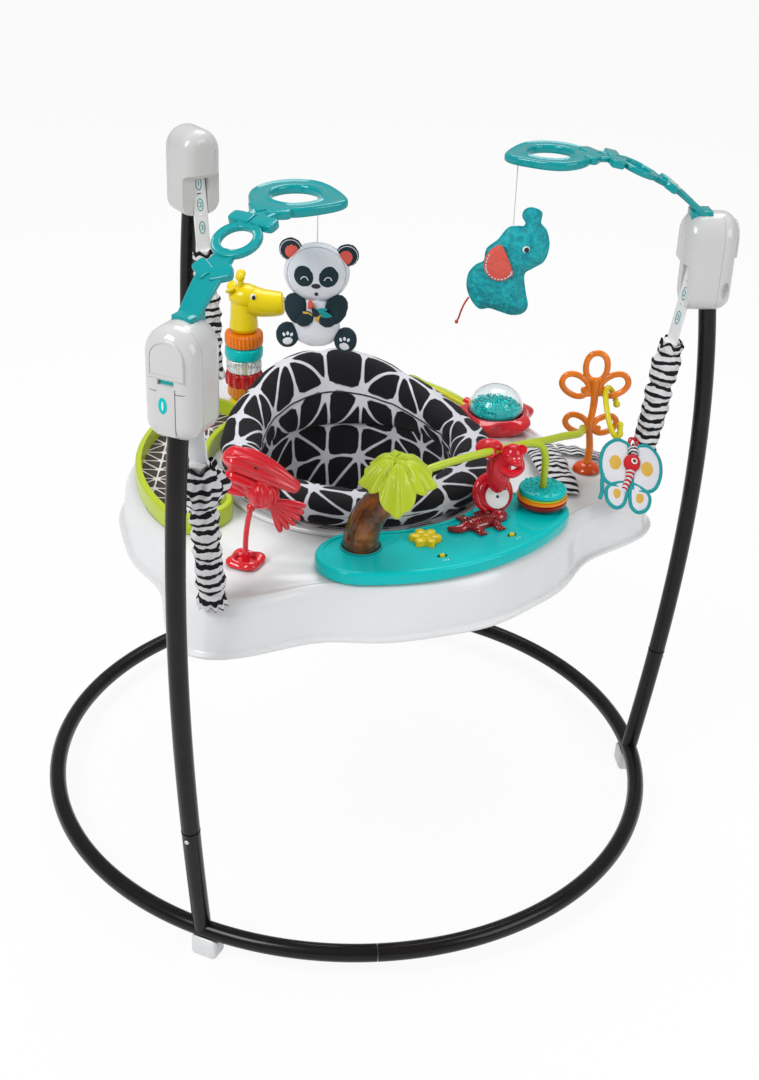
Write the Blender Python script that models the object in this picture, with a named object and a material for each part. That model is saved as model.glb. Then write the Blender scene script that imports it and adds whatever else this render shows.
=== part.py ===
"""Baby activity jumper: a tube frame on a floor ring, three towers whose straps and
springs carry a lobed tray, a turning seat in the tray, and the toys around it.

Metres, +Z up. The floor ring's centre stands at RING_CENTRE, so that the origin is on
the floor under the middle of the whole jumper.
"""

import math

import bmesh
import bpy
from mathutils import Matrix, Vector

# Driving dimensions: the frame
RING_CENTRE = Vector((-0.0192, 0.0033, 0.0))
RING_RADIUS = 0.400
TUBE_RADIUS = 0.011
RING_HEIGHT = 0.035
LEG_AZIMUTHS = {"front": 246.0, "right": 6.0, "back": 126.0}
RING_JOINT_AFTER_LEG = 31.0
LEG_BOW = (0.14351, -0.05328, -0.15609)
LEG_JOINT_HEIGHT = 0.200
LEG_TOP = 0.740
FIT_GAP = 0.0003

# Driving dimensions: the towers
TOWER_RADIUS = 0.4148
TOWER_DEPTH = 0.0645
TOWER_WIDTH = 0.0610
TOWER_LOW = 0.700
TOWER_TOP = 0.819
TOWER_SPLIT = 0.4275
STRAP_WIDTH = 0.022
STRAP_THICKNESS = 0.0025
STRAP_LEAN = 0.145
STRAP_AT_MOUTH = 0.402
MOUTH_HEIGHT = 0.752
STRAP_TOP = 0.762
STRAP_END = 0.642

# Driving dimensions: the tray and the seat
TRAY_TURN = -2.8
TRAY_WAVES = (0.3173, 0.0291, 0.0210, 0.0114, 0.0049)
TRAY_LOW = 0.407
DECK = 0.474
TRAY_MOUTH = 0.175
SPRING_FOOT_RADIUS = 0.366
SPRING_FOOT_HEIGHT = 0.484
SEAT_FACES = 290.0
PAD_LOW = 0.4797
PANEL_TOP = 0.489

FINISHES = {
    "frame_steel": ((0.030, 0.027, 0.026), 0.30, 0.0),
    "white_plastic": ((0.86, 0.87, 0.88), 0.25, 0.0),
    "teal_plastic": ((0.010, 0.50, 0.50), 0.25, 0.0),
    "lime_plastic": ((0.50, 0.70, 0.05), 0.30, 0.0),
    "red_plastic": ((0.72, 0.035, 0.035), 0.25, 0.0),
    "yellow_plastic": ((0.85, 0.68, 0.01), 0.30, 0.0),
    "orange_plastic": ((0.80, 0.22, 0.01), 0.30, 0.0),
    "clear_plastic": ((0.85, 0.93, 0.93), 0.05, 0.0),
    "brown_lens": ((0.22, 0.06, 0.02), 0.10, 0.0),
    "red_lens": ((0.50, 0.01, 0.01), 0.08, 0.0),
    "bead_plastic": ((0.75, 0.25, 0.03), 0.20, 0.0),
    "spring_steel": ((0.55, 0.56, 0.58), 0.30, 1.0),
    "zebra_fabric": ((0.60, 0.60, 0.60), 0.85, 0.0),
    "seat_fabric": ((0.05, 0.045, 0.05), 0.85, 0.0),
    "panda_fabric": ((0.62, 0.65, 0.70), 0.80, 0.0),
    "elephant_fabric": ((0.02, 0.33, 0.40), 0.85, 0.0),
    "cord_thread": ((0.80, 0.80, 0.78), 0.70, 0.0),
}

for old in list(bpy.data.objects):
    bpy.data.objects.remove(old, do_unlink=True)

parts = bpy.data.collections.new("baby_activity_jumper")
cutters = bpy.data.collections.new("cutters")
bpy.context.scene.collection.children.link(parts)
bpy.context.scene.collection.children.link(cutters)

frame_centre = bpy.data.objects.new("frame_centre", None)
frame_centre.location = RING_CENTRE
parts.objects.link(frame_centre)


def finish(name):
    """The Principled material of one finish, made once."""
    if name in bpy.data.materials:
        return bpy.data.materials[name]
    colour, roughness, metallic = FINISHES[name]
    material = bpy.data.materials.new(name)
    material.use_nodes = True
    shader = material.node_tree.nodes["Principled BSDF"]
    shader.inputs["Base Color"].default_value = (*colour, 1.0)
    shader.inputs["Roughness"].default_value = roughness
    shader.inputs["Metallic"].default_value = metallic
    return material


def as_mesh(bm):
    """A closed bmesh turned into mesh data whose faces point out."""
    bmesh.ops.recalc_face_normals(bm, faces=bm.faces)
    mesh = bpy.data.meshes.new("shape")
    bm.to_mesh(mesh)
    bm.free()
    return mesh


def moved(mesh, *steps):
    """The mesh after each matrix in turn."""
    for step in steps:
        mesh.transform(step)
    return mesh


def shift(x, y, z):
    return Matrix.Translation((x, y, z))


def turn(degrees, axis):
    return Matrix.Rotation(math.radians(degrees), 4, axis)


def carve(base, joins=(), cuts=()):
    """The base with the joins united to it and the cuts then taken away."""
    body = bpy.data.objects.new("carved", base)
    tools = []
    cutters.objects.link(body)
    for operation, shapes in (("UNION", joins), ("DIFFERENCE", cuts)):
        for shape in shapes:
            tool = bpy.data.objects.new("carving_tool", shape)
            tool.hide_render = True
            tool.display_type = "WIRE"
            cutters.objects.link(tool)
            tools.append(tool)
            boolean = body.modifiers.new("carve", "BOOLEAN")
            boolean.operation = operation
            boolean.solver = "EXACT"
            boolean.object = tool
    bpy.context.view_layer.update()
    graph = bpy.context.evaluated_depsgraph_get()
    mesh = bpy.data.meshes.new_from_object(body.evaluated_get(graph))
    for used in [body, *tools]:
        bpy.data.objects.remove(used, do_unlink=True)
    return mesh


def part(name, mesh, finish_name, pivot=(0.0, 0.0, 0.0), azimuth=0.0):
    """One named piece, its origin on its pivot; an azimuth turns it about the ring's centre."""
    if tuple(pivot) != (0.0, 0.0, 0.0):
        mesh.transform(Matrix.Translation(-Vector(pivot)))
    piece = bpy.data.objects.new(name, mesh)
    mesh.name = name
    if not mesh.materials:
        mesh.materials.append(finish(finish_name))
    else:
        mesh.materials[0] = finish(finish_name)
    mesh.shade_smooth()
    mesh.set_sharp_from_angle(angle=math.radians(40))
    piece.parent = frame_centre
    piece.rotation_euler.z = math.radians(azimuth)
    piece.location = Matrix.Rotation(math.radians(azimuth), 3, "Z") @ Vector(pivot)
    parts.objects.link(piece)
    return piece


def box(size, centre, bevel=0.0, segments=2):
    bm = bmesh.new()
    bmesh.ops.create_cube(bm, size=1.0, matrix=Matrix.Translation(centre) @ Matrix.Diagonal((*size, 1.0)))
    if bevel:
        bmesh.ops.bevel(
            bm, geom=bm.edges[:], offset=bevel, segments=segments, profile=0.5, affect="EDGES", material=-1
        )
    return as_mesh(bm)


def ball(radii, centre, segments=12, rings=8, turned_by=None):
    bm = bmesh.new()
    bmesh.ops.create_uvsphere(bm, u_segments=segments, v_segments=rings, radius=1.0)
    bmesh.ops.scale(bm, vec=radii, verts=bm.verts)
    bmesh.ops.transform(bm, matrix=turned_by or Matrix.Identity(4), verts=bm.verts)
    bmesh.ops.translate(bm, vec=centre, verts=bm.verts)
    return as_mesh(bm)


def rod(start, end, radius, end_radius=None, sides=12):
    """A straight round bar, tapered when the two radii differ."""
    start, end = Vector(start), Vector(end)
    bm = bmesh.new()
    bmesh.ops.create_cone(
        bm,
        cap_ends=True,
        segments=sides,
        radius1=radius,
        radius2=radius if end_radius is None else end_radius,
        depth=(end - start).length,
    )
    aim = (end - start).to_track_quat("Z", "Y").to_matrix().to_4x4()
    bmesh.ops.transform(bm, matrix=Matrix.Translation((start + end) / 2) @ aim, verts=bm.verts)
    return as_mesh(bm)


def turned(profile, steps, centre=(0.0, 0.0)):
    """A lathe piece: a closed or axis-to-axis profile of (radius, height) spun about Z."""
    bm = bmesh.new()
    ring = [bm.verts.new((radius, 0.0, height)) for radius, height in profile]
    edges = [bm.edges.new(pair) for pair in zip(ring, ring[1:])]
    if profile[0][0] > 0.0:
        edges.append(bm.edges.new((ring[-1], ring[0])))
    bmesh.ops.spin(
        bm, geom=ring + edges, cent=(0, 0, 0), axis=(0, 0, 1), angle=math.tau, steps=steps, use_merge=True
    )
    bmesh.ops.remove_doubles(bm, verts=bm.verts, dist=1e-5)
    bmesh.ops.translate(bm, vec=(*centre, 0.0), verts=bm.verts)
    return as_mesh(bm)


def plate(outline, low, high, bevel=0.0, segments=2):
    """A flat outline of (x, y) raised from low to high, its top edge rounded by the bevel."""
    bm = bmesh.new()
    face = bm.faces.new([bm.verts.new((x, y, low)) for x, y in outline])
    raised = bmesh.ops.extrude_face_region(bm, geom=[face])["geom"]
    top = [v for v in raised if isinstance(v, bmesh.types.BMVert)]
    bmesh.ops.translate(bm, vec=(0, 0, high - low), verts=top)
    if bevel:
        rim = [e for e in bm.edges if all(abs(v.co.z - high) < 1e-6 for v in e.verts)]
        bmesh.ops.bevel(
            bm, geom=rim, offset=bevel, segments=segments, profile=0.5, affect="EDGES", material=-1
        )
    return as_mesh(bm)


def loft(sections, wrap=False):
    """Closed sections of equal count joined in turn; the ends are capped unless they wrap."""
    bm = bmesh.new()
    rings = [[bm.verts.new(point) for point in section] for section in sections]
    pairs = list(zip(rings, rings[1:])) + ([(rings[-1], rings[0])] if wrap else [])
    count = len(rings[0])
    for first, second in pairs:
        for i in range(count):
            j = (i + 1) % count
            bm.faces.new((first[i], first[j], second[j], second[i]))
    if not wrap:
        bm.faces.new(rings[0])
        bm.faces.new(rings[-1])
    return as_mesh(bm)


def tube(points, radius, resolution=2, radii=None):
    """A round wire through the points; radii, where given, scale it point by point."""
    curve = bpy.data.curves.new("tube", "CURVE")
    curve.dimensions = "3D"
    curve.bevel_depth = radius
    curve.bevel_resolution = resolution
    curve.use_fill_caps = True
    spline = curve.splines.new("POLY")
    spline.points.add(len(points) - 1)
    for i, point in enumerate(points):
        spline.points[i].co = (*point, 1.0)
        spline.points[i].radius = radii[i] if radii else 1.0
    wire = bpy.data.objects.new("tube", curve)
    cutters.objects.link(wire)
    bpy.context.view_layer.update()
    mesh = bpy.data.meshes.new_from_object(wire.evaluated_get(bpy.context.evaluated_depsgraph_get()))
    bpy.data.objects.remove(wire, do_unlink=True)
    bm = bmesh.new()
    bm.from_mesh(mesh)
    bmesh.ops.remove_doubles(bm, verts=bm.verts, dist=1e-6)
    bpy.data.meshes.remove(mesh)
    return as_mesh(bm)


def smooth_route(points, per_span=4):
    """Points along a smooth curve through a few given ones (Catmull-Rom)."""
    knots = [Vector(p) for p in points]
    knots = [2 * knots[0] - knots[1], *knots, 2 * knots[-1] - knots[-2]]
    route = []
    for a, b, c, d in zip(knots, knots[1:], knots[2:], knots[3:]):
        for i in range(per_span):
            t = i / per_span
            route.append(
                0.5 * (2 * b + (c - a) * t + (2 * a - 5 * b + 4 * c - d) * t**2 + (3 * b - a - 3 * c + d) * t**3)
            )
    return route + [knots[-2]]


def pillow(outline, swell, steps=2, width=0.010):
    """A stuffed flat shape in the XZ plane: the outline at the seam, swelling to both sides."""
    bm = bmesh.new()
    seam = [bm.verts.new((x, 0.0, z)) for x, z in outline]
    front = bm.faces.new(seam)
    back = bm.faces.new(list(reversed([bm.verts.new((x, 0.0, z)) for x, z in outline])))
    for face, side in ((front, -1.0), (back, 1.0)):
        height = 0.0
        for step in range(1, steps + 1):
            reach = step / steps
            rise = swell * math.sqrt(1.0 - (1.0 - reach) ** 2)
            bmesh.ops.inset_individual(bm, faces=[face], thickness=width / steps, use_even_offset=False)
            bmesh.ops.translate(bm, vec=(0, side * (rise - height), 0), verts=face.verts)
            height = rise
    bmesh.ops.remove_doubles(bm, verts=bm.verts, dist=1e-6)
    return as_mesh(bm)


def circle(radius, count, centre=(0.0, 0.0), start=0.0):
    return [
        (centre[0] + radius * math.cos(start + math.tau * i / count), centre[1] + radius * math.sin(start + math.tau * i / count))
        for i in range(count)
    ]


def polar(azimuth, radius, height=0.0):
    angle = math.radians(azimuth)
    return Vector((radius * math.cos(angle), radius * math.sin(angle), height))


# Floor ring and legs


def leg_point(height):
    """The leg's centre line, in the plane of its own azimuth."""
    rise = height - RING_HEIGHT
    reach = RING_RADIUS + sum(k * rise ** (i + 1) for i, k in enumerate(LEG_BOW))
    return Vector((reach, 0.0, height))


def leg_run(low, high, steps, radius=TUBE_RADIUS, resolution=2):
    heights = [low + (high - low) * i / steps for i in range(steps + 1)]
    return tube([leg_point(h) for h in heights], radius, resolution)


BUTTON_HEIGHT = 0.187
BUTTON_RADIUS = 0.003
button_out = leg_point(BUTTON_HEIGHT).x + TUBE_RADIUS


def base_tube():
    """One third of the floor ring with the stub that takes a leg."""
    start = RING_JOINT_AFTER_LEG - 120.0
    edge = math.degrees(0.0004 / RING_RADIUS)
    steps = 13
    spread = [edge, edge + 0.4, *[120.0 * i / steps for i in range(1, steps)], 119.6 - edge, 120.0 - edge]
    arc = [polar(start + azimuth, RING_RADIUS, RING_HEIGHT) for azimuth in spread]
    pocket = rod(
        (button_out - 0.0112, 0, BUTTON_HEIGHT), (button_out + 0.004, 0, BUTTON_HEIGHT), BUTTON_RADIUS + 0.0004
    )
    stub = leg_run(RING_HEIGHT, LEG_JOINT_HEIGHT, 4, TUBE_RADIUS * 0.997)
    return carve(tube(arc, TUBE_RADIUS, 2), joins=[stub], cuts=[pocket])


def floor_foot():
    """A moulded pad that clips under the ring where a leg meets it."""
    pad = box((0.027, 0.034, 0.030), (RING_RADIUS, 0.007, 0.015), 0.006, 2)
    saddle = rod(
        (RING_RADIUS, -0.04, RING_HEIGHT), (RING_RADIUS, 0.04, RING_HEIGHT), TUBE_RADIUS + 0.0018, sides=12
    )
    return carve(pad, cuts=[saddle])


def snap_button():
    shaft = [(0.0, 0.0), (BUTTON_RADIUS, 0.0), (BUTTON_RADIUS, 0.0072), (0.0019, 0.0086), (0.0, 0.0090)]
    pin = turned(shaft, 10)
    return moved(pin, turn(90, "Y"), shift(button_out - 0.0074, 0, BUTTON_HEIGHT))


# Towers: two-part housings, height straps, springs and sleeves


def tower_outline():
    """Front view of a housing: round top, softly rounded lower corners, as (y, z)."""
    half = TOWER_WIDTH / 2
    crown = TOWER_TOP - half
    corner = 0.0200
    low = TOWER_LOW
    outline = [(half * math.cos(math.pi * i / 8), crown + half * math.sin(math.pi * i / 8)) for i in range(9)]
    for side, start in ((-1, 180), (1, 270)):
        for i in range(3):
            angle = math.radians(start + 90 * i / 2)
            y = side * (half - corner) + corner * math.cos(angle)
            outline.append((y, low + corner + corner * math.sin(angle)))
    return outline


def tower_body():
    """The whole capsule before it is split into its two shells, rounder on its outer side."""
    inner, outer = TOWER_RADIUS - TOWER_DEPTH / 2, TOWER_RADIUS + TOWER_DEPTH / 2
    bm = bmesh.new()
    face = bm.faces.new([bm.verts.new((inner, y, z)) for y, z in tower_outline()])
    raised = bmesh.ops.extrude_face_region(bm, geom=[face])["geom"]
    far = [v for v in raised if isinstance(v, bmesh.types.BMVert)]
    bmesh.ops.translate(bm, vec=(outer - inner, 0, 0), verts=far)
    for side, radius in ((inner, 0.013), (outer, 0.0180)):
        rim = [e for e in bm.edges if all(abs(v.co.x - side) < 1e-6 for v in e.verts)]
        bmesh.ops.bevel(bm, geom=rim, offset=radius, segments=2, profile=0.5, affect="EDGES", material=-1)
    return as_mesh(bm)


def half_space(low_x, high_x):
    return box((high_x - low_x, 0.12, 0.20), ((low_x + high_x) / 2, 0, 0.76))


def housing_inner(holds_arch=True):
    """The shell towards the seat: strap mouth under an overhang, recess below it, arch socket on top."""
    mouth = box((0.0130, 0.027, 0.053), (0.4003, 0, 0.7785))
    recess = box((0.060, 0.029, 0.100), (0.4068 - 0.030, 0, MOUTH_HEIGHT - 0.050))
    cheek = box((0.030, 0.080, 0.070), (0.3930 - 0.015, 0, 0.725))
    socket = box((0.0130, 0.0236, 0.040), (0.4085, 0, 0.8095))
    entry = box((0.0260, 0.0236, 0.020), (0.4020, 0, 0.8195))
    bore = leg_run(0.680, LEG_TOP + 0.001, 4, TUBE_RADIUS + 0.0006)
    screw_seat = rod((0.375, -0.016, 0.7790), (0.3900, -0.016, 0.7790), 0.0035, sides=8)
    cuts = [half_space(TOWER_SPLIT - FIT_GAP / 2, 0.500), mouth, recess, cheek, bore, screw_seat]
    return carve(tower_body(), cuts=cuts + [socket, entry] if holds_arch else cuts)


def housing_outer():
    """The shell away from the seat: raised arch panel, strap window and a thumb notch."""
    face = TOWER_RADIUS + TOWER_DEPTH / 2
    crown = 0.7885
    arch = [(0.0195 * math.cos(math.pi * i / 8), crown + 0.0195 * math.sin(math.pi * i / 8)) for i in range(9)]
    arch += [(-0.0195, 0.7690), (0.0195, 0.7690)]
    panel = moved(
        plate(arch, 0.0, 0.0060), Matrix(((0, 0, 1, face - 0.0050), (1, 0, 0, 0), (0, 1, 0, 0), (0, 0, 0, 1)))
    )
    window = box((0.014, 0.019, 0.0060), (face, 0.0, 0.7640))
    tab = box((0.0016, 0.0200, 0.0500), (face, 0.0, 0.7330))
    seam = box((0.0030, 0.0900, 0.0012), (face, 0.0, 0.7540))
    notch = ball((0.0060, 0.0070, 0.0100), (face - 0.010, -TOWER_WIDTH / 2 + 0.0010, 0.7290), 8, 6)
    bore = leg_run(0.680, LEG_TOP + 0.001, 4, TUBE_RADIUS + 0.0006)
    shell = carve(tower_body(), joins=[panel], cuts=[half_space(0.340, TOWER_SPLIT + FIT_GAP / 2), seam, notch, bore])
    return carve(shell, joins=[tab], cuts=[window])


def strap_x(height):
    return STRAP_AT_MOUTH - STRAP_LEAN * (MOUTH_HEIGHT - height)


SPRING_AXIS_TOP = Vector((strap_x(STRAP_END) - 0.0005, 0.0, STRAP_END))
SPRING_AXIS_FOOT = Vector((SPRING_FOOT_RADIUS, 0.0, SPRING_FOOT_HEIGHT))
SPRING_LINE = (SPRING_AXIS_TOP - SPRING_AXIS_FOOT).normalized()


def height_strap():
    """A flat strap that leans inwards, with the cap at its lower end that holds the spring."""
    half, thick = STRAP_WIDTH / 2, STRAP_THICKNESS / 2
    heights = (STRAP_END + 0.004, 0.700, STRAP_TOP - 0.003, STRAP_TOP)
    sections = []
    for z in heights:
        side = half if z < STRAP_TOP else half - 0.003
        x = strap_x(z)
        sections.append([(x - thick, -side, z), (x + thick, -side, z), (x + thick, side, z), (x - thick, side, z)])
    cap = rod(SPRING_AXIS_TOP, SPRING_AXIS_TOP + SPRING_LINE * 0.012, 0.0108, sides=12)
    return carve(loft(sections), joins=[cap])


SPRING_TURNS = 8
SPRING_RADIUS = 0.0094
SPRING_WIRE = 0.0014


def coil_spring():
    """The tension spring between strap cap and tray boss, its turns worked out as a helix."""
    low = SPRING_AXIS_FOOT + SPRING_LINE * (SPRING_WIRE + FIT_GAP)
    high = SPRING_AXIS_TOP - SPRING_LINE * (SPRING_WIRE + FIT_GAP)
    across = Vector((0, 1, 0))
    outward = across.cross(SPRING_LINE)
    count = SPRING_TURNS * 7
    points = []
    for i in range(count + 1):
        angle = math.tau * i / 7
        spoke = outward * math.cos(angle) + across * math.sin(angle)
        points.append(low.lerp(high, i / count) + spoke * SPRING_RADIUS)
    pitch = (high - low).length / SPRING_TURNS
    print(f"spring: pitch {pitch * 1000:.1f} mm, least gap to itself {(pitch - 2 * SPRING_WIRE) * 1000:.1f} mm")
    return tube(points, SPRING_WIRE, 0)


SLEEVE_RADIUS = 0.0150
SLEEVE_BORE = 0.0125
SLEEVE_TOP = 0.652
SLEEVE_GATHERS = 7


def spring_sleeve(bulge=0.0):
    """The gathered fabric sleeve over a spring: round folds outside, a plain bore inside."""
    foot = SPRING_AXIS_FOOT - SPRING_LINE * 0.0085
    top = SPRING_AXIS_TOP + SPRING_LINE * ((SLEEVE_TOP - STRAP_END) / SPRING_LINE.z)
    length = (top - foot).length
    profile = []
    for i in range(2 * SLEEVE_GATHERS + 1):
        t = i / (2 * SLEEVE_GATHERS)
        fold = 0.0013 if i % 2 else -0.0006
        knot = bulge * (math.exp(-(((t - 0.26) / 0.10) ** 2)) + 0.5 * math.exp(-(((t - 0.80) / 0.09) ** 2)))
        profile.append((SLEEVE_RADIUS + fold + knot, length * (1 - t)))
    profile.append((SLEEVE_BORE, 0.0))
    profile.append((SLEEVE_BORE, length))
    aim = SPRING_LINE.to_track_quat("Z", "Y").to_matrix().to_4x4()
    return moved(turned(profile, 9), aim, shift(*foot))


# Overhead arches with their hanging toys

ARCH_THICKNESS = 0.0065
ARCH_LINE = (
    (0.4085, 0.7920, 0.0100),
    (0.4080, 0.8120, 0.0100),
    (0.3960, 0.8235, 0.0105),
    (0.3745, 0.8415, 0.0115),
    (0.3600, 0.8510, 0.0125),
    (0.3430, 0.8590, 0.0100),
)
ARCH_SOCKET = 0.4078
SMALL_RING = (0.3190, 0.8705)
LARGE_RING = (0.2145, 0.8840)
FRONT_ARCH_YAW = -6.5
FRONT_ARCH_PITCH = 2.4


def strip(line):
    """A flat bar bent along (x, z) points, each with its own half width."""
    points = [Vector((x, 0.0, z)) for x, z, _ in line]
    sections = []
    for i, (point, (_, _, half)) in enumerate(zip(points, line)):
        ahead = points[min(i + 1, len(points) - 1)] - points[max(i - 1, 0)]
        lift = Vector((-ahead.z, 0.0, ahead.x)).normalized() * (ARCH_THICKNESS / 2)
        edge = Vector((0.0, half, 0.0))
        shy = edge * 0.8
        sections.append([point - lift - shy, point - edge, point + lift - shy, point + lift + shy, point + edge, point - lift + shy])
    return loft(sections)


def flat_ring(outer, hole, thickness, steps):
    """A ring with a rounded outer edge and a raised rim round its hole."""
    up = thickness / 2
    profile = [
        (hole, -up * 0.8), (outer - up * 0.8, -up), (outer, 0.0), (outer - up * 0.6, up * 0.8),
        ((outer + hole) / 2, up * 0.4), (hole + up, up),
    ]
    return turned(profile, steps)


def arch():
    """A toy arch: a bent bar with leaf pairs, a small loop and a large loop at its end."""
    small = moved(flat_ring(0.0270, 0.0165, 0.0075, 12), turn(22, "Y"), shift(SMALL_RING[0], 0, SMALL_RING[1]))
    large = moved(flat_ring(0.0492, 0.0236, 0.0120, 18), shift(LARGE_RING[0], 0, LARGE_RING[1]))
    neck = strip(((0.2970, 0.8795, 0.0090), (0.2820, 0.8830, 0.0080), (0.2640, 0.8842, 0.0120), (0.2480, 0.8845, 0.0160)))
    leaves = []
    for x, z, reach, sweep, slope in ((0.3660, 0.8475, 0.0145, 30, 32), (0.2700, 0.8838, 0.0165, 32, 5)):
        for side in (-1, 1):
            leaf = plate([(-0.006, 0.002 * side), (-0.007, side * reach), (-0.001, side * (reach + 0.008)),
                          (0.006, side * reach), (0.007, 0.002 * side)], -0.0030, 0.0030)
            leaves.append(moved(leaf, turn(side * sweep, "Z"), turn(slope, "Y"), shift(x, 0, z)))
    return carve(strip(ARCH_LINE), joins=[small, neck, large, *leaves])


PANDA_AT = Vector((-0.0479, -0.1660, 0.0))
PANDA_CORD_TOP = 0.8875
PANDA_HEAD_HEIGHT = 0.7974
PANDA_HEAD = (0.0356, 0.0166, 0.0336)
ELEPHANT_AT = Vector((0.176, 0.019, 0.0))
ELEPHANT_CORD_TOP = 0.8775
CORD_RADIUS = 0.0006


def toy_cord(at, low, high):
    """The short thread a toy hangs on, below the arch that holds it."""
    steps = 8
    return tube([(at.x, at.y, low + (high - low) * i / steps) for i in range(steps + 1)], CORD_RADIUS, 1)


def panda_head():
    ears = [ball((0.0132, 0.0058, 0.0132), (0.002 + side * 0.0307, 0, 0.0226 - side * 0.0024), 8, 6) for side in (-1, 1)]
    head = carve(ball(PANDA_HEAD, (0, 0, 0), 12, 8), joins=ears)
    return moved(head, shift(PANDA_AT.x, PANDA_AT.y, PANDA_HEAD_HEIGHT))


def panda_body():
    """Body with folded arms and two seated feet, cut where the head rests on it."""
    limbs = []
    for side in (-1, 1):
        limbs.append(ball((0.0122, 0.0107, 0.0234), (side * 0.0234, -0.0039, -0.0446), 8, 5, turn(side * 20, "Y")))
        limbs.append(ball((0.0132, 0.0102, 0.0151), (0.001 + side * 0.0322, -0.0039, -0.0744 - side * 0.002), 8, 5, turn(side * 14, "Y")))
    neck = ball([radius + 0.0005 for radius in PANDA_HEAD], (0, 0, 0), 12, 8)
    body = carve(ball((0.0273, 0.0146, 0.0322), (0, 0, -0.0563), 10, 7), joins=limbs, cuts=[neck])
    return moved(body, shift(PANDA_AT.x, PANDA_AT.y, PANDA_HEAD_HEIGHT))


ELEPHANT_OUTLINE = (
    (0.0050, -0.0012), (0.0125, -0.0010), (0.0150, 0.0040), (0.0105, 0.0120), (0.0130, 0.0195), (0.0210, 0.0220),
    (0.0320, 0.0170), (0.0318, 0.0040), (0.0395, -0.0050), (0.0440, -0.0230), (0.0395, -0.0420), (0.0265, -0.0515),
    (0.0170, -0.0600), (0.0200, -0.0820), (0.0240, -0.1000), (0.0180, -0.1095), (0.0050, -0.1115), (-0.0080, -0.1080),
    (-0.0215, -0.1040), (-0.0340, -0.1050), (-0.0445, -0.0930), (-0.0500, -0.0780), (-0.0490, -0.0620),
    (-0.0410, -0.0510), (-0.0315, -0.0450), (-0.0290, -0.0300), (-0.0165, -0.0185), (-0.0060, -0.0040),
)
ELEPHANT_KNOT = 0.7995


def elephant_body():
    x, y, _ = ELEPHANT_AT
    body = moved(pillow(ELEPHANT_OUTLINE, 0.0120), shift(x, y, ELEPHANT_KNOT))
    ear = moved(
        ball((0.0150, 0.0040, 0.0190), (0, 0, 0), 10, 5), turn(-12, "Y"), shift(x - 0.0130, y - 0.0115, ELEPHANT_KNOT - 0.0430)
    )
    return carve(body, joins=[ear])


ELEPHANT_TAIL = ((-0.0475, -0.0920), (-0.0520, -0.1000), (-0.0555, -0.1090), (-0.0580, -0.1180), (-0.0605, -0.1240))


def elephant_tail():
    x, y, _ = ELEPHANT_AT
    route = smooth_route([(x + dx, y, ELEPHANT_KNOT + dz) for dx, dz in ELEPHANT_TAIL], 2)
    cord = tube(route, 0.0012, 0)
    knot = ball((0.0023, 0.0023, 0.0026), route[-1], 6, 5)
    return carve(cord, joins=[knot])


# Tray


def tray_reach(azimuth):
    """How far the tray's lower rim stands from the middle: three lobes towards the legs."""
    phase = math.radians(azimuth - LEG_AZIMUTHS["right"] - TRAY_TURN)
    return sum(wave * math.cos(3 * i * phase) for i, wave in enumerate(TRAY_WAVES))


TRAY_STEPS = 39
RIM_STATIONS = ((0.0, 0.0), (0.0, 0.005), (0.0055, 0.007), (0.0095, 0.044), (0.0140, 0.058), (0.0230, 0.0650))
UNDER_STATIONS = ((0.0250, 0.0615), (0.0140, 0.0470), (0.0084, 0.0090), (0.0035, 0.0))


def tray_shell():
    """A three-lobed shell with a flared lip, a raised deck round the seat and a collar in its mouth."""
    sections = []
    for i in range(TRAY_STEPS):
        step = 360.0 * i / TRAY_STEPS
        crowding = math.degrees(0.13 * math.sin(3 * math.radians(step)))
        azimuth = step - crowding + LEG_AZIMUTHS["right"] + TRAY_TURN
        reach = tray_reach(azimuth)
        section = [polar(azimuth, reach - inset, TRAY_LOW + rise) for inset, rise in RIM_STATIONS]
        edge = reach - RIM_STATIONS[-1][0]
        section.append(polar(azimuth, min(0.262 + 0.25 * (edge - 0.272), edge - 0.012), DECK - 0.0012))
        section.append(polar(azimuth, TRAY_MOUTH + 0.004, DECK))
        section.append(polar(azimuth, TRAY_MOUTH, DECK - 0.004))
        section.append(polar(azimuth, TRAY_MOUTH, DECK - 0.030))
        section.append(polar(azimuth, TRAY_MOUTH + 0.003, DECK - 0.030))
        section.append(polar(azimuth, TRAY_MOUTH + 0.003, DECK - 0.005))
        section.append(polar(azimuth, 0.236, DECK - 0.0032))
        for inset, rise in UNDER_STATIONS:
            section.append(polar(azimuth, reach - inset, TRAY_LOW + rise))
        sections.append(section)
    bosses = []
    for azimuth in LEG_AZIMUTHS.values():
        foot = Matrix.Rotation(math.radians(azimuth), 3, "Z") @ SPRING_AXIS_FOOT
        line = Matrix.Rotation(math.radians(azimuth), 3, "Z") @ SPRING_LINE
        bosses.append(rod(foot - line * 0.0135, foot, 0.0105, 0.0090, 10))
    return carve(loft(sections, wrap=True), joins=bosses)


# Seat: turning ring, cushion and fabric bucket


def seat_ring():
    profile = [
        (0.1780, DECK + 0.0052), (0.1780, DECK + 0.0006), (0.1722, DECK + 0.0004), (0.1722, DECK - 0.026),
        (0.1672, DECK - 0.026), (0.1672, DECK + 0.0052),
    ]
    return turned(list(reversed(profile)), 26)


PAD_STEPS = 36
PAD_POINTS = 10


def pad_height(azimuth):
    """The cushion's crown: a low bolster in front, rising to the back rest."""
    away = math.radians(azimuth - SEAT_FACES)
    rise = 0.5 - 0.5 * math.cos(away)
    return 0.040 + 0.058 * rise**4.6


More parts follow.
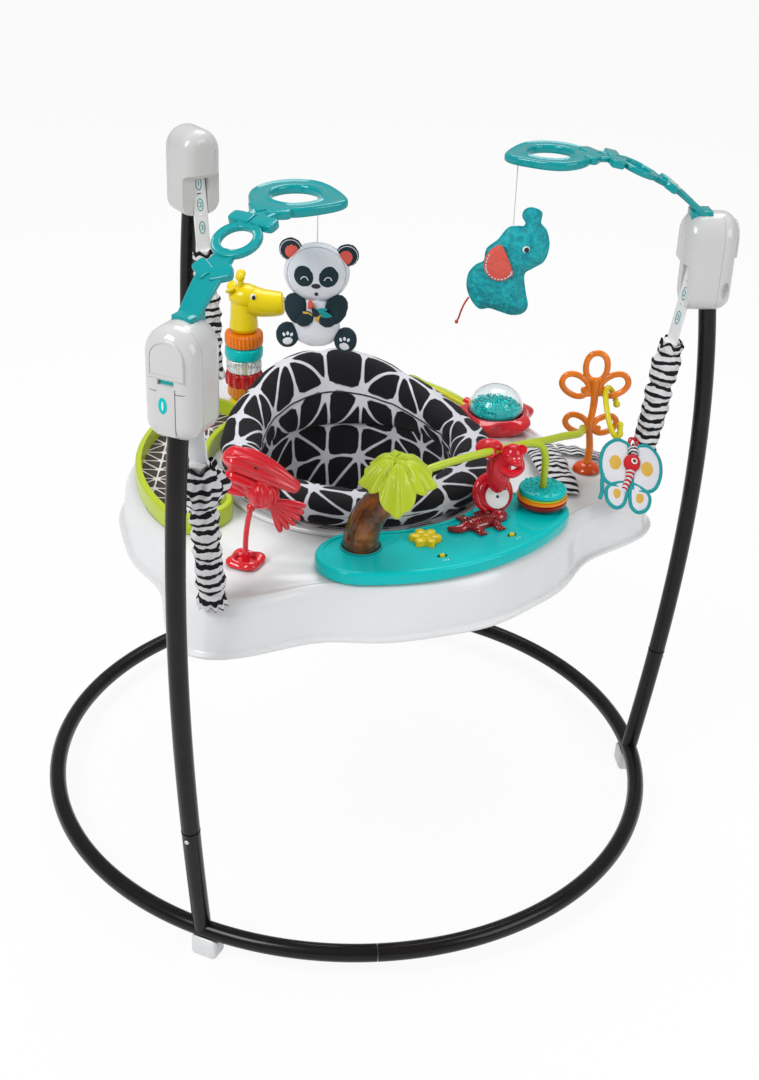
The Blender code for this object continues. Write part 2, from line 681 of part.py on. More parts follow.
def seat_pad():
    """One stuffed ring, its crown pulled in a little at the sewn channels."""
    sections = []
    for i in range(PAD_STEPS):
        azimuth = 360.0 * i / PAD_STEPS
        height = pad_height(azimuth)
        channel = 0.93 if i % 6 == 0 else 1.0
        thick = (0.027 - 0.10 * (height - 0.040)) * channel
        middle = 0.1465 + 0.08 * (height - 0.040)
        section = []
        for j in range(PAD_POINTS):
            angle = math.tau * j / PAD_POINTS
            side = math.copysign(abs(math.cos(angle)) ** 0.75, math.cos(angle))
            up = math.copysign(abs(math.sin(angle)) ** 0.75, math.sin(angle))
            lean = 0.012 * up * (height - 0.040) / 0.059
            section.append(polar(azimuth, middle + lean + thick * side, PAD_LOW + height / 2 * channel * (1 + up)))
        sections.append(section)
    return loft(sections, wrap=True)


LEG_HOLE_SPREAD = 36.0


def seat_bucket():
    """The hanging fabric seat with its two leg openings."""
    outside = [(0.1630, 0.4785), (0.1610, 0.4500), (0.1520, 0.4150), (0.1330, 0.3780), (0.1030, 0.3480), (0.0560, 0.3310), (0.0, 0.3270)]
    inside = [(0.0, 0.3310), (0.0545, 0.3350), (0.1005, 0.3515), (0.1300, 0.3805), (0.1485, 0.4165), (0.1575, 0.4510), (0.1590, 0.4785)]
    shell = turned(outside + inside, 20)
    bm = bmesh.new()
    bm.from_mesh(shell)
    rim = [v for v in bm.verts if abs(v.co.z - 0.4785) < 1e-6]
    edges = {e for v in rim for e in v.link_edges if e.is_boundary}
    if edges:
        bmesh.ops.bridge_loops(bm, edges=list(edges))
    shell = as_mesh(bm)
    holes = []
    for side in (-1, 1):
        azimuth = SEAT_FACES + side * LEG_HOLE_SPREAD
        holes.append(rod(polar(azimuth, 0.085, 0.402), polar(azimuth, 0.190, 0.372), 0.043, sides=14))
    return carve(shell, cuts=holes)


# Teal toy panel with its lens, leaves, button and switches


def crescent(first, last, inner, outer, squareness=(2.0, 3.0), steps=9, inset=0.0):
    """A half-moon between two radii with rounded ends; each end has its own squareness."""
    middle, half = (inner + outer) / 2, (outer - inner) / 2
    reach = math.degrees(half / middle)
    outline = []
    for end, turn_from, power in ((last - reach, -90.0, squareness[1]), (first + reach, 90.0, squareness[0])):
        for i in range(steps + 1):
            angle = math.radians(turn_from + 180.0 * i / steps)
            along = math.copysign(abs(math.cos(angle)) ** (2 / power), math.cos(angle))
            across = math.copysign(abs(math.sin(angle)) ** (2 / power), math.sin(angle))
            azimuth = end + along * math.degrees((half - inset) / middle)
            outline.append(tuple(polar(azimuth, middle + across * (half - inset))[:2]))
        side = 1 if end > (first + last) / 2 else -1
        start, stop = (last - reach, first + reach) if side > 0 else (first + reach, last - reach)
        for i in range(1, 8):
            outline.append(tuple(polar(start + (stop - start) * i / 8, middle + side * (half - inset))[:2]))
    return outline


PANEL_SPAN = (260.0, 342.5)
TRUNK_AT = Vector((0.011, -0.220, 0.0))
FLOWER_AT = Vector((0.085, -0.199, 0.0))
LIZARD_AT = Vector((0.1500, -0.1560, 0.0))
SWITCHES = {"volume_switch": (294.0, 0.257), "mode_switch": (316.5, 0.258)}
DISCS_AT = Vector((0.2265, -0.1010, 0.0))


def petals(centre, radius, depth, count, steps=24, start=0.0):
    """A flower outline: a circle whose radius swells once for each petal."""
    outline = []
    for i in range(steps):
        angle = math.tau * i / steps
        reach = radius + depth * math.cos(count * (angle - start))
        outline.append((centre.x + reach * math.cos(angle), centre.y + reach * math.sin(angle)))
    return outline


def switch_place(name):
    azimuth, radius = SWITCHES[name]
    return azimuth, polar(azimuth, radius)


def toy_panel():
    body = plate(crescent(*PANEL_SPAN, 0.1835, 0.2860), DECK + FIT_GAP, PANEL_TOP, 0.0045, 2)
    button_well = plate(petals(FLOWER_AT, 0.0172, 0.0028, 6), PANEL_TOP - 0.0055, PANEL_TOP + 0.01)
    lens_well = rod((TRUNK_AT.x, TRUNK_AT.y, PANEL_TOP - 0.0040), (TRUNK_AT.x, TRUNK_AT.y, PANEL_TOP + 0.01), 0.0245, sides=16)
    wells = []
    for name in SWITCHES:
        azimuth, at = switch_place(name)
        well = box((0.0066, 0.0120, 0.012), (0, 0, 0))
        wells.append(moved(well, turn(azimuth, "Z"), shift(at.x, at.y, PANEL_TOP + 0.0025)))
    return carve(body, cuts=[button_well, lens_well, *wells])


TRUNK_LINE = ((0.011, -0.220, 0.4854), (0.011, -0.220, 0.503), (0.017, -0.219, 0.524), (0.028, -0.217, 0.541), (0.038, -0.216, 0.552))
PALM_AT = Vector((0.050, -0.2200, 0.0))


def trunk_lens():
    radii = (1.0, 1.0, 0.95, 0.86, 0.80)
    return tube([Vector(p) for p in TRUNK_LINE], 0.0215, 4, radii)


def palm_leaves():
    """Five drooping leaves fused at the crown, hollow beneath like a moulded cap."""
    steps = 25
    rings = []
    for reach, height in ((0.35, 0.6020), (0.72, 0.5930), (1.0, 0.5700), (0.92, 0.5670), (0.62, 0.5850), (0.30, 0.5900)):
        ring = []
        for i in range(steps):
            angle = math.tau * i / steps
            leaf = 0.5 + 0.5 * math.cos(5 * (angle + math.pi / 2))
            radius = 0.024 + 0.0185 * leaf
            droop = 0.026 * leaf * max(0.0, reach - 0.35) if height < 0.6 else 0.0
            front = 1.0 + 0.35 * max(0.0, -math.sin(angle))
            ring.append(
                (PALM_AT.x + reach * radius * math.cos(angle), PALM_AT.y + reach * radius * math.sin(angle), height - droop * front)
            )
        rings.append(ring)
    return loft(rings)


def flower_button():
    return plate(petals(FLOWER_AT, 0.0165, 0.0028, 6), PANEL_TOP - 0.0020, PANEL_TOP + 0.0055, 0.0020, 2)


def lizard_lens():
    """A crawling lizard: rounded back, head, curled tail and four short feet."""
    low = PANEL_TOP + FIT_GAP
    shapes = []
    for along, across, radii in (
        (0.0, 0.0, (0.0230, 0.0110, 0.0080)), (0.0250, 0.0020, (0.0110, 0.0095, 0.0080)),
        (-0.0260, -0.0020, (0.0130, 0.0075, 0.0060)), (0.0130, 0.0135, (0.0055, 0.0085, 0.0045)),
        (0.0130, -0.0135, (0.0055, 0.0085, 0.0045)), (-0.0110, 0.0135, (0.0055, 0.0085, 0.0045)),
        (-0.0110, -0.0135, (0.0055, 0.0085, 0.0045)),
    ):
        shape = ball(radii, (along, across, 0), 8, 5)
        shapes.append(moved(shape, turn(33, "Z"), shift(LIZARD_AT.x, LIZARD_AT.y, low + 0.0015)))
    trim = box((0.2, 0.2, 0.05), (LIZARD_AT.x, LIZARD_AT.y, low - 0.025))
    return carve(shapes[0], joins=shapes[1:], cuts=[trim])


def slide_switch(name):
    azimuth, at = switch_place(name)
    knob = box((0.0046, 0.0050, 0.0046), (0, 0, 0), 0.0008, 1)
    return moved(knob, turn(azimuth, "Z"), shift(at.x, at.y, PANEL_TOP - 0.0009))


# Vine with the monkey, the discs, the roller

VINE_RADIUS = 0.0048
VINE_ROUTE = ((0.078, -0.205, 0.5800), (0.110, -0.182, 0.5820), (0.158, -0.148, 0.5815), (0.197, -0.118, 0.5780),
              (0.226, -0.086, 0.5690), (0.252, -0.044, 0.5560), (0.276, -0.008, 0.5440), (0.2830, 0.0195, 0.5390))
BRANCH_ROUTE = ((0.206, -0.111, 0.5770), (0.2200, -0.1040, 0.5700), (0.2265, -0.1010, 0.5520), (0.2265, -0.1010, 0.5200), (0.2265, -0.1010, 0.4893))


def vine():
    """A moulded branch from the palm to the tree, with one stem down through the discs."""
    main = tube(smooth_route(VINE_ROUTE, 2), VINE_RADIUS, 2)
    stem = tube(smooth_route(BRANCH_ROUTE, 2), VINE_RADIUS * 0.93, 2)
    return carve(main, joins=[stem])


MONKEY_AT = Vector((0.1660, -0.1418, 0.5810))
WHEEL_AT = Vector((0.1650, -0.1220, 0.5130))
WHEEL_AXIS = Vector((0.25, -0.85, 0.40)).normalized()


def monkey():
    """A monkey that hangs from the vine by its hands and holds a round dial."""
    x, y, z = MONKEY_AT
    body = ball((0.0150, 0.0135, 0.0300), (x + 0.003, y + 0.005, z - 0.0290), 10, 7)
    lap = ball((0.0120, 0.0120, 0.0130), (x + 0.001, y + 0.0140, z - 0.0500), 8, 5)
    head = ball((0.0125, 0.0120, 0.0130), (x + 0.0180, y - 0.004, z - 0.0040), 10, 7)
    wheel = rod(WHEEL_AT - WHEEL_AXIS * 0.0080, WHEEL_AT + WHEEL_AXIS * 0.0080, 0.0225, 0.0195, 16)
    hand = ball((0.0165, 0.0120, 0.0115), (x - 0.0100, y + 0.0030, z + 0.0005), 8, 6)
    arm = ball((0.0070, 0.0075, 0.0160), (x + 0.0190, y - 0.002, z - 0.0290), 8, 5, turn(-38, "Y"))
    grip = tube(smooth_route(VINE_ROUTE, 2), VINE_RADIUS + 0.0006, 2)
    return carve(body, joins=[lap, head, wheel, hand, arm], cuts=[grip])


def disc_stack():
    """Three turning discs on the stem: a studded one above two plain ones."""
    bore = VINE_RADIUS * 0.93 + 0.0005
    profile = [
        (bore, 0.5150), (0.0250, 0.5150), (0.0290, 0.5125), (0.0290, 0.5085), (0.0265, 0.5065), (0.0310, 0.5045),
        (0.0310, 0.5010), (0.0280, 0.4990), (0.0300, 0.4970), (0.0280, 0.4940), (bore, 0.4940),
    ]
    return moved(turned(list(reversed(profile)), 15), shift(DISCS_AT.x, DISCS_AT.y, 0))


ROLLER_AT = Vector((0.1820, 0.1610, 0.0))
DOME_RADIUS = 0.0370
ROLLER_TOP = DECK + 0.0230


def roller_base():
    """A five-petalled tray for the bead dome, with the branch that leans out behind it."""
    low = DECK + FIT_GAP
    flower = plate(petals(ROLLER_AT, 0.0490, 0.0060, 5, 30, 0.5), low, ROLLER_TOP, 0.0060, 2)
    bar = tube([(0.158, 0.190, 0.4835), (0.148, 0.195, 0.486), (0.118, 0.222, 0.491), (0.082, 0.241, 0.497), (0.058, 0.252, 0.502)], 0.0052, 2)
    seat = rod((ROLLER_AT.x, ROLLER_AT.y, ROLLER_TOP - 0.0040), (ROLLER_AT.x, ROLLER_AT.y, ROLLER_TOP + 0.02), DOME_RADIUS + 0.0015, sides=20)
    return carve(flower, joins=[bar], cuts=[seat])


def roller_dome():
    """A clear blown dome, open underneath, that turns in the flower."""
    low = ROLLER_TOP - 0.0037
    profile = []
    for i in range(7):
        angle = math.pi / 2 * i / 6
        profile.append((DOME_RADIUS * math.cos(angle), low + 0.006 + (DOME_RADIUS - 0.004) * math.sin(angle)))
    inner = [(r * 0.955, z - 0.0017 if r < DOME_RADIUS * 0.99 else z) for r, z in reversed(profile)]
    outline = [(DOME_RADIUS, low), *profile[:-1], (0.0, profile[-1][1]), (0.0, inner[0][1]), *inner[1:], (DOME_RADIUS * 0.955, low)]
    bm = bmesh.new()
    ring = [bm.verts.new((r, 0.0, z)) for r, z in outline]
    edges = [bm.edges.new(pair) for pair in zip(ring, ring[1:]) if pair[0].co.x > 0 or pair[1].co.x > 0]
    edges.append(bm.edges.new((ring[-1], ring[0])))
    bmesh.ops.spin(bm, geom=ring + edges, cent=(0, 0, 0), axis=(0, 0, 1), angle=math.tau, steps=16, use_merge=True)
    bmesh.ops.remove_doubles(bm, verts=bm.verts, dist=1e-5)
    bmesh.ops.translate(bm, vec=(ROLLER_AT.x, ROLLER_AT.y, 0), verts=bm.verts)
    return as_mesh(bm)


# Lobe toys: teether tree with its link and butterfly, giraffe, bird

TREE_AT = Vector((0.295, 0.036, 0.0))
TREE_LOOPS = (
    (0.000, 0.1420, 0.0135, 0.0185, 0),
    (-0.0245, 0.1165, 0.0130, 0.0180, -58),
    (0.0245, 0.1185, 0.0130, 0.0180, 58),
    (-0.0185, 0.0640, 0.0105, 0.0150, -62),
    (0.0175, 0.0640, 0.0105, 0.0150, 62),
)


def loop(centre, wide, tall, tilt, wire, steps=12):
    """A closed oval of wire standing in the XZ plane."""
    sections = []
    spin = turn(tilt, "Y")
    for i in range(steps):
        angle = math.tau * i / steps
        spine = Vector((wide * math.sin(angle), 0.0, tall * math.cos(angle)))
        outward = Vector((spine.x / wide**2, 0.0, spine.z / tall**2)).normalized()
        section = []
        for j in range(5):
            around = math.tau * j / 5
            section.append(centre + spin @ (spine + outward * wire * math.cos(around) + Vector((0, wire * math.sin(around), 0))))
        sections.append(section)
    return loft(sections, wrap=True)


def orange_tree():
    """A teether tree: domed foot, a stem and five leaf loops."""
    base = turned([(0.0, 0.0100), (0.0090, 0.0085), (0.0160, 0.0050), (0.0180, 0.0), (0.0, 0.0)], 16)
    moved(base, shift(TREE_AT.x, TREE_AT.y, DECK + FIT_GAP))
    stem = tube([TREE_AT + Vector((0, 0, DECK + h)) for h in (0.004, 0.045, 0.085, 0.124)], 0.0045, 2, (1.25, 1.0, 1.0, 1.1))
    loops = [loop(TREE_AT + Vector((dx, 0.0, DECK + dz)), w, t, tilt, 0.0036) for dx, dz, w, t, tilt in TREE_LOOPS]
    return carve(base, joins=[stem, *loops])


LINK_TOP = Vector((0.3140, 0.0420, 0.5860))
LINK_FOOT = Vector((0.3235, -0.0040, 0.5390))
LINK_PIVOT = Vector((0.3165, 0.0360, 0.5780))
LINK_HALF_WIDTH = 0.0140


def yellow_link():
    """An open link through the upper right leaf loop; its gap is where it clips on."""
    middle = (LINK_TOP + LINK_FOOT) / 2
    along = (LINK_TOP - LINK_FOOT).normalized()
    side = Vector((0.45, 0.89, 0.0))
    side = (side - along * side.dot(along)).normalized()
    half_long = (LINK_TOP - LINK_FOOT).length / 2
    points = []
    for i in range(17):
        angle = math.radians(20 + 320 * i / 16)
        flat = math.copysign(abs(math.sin(angle)) ** 0.8, math.sin(angle))
        points.append(middle + along * half_long * flat + side * LINK_HALF_WIDTH * math.cos(angle))
    return tube(points, 0.0028, 1)


BUTTERFLY_TOP = Vector((0.3430, -0.0150, 0.5330))
BUTTERFLY_LEAN = 36.0
UPPER_WING = ((0.004, -0.006), (0.012, 0.004), (0.023, 0.003), (0.034, -0.011), (0.037, -0.032), (0.031, -0.052), (0.016, -0.060), (0.004, -0.054))
LOWER_WING = ((0.003, -0.053), (0.015, -0.053), (0.026, -0.064), (0.024, -0.081), (0.013, -0.088), (0.004, -0.078))


def butterfly():
    """Two pairs of flat wings and a plump body, hung from the link by a tab."""
    wings = []
    for outline in (UPPER_WING, LOWER_WING):
        for side in (-1, 1):
            wings.append(plate([(side * x, z) for x, z in outline], -0.0012, 0.0012))
    body = tube([(0, -0.002, 0), (0, -0.018, 0.001), (0, -0.040, 0.001), (0, -0.068, 0)], 0.0068, 2, (0.9, 1.1, 0.7, 0.45))
    shape = carve(body, joins=wings)
    return moved(shape, turn(BUTTERFLY_LEAN, "X"), turn(11, "Y"), shift(*BUTTERFLY_TOP))


GIRAFFE_AT = Vector((-0.1630, 0.2100, 0.0))


def giraffe():
    """Foot, post, neck and head in one; the head looks to the right."""
    x, y, _ = GIRAFFE_AT
    low = DECK + FIT_GAP
    foot = rod((x, y, low), (x, y, low + 0.004), 0.020, 0.017, 16)
    post = rod((x, y, low + 0.002), (x, y, 0.586), 0.0042, sides=10)
    neck = tube([(x, y, 0.5790), (x, y, 0.5950), (x - 0.001, y, 0.6150), (x - 0.001, y, 0.6300)], 0.0195, 2, (1.0, 0.98, 0.90, 0.70))
    head = tube([(x - 0.020, y, 0.6260), (x - 0.010, y, 0.6270), (x + 0.024, y, 0.6220), (x + 0.046, y, 0.6180), (x + 0.054, y, 0.6170)],
                0.0180, 2, (0.50, 1.0, 0.92, 0.78, 0.50))
    horns = []
    for side in (-1, 1):
        top = Vector((x - 0.002, y + side * 0.0065, 0.6530))
        horns.append(rod((x - 0.002, y + side * 0.0050, 0.6360), top, 0.0024, sides=8))
        horns.append(ball((0.0038, 0.0038, 0.0038), top, 8, 6))
    ear = ball((0.0040, 0.0120, 0.0030), (x - 0.012, y, 0.6330), 8, 6)
    return carve(foot, joins=[post, neck, head, ear, *horns])


def giraffe_rings():
    """Five turning rings on the post, one of them toothed, fused as the stack that turns."""
    bore = 0.0048
    profile = [(bore, 0.5765)]
    for low, high, radius in ((0.5570, 0.5765, 0.0265), (0.5390, 0.5565, 0.0262), (0.5200, 0.5385, 0.0240), (0.5000, 0.5195, 0.0262), (0.4835, 0.4995, 0.0225)):
        profile += [(radius - 0.0025, high), (radius, (low + high) / 2), (radius - 0.0025, low)]
    profile.append((bore, 0.4835))
    return moved(turned(list(reversed(profile)), 12), shift(GIRAFFE_AT.x, GIRAFFE_AT.y, 0))


BIRD_AT = Vector((-0.1200, -0.2425, 0.0))
BIRD_PIVOT = BIRD_AT + Vector((0.0065, 0.0, 0.5447))


def bird_stand():
    """The flower foot and the bendy stalk that carries the bird."""
    x, y, _ = BIRD_AT
    low = DECK + FIT_GAP
    foot = plate(petals(Vector((x, y, 0)), 0.0215, 0.0022, 4, 24, 0.4), low, low + 0.0060, 0.0022, 1)
    dish = ball((0.0150, 0.0150, 0.0055), (x, y, low + 0.0070), 12, 6)
    stalk = tube(smooth_route([(x, y, low + 0.001), (x, y, 0.500), (x + 0.002, y, 0.522), (x + 0.006, y, 0.544)], 2), 0.0032, 2)
    return carve(carve(foot, cuts=[dish]), joins=[stalk])


def bird():
    """A ribbed round body with a long crest, a beak piece, a fan tail and leaf wings."""
    x, y, _ = BIRD_AT
    body = ball((0.0175, 0.0160, 0.0175), (x + 0.020, y - 0.002, 0.5630), 12, 7)
    crest = tube([(x - 0.022, y, 0.6060), (x - 0.006, y, 0.6010), (x + 0.020, y, 0.5880), (x + 0.048, y, 0.5750), (x + 0.068, y, 0.5640)],
                 0.0120, 2, (0.45, 1.0, 1.15, 1.0, 0.40))
    tail = moved(plate([(0.0, -0.006), (0.034, -0.020), (0.040, -0.008), (0.040, 0.006), (0.032, 0.017), (0.0, 0.006)], -0.003, 0.003, 0.001, 1),
                 turn(90, "X"), turn(38, "Y"), shift(x + 0.028, y - 0.002, 0.5560))
    leaves = [
        moved(ball((0.0240, 0.0050, 0.0080), (-0.018, 0, 0), 8, 5), turn(slope, "Y"), shift(x + 0.012, y + aside, 0.5620))
        for slope, aside in ((28, 0.0004), (52, -0.0023), (2, 0.0031))
    ]
    socket = rod((x + 0.004, y, 0.530), (x + 0.0065, y, 0.5447), 0.0038, sides=8)
    return carve(body, joins=[crest, tail, *leaves], cuts=[socket])


POD_SPAN = (139.0, 226.0)


def lime_pod():
    """A half-moon dish on the left of the deck, with a recess inside its rim."""
    body = plate(crescent(*POD_SPAN, 0.1880, 0.2790, (2.4, 2.4), 8), DECK + FIT_GAP, DECK + 0.0240, 0.0035, 2)
    recess = plate(crescent(*POD_SPAN, 0.1880, 0.2790, (2.4, 2.4), 8, 0.0075), DECK + 0.0040, DECK + 0.040)
    return carve(body, cuts=[recess])


def zebra_flap():
    """A hem of striped cloth laid over the deck between the discs and the tree."""
    start, end = Vector((0.2330, 0.0960, 0.0)), Vector((0.2600, -0.0480, 0.0))
    across = Vector((0.0220, 0.0040, 0.0))
    rows = 10
    sections = []
    for i in range(rows + 1):
        t = i / rows
        hump = 0.0135 * math.sin(math.pi * min(1.0, t * 1.02)) ** 0.6 if 0 < i < rows else 0.0
        spine = start.lerp(end, t) + Vector((0, 0, DECK + FIT_GAP + 0.0002 + hump))
        section = []
        for side, lift in ((-1.0, 0.0), (-1.0, 0.0016), (-0.3, 0.0052), (0.5, 0.0056), (1.0, 0.0018), (1.0, 0.0)):
            section.append(spine + across * side + Vector((0, 0, lift)))
        sections.append(section)
    return loft(sections)


# Assembly

base, foot, button = base_tube(), floor_foot(), snap_button()
leg = leg_run(LEG_JOINT_HEIGHT + FIT_GAP, LEG_TOP, 9)
outer, strap, spring, sleeve, toy_arch = housing_outer(), height_strap(), coil_spring(), spring_sleeve(), arch()
for where, azimuth in LEG_AZIMUTHS.items():
    part(f"base_tube_{where}", base, "frame_steel", azimuth=azimuth)
    part(f"leg_{where}", leg, "frame_steel", azimuth=azimuth)
    part(f"floor_foot_{where}", foot, "white_plastic", azimuth=azimuth)
    part(f"snap_button_{where}", button, "white_plastic", azimuth=azimuth)
    part(f"housing_inner_{where}", housing_inner(where != "back"), "white_plastic", azimuth=azimuth)
    part(f"housing_outer_{where}", outer, "white_plastic", azimuth=azimuth)
    part(f"height_strap_{where}", strap, "white_plastic", azimuth=azimuth)
    part(f"coil_spring_{where}", spring, "spring_steel", azimuth=azimuth)
    cover = spring_sleeve(0.007) if where == "front" else sleeve
    part(f"spring_sleeve_{where}", cover, "zebra_fabric", azimuth=azimuth)
part("arch_right", toy_arch, "teal_plastic", azimuth=LEG_AZIMUTHS["right"])
set_in = shift(-ARCH_SOCKET, 0, -0.812), turn(FRONT_ARCH_PITCH, "Y"), turn(FRONT_ARCH_YAW, "Z"), shift(ARCH_SOCKET, 0, 0.812)
part("arch_front", moved(toy_arch.copy(), *set_in), "teal_plastic", azimuth=LEG_AZIMUTHS["front"])

panda_pivot = PANDA_AT + Vector((0, 0, PANDA_CORD_TOP))
part("panda_cord", toy_cord(PANDA_AT, PANDA_HEAD_HEIGHT + PANDA_HEAD[2] + 0.0005, PANDA_CORD_TOP), "cord_thread", panda_pivot)
part("panda_head", panda_head(), "panda_fabric", panda_pivot)
part("panda_body", panda_body(), "panda_fabric", panda_pivot)
elephant_pivot = ELEPHANT_AT + Vector((0, 0, ELEPHANT_CORD_TOP))
part("elephant_cord", toy_cord(ELEPHANT_AT, ELEPHANT_KNOT + 0.0005, ELEPHANT_CORD_TOP), "cord_thread", elephant_pivot)
part("elephant_body", elephant_body(), "elephant_fabric", elephant_pivot)
part("elephant_tail", elephant_tail(), "cord_thread", elephant_pivot)

part("tray_shell", tray_shell(), "white_plastic")
part("seat_ring", seat_ring(), "white_plastic")
part("seat_pad", seat_pad(), "seat_fabric")
part("seat_bucket", seat_bucket(), "seat_fabric")
part("toy_panel", toy_panel(), "teal_plastic")
part("trunk_lens", trunk_lens(), "brown_lens")
part("palm_leaves", palm_leaves(), "lime_plastic")
part("flower_button", flower_button(), "yellow_plastic", FLOWER_AT)
part("lizard_lens", lizard_lens(), "red_lens")
for name in SWITCHES:
    part(name, slide_switch(name), "yellow_plastic", switch_place(name)[1])
part("vine", vine(), "lime_plastic")
part("monkey", monkey(), "red_plastic", MONKEY_AT)
part("disc_stack", disc_stack(), "teal_plastic", DISCS_AT)
part("roller_base", roller_base(), "red_plastic")
part("roller_dome", roller_dome(), "clear_plastic", ROLLER_AT)
part("orange_tree", orange_tree(), "orange_plastic")
part("yellow_link", yellow_link(), "yellow_plastic", LINK_PIVOT)
part("butterfly", butterfly(), "teal_plastic", LINK_FOOT)
part("giraffe", giraffe(), "yellow_plastic")
part("giraffe_rings", giraffe_rings(), "bead_plastic", GIRAFFE_AT)
part("bird_stand", bird_stand(), "red_plastic")
part("bird", bird(), "red_plastic", BIRD_PIVOT)
part("lime_pod", lime_pod(), "lime_plastic")
part("zebra_flap", zebra_flap(), "zebra_fabric")
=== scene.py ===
# %% [markdown]
# Baby activity jumper, dressed for its picture
#
# Everything below gives those bodies their finished surfaces, piece by piece, in metres.

# %% Load the measured model
import math
import random

import bmesh
import bpy
from mathutils import Matrix, Vector, noise


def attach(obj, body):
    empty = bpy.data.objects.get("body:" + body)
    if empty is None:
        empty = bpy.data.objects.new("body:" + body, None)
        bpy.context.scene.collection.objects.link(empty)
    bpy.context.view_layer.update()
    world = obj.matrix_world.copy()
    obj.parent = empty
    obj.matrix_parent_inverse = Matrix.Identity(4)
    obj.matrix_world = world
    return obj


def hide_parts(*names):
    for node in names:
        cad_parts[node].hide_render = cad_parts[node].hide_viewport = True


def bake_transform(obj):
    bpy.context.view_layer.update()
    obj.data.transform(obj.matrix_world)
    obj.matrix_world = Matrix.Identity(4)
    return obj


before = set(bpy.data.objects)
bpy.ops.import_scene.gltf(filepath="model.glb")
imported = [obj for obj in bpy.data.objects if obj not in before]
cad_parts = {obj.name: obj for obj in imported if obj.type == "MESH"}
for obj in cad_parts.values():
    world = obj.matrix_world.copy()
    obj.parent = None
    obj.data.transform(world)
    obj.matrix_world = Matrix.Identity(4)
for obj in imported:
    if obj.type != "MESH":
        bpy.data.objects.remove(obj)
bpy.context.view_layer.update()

RING_CENTRE = Vector((-0.0192, 0.0033, 0.0))
LEG_AZIMUTHS = {"front": 246.0, "right": 6.0, "back": 126.0}


def linked(name, data):
    """A new object in the scene."""
    new = bpy.data.objects.new(name, data)
    bpy.context.scene.collection.objects.link(new)
    return new


def baked(name, bm):
    """A bmesh as a mesh; the bmesh is freed."""
    mesh = bpy.data.meshes.new(name)
    bm.to_mesh(mesh)
    bm.free()
    return mesh



# %% [markdown]
# Camera
#
# The photograph looks down on the jumper by about 29 degrees with a slight roll. The camera's
# place was fitted to the floor ring, whose oval fixes the height, and to the three legs, whose
# lean fixes the distance. A lens of 54.8 mm on a 36 mm high sensor gives the same perspective.

# %% Camera at the photograph's place
PITCH, ROLL = math.radians(28.696), math.radians(2.2824)
CAMERA_AT = Vector((0.03194, -1.87623, 1.40389))
FOCAL_PIXELS, PHOTO_HEIGHT, SENSOR_HEIGHT = 1643.24, 1080.0, 36.0
camera_data = bpy.data.cameras.new("camera")
camera_data.sensor_fit = "VERTICAL"
camera_data.sensor_height = SENSOR_HEIGHT
camera_data.lens = FOCAL_PIXELS / PHOTO_HEIGHT * SENSOR_HEIGHT
camera = linked("camera", camera_data)
level_right, level_up = Vector((1, 0, 0)), Vector((0, math.sin(PITCH), math.cos(PITCH)))
image_right = level_right * math.cos(ROLL) + level_up * math.sin(ROLL)
image_up = level_up * math.cos(ROLL) - level_right * math.sin(ROLL)
looking = Vector((0, math.cos(PITCH), -math.sin(PITCH)))
axes = Matrix((image_right, image_up, -looking)).transposed().to_4x4()
camera.matrix_world = Matrix.Translation(CAMERA_AT + RING_CENTRE) @ axes
bpy.context.scene.camera = camera
bpy.context.scene.view_settings.view_transform = "Standard"

# %% [markdown]
# Light, floor and backdrop
#
# Product photographs like this one are lit by large soft boxes on a white sweep. Three area
# lamps do the same here, and a pale world fills the shadows. The floor shows white to the
# camera, but it keeps the faint shadow under the ring, because only part of it glows.

# %% Lamps
LAMPS_LOOK_AT = Vector((0, 0, 0.45))


def soft_box(name, place, size, watts):
    """A square area lamp that looks at the middle of the jumper."""
    data = bpy.data.lights.new(name, "AREA")
    data.shape = "SQUARE"
    data.size = size
    data.energy = watts
    lamp = linked(name, data)
    lamp.location = place
    lamp.rotation_euler = (LAMPS_LOOK_AT - Vector(place)).to_track_quat("-Z", "Y").to_euler()


soft_box("key_lamp", (-1.6, -1.7, 2.6), 1.3, 60.0)
soft_box("fill_lamp", (2.2, -1.3, 1.7), 1.4, 22.0)
soft_box("top_lamp", (0.3, 1.2, 2.9), 1.6, 36.0)

# %% World and floor
SHADOW_FILL = 0.37
FLOOR_GLOW = {"Is Camera Ray": 0.92, "Is Glossy Ray": 0.55}
world = bpy.data.worlds.new("studio")
bpy.context.scene.world = world
world.use_nodes = True
sky = world.node_tree
sky.nodes.clear()
rays = sky.nodes.new("ShaderNodeLightPath")
seen = sky.nodes.new("ShaderNodeMath")
seen.operation = "MAXIMUM"
sky.links.new(rays.outputs["Is Camera Ray"], seen.inputs[0])
sky.links.new(rays.outputs["Is Transmission Ray"], seen.inputs[1])
strength = sky.nodes.new("ShaderNodeMapRange")
strength.inputs["To Min"].default_value = SHADOW_FILL
strength.inputs["To Max"].default_value = 1.0
sky.links.new(seen.outputs[0], strength.inputs["Value"])
ground_light = sky.nodes.new("ShaderNodeBackground")
ground_light.inputs["Color"].default_value = (1, 1, 1, 1)
sky.links.new(strength.outputs[0], ground_light.inputs["Strength"])
world_out = sky.nodes.new("ShaderNodeOutputWorld")
sky.links.new(ground_light.outputs[0], world_out.inputs["Surface"])


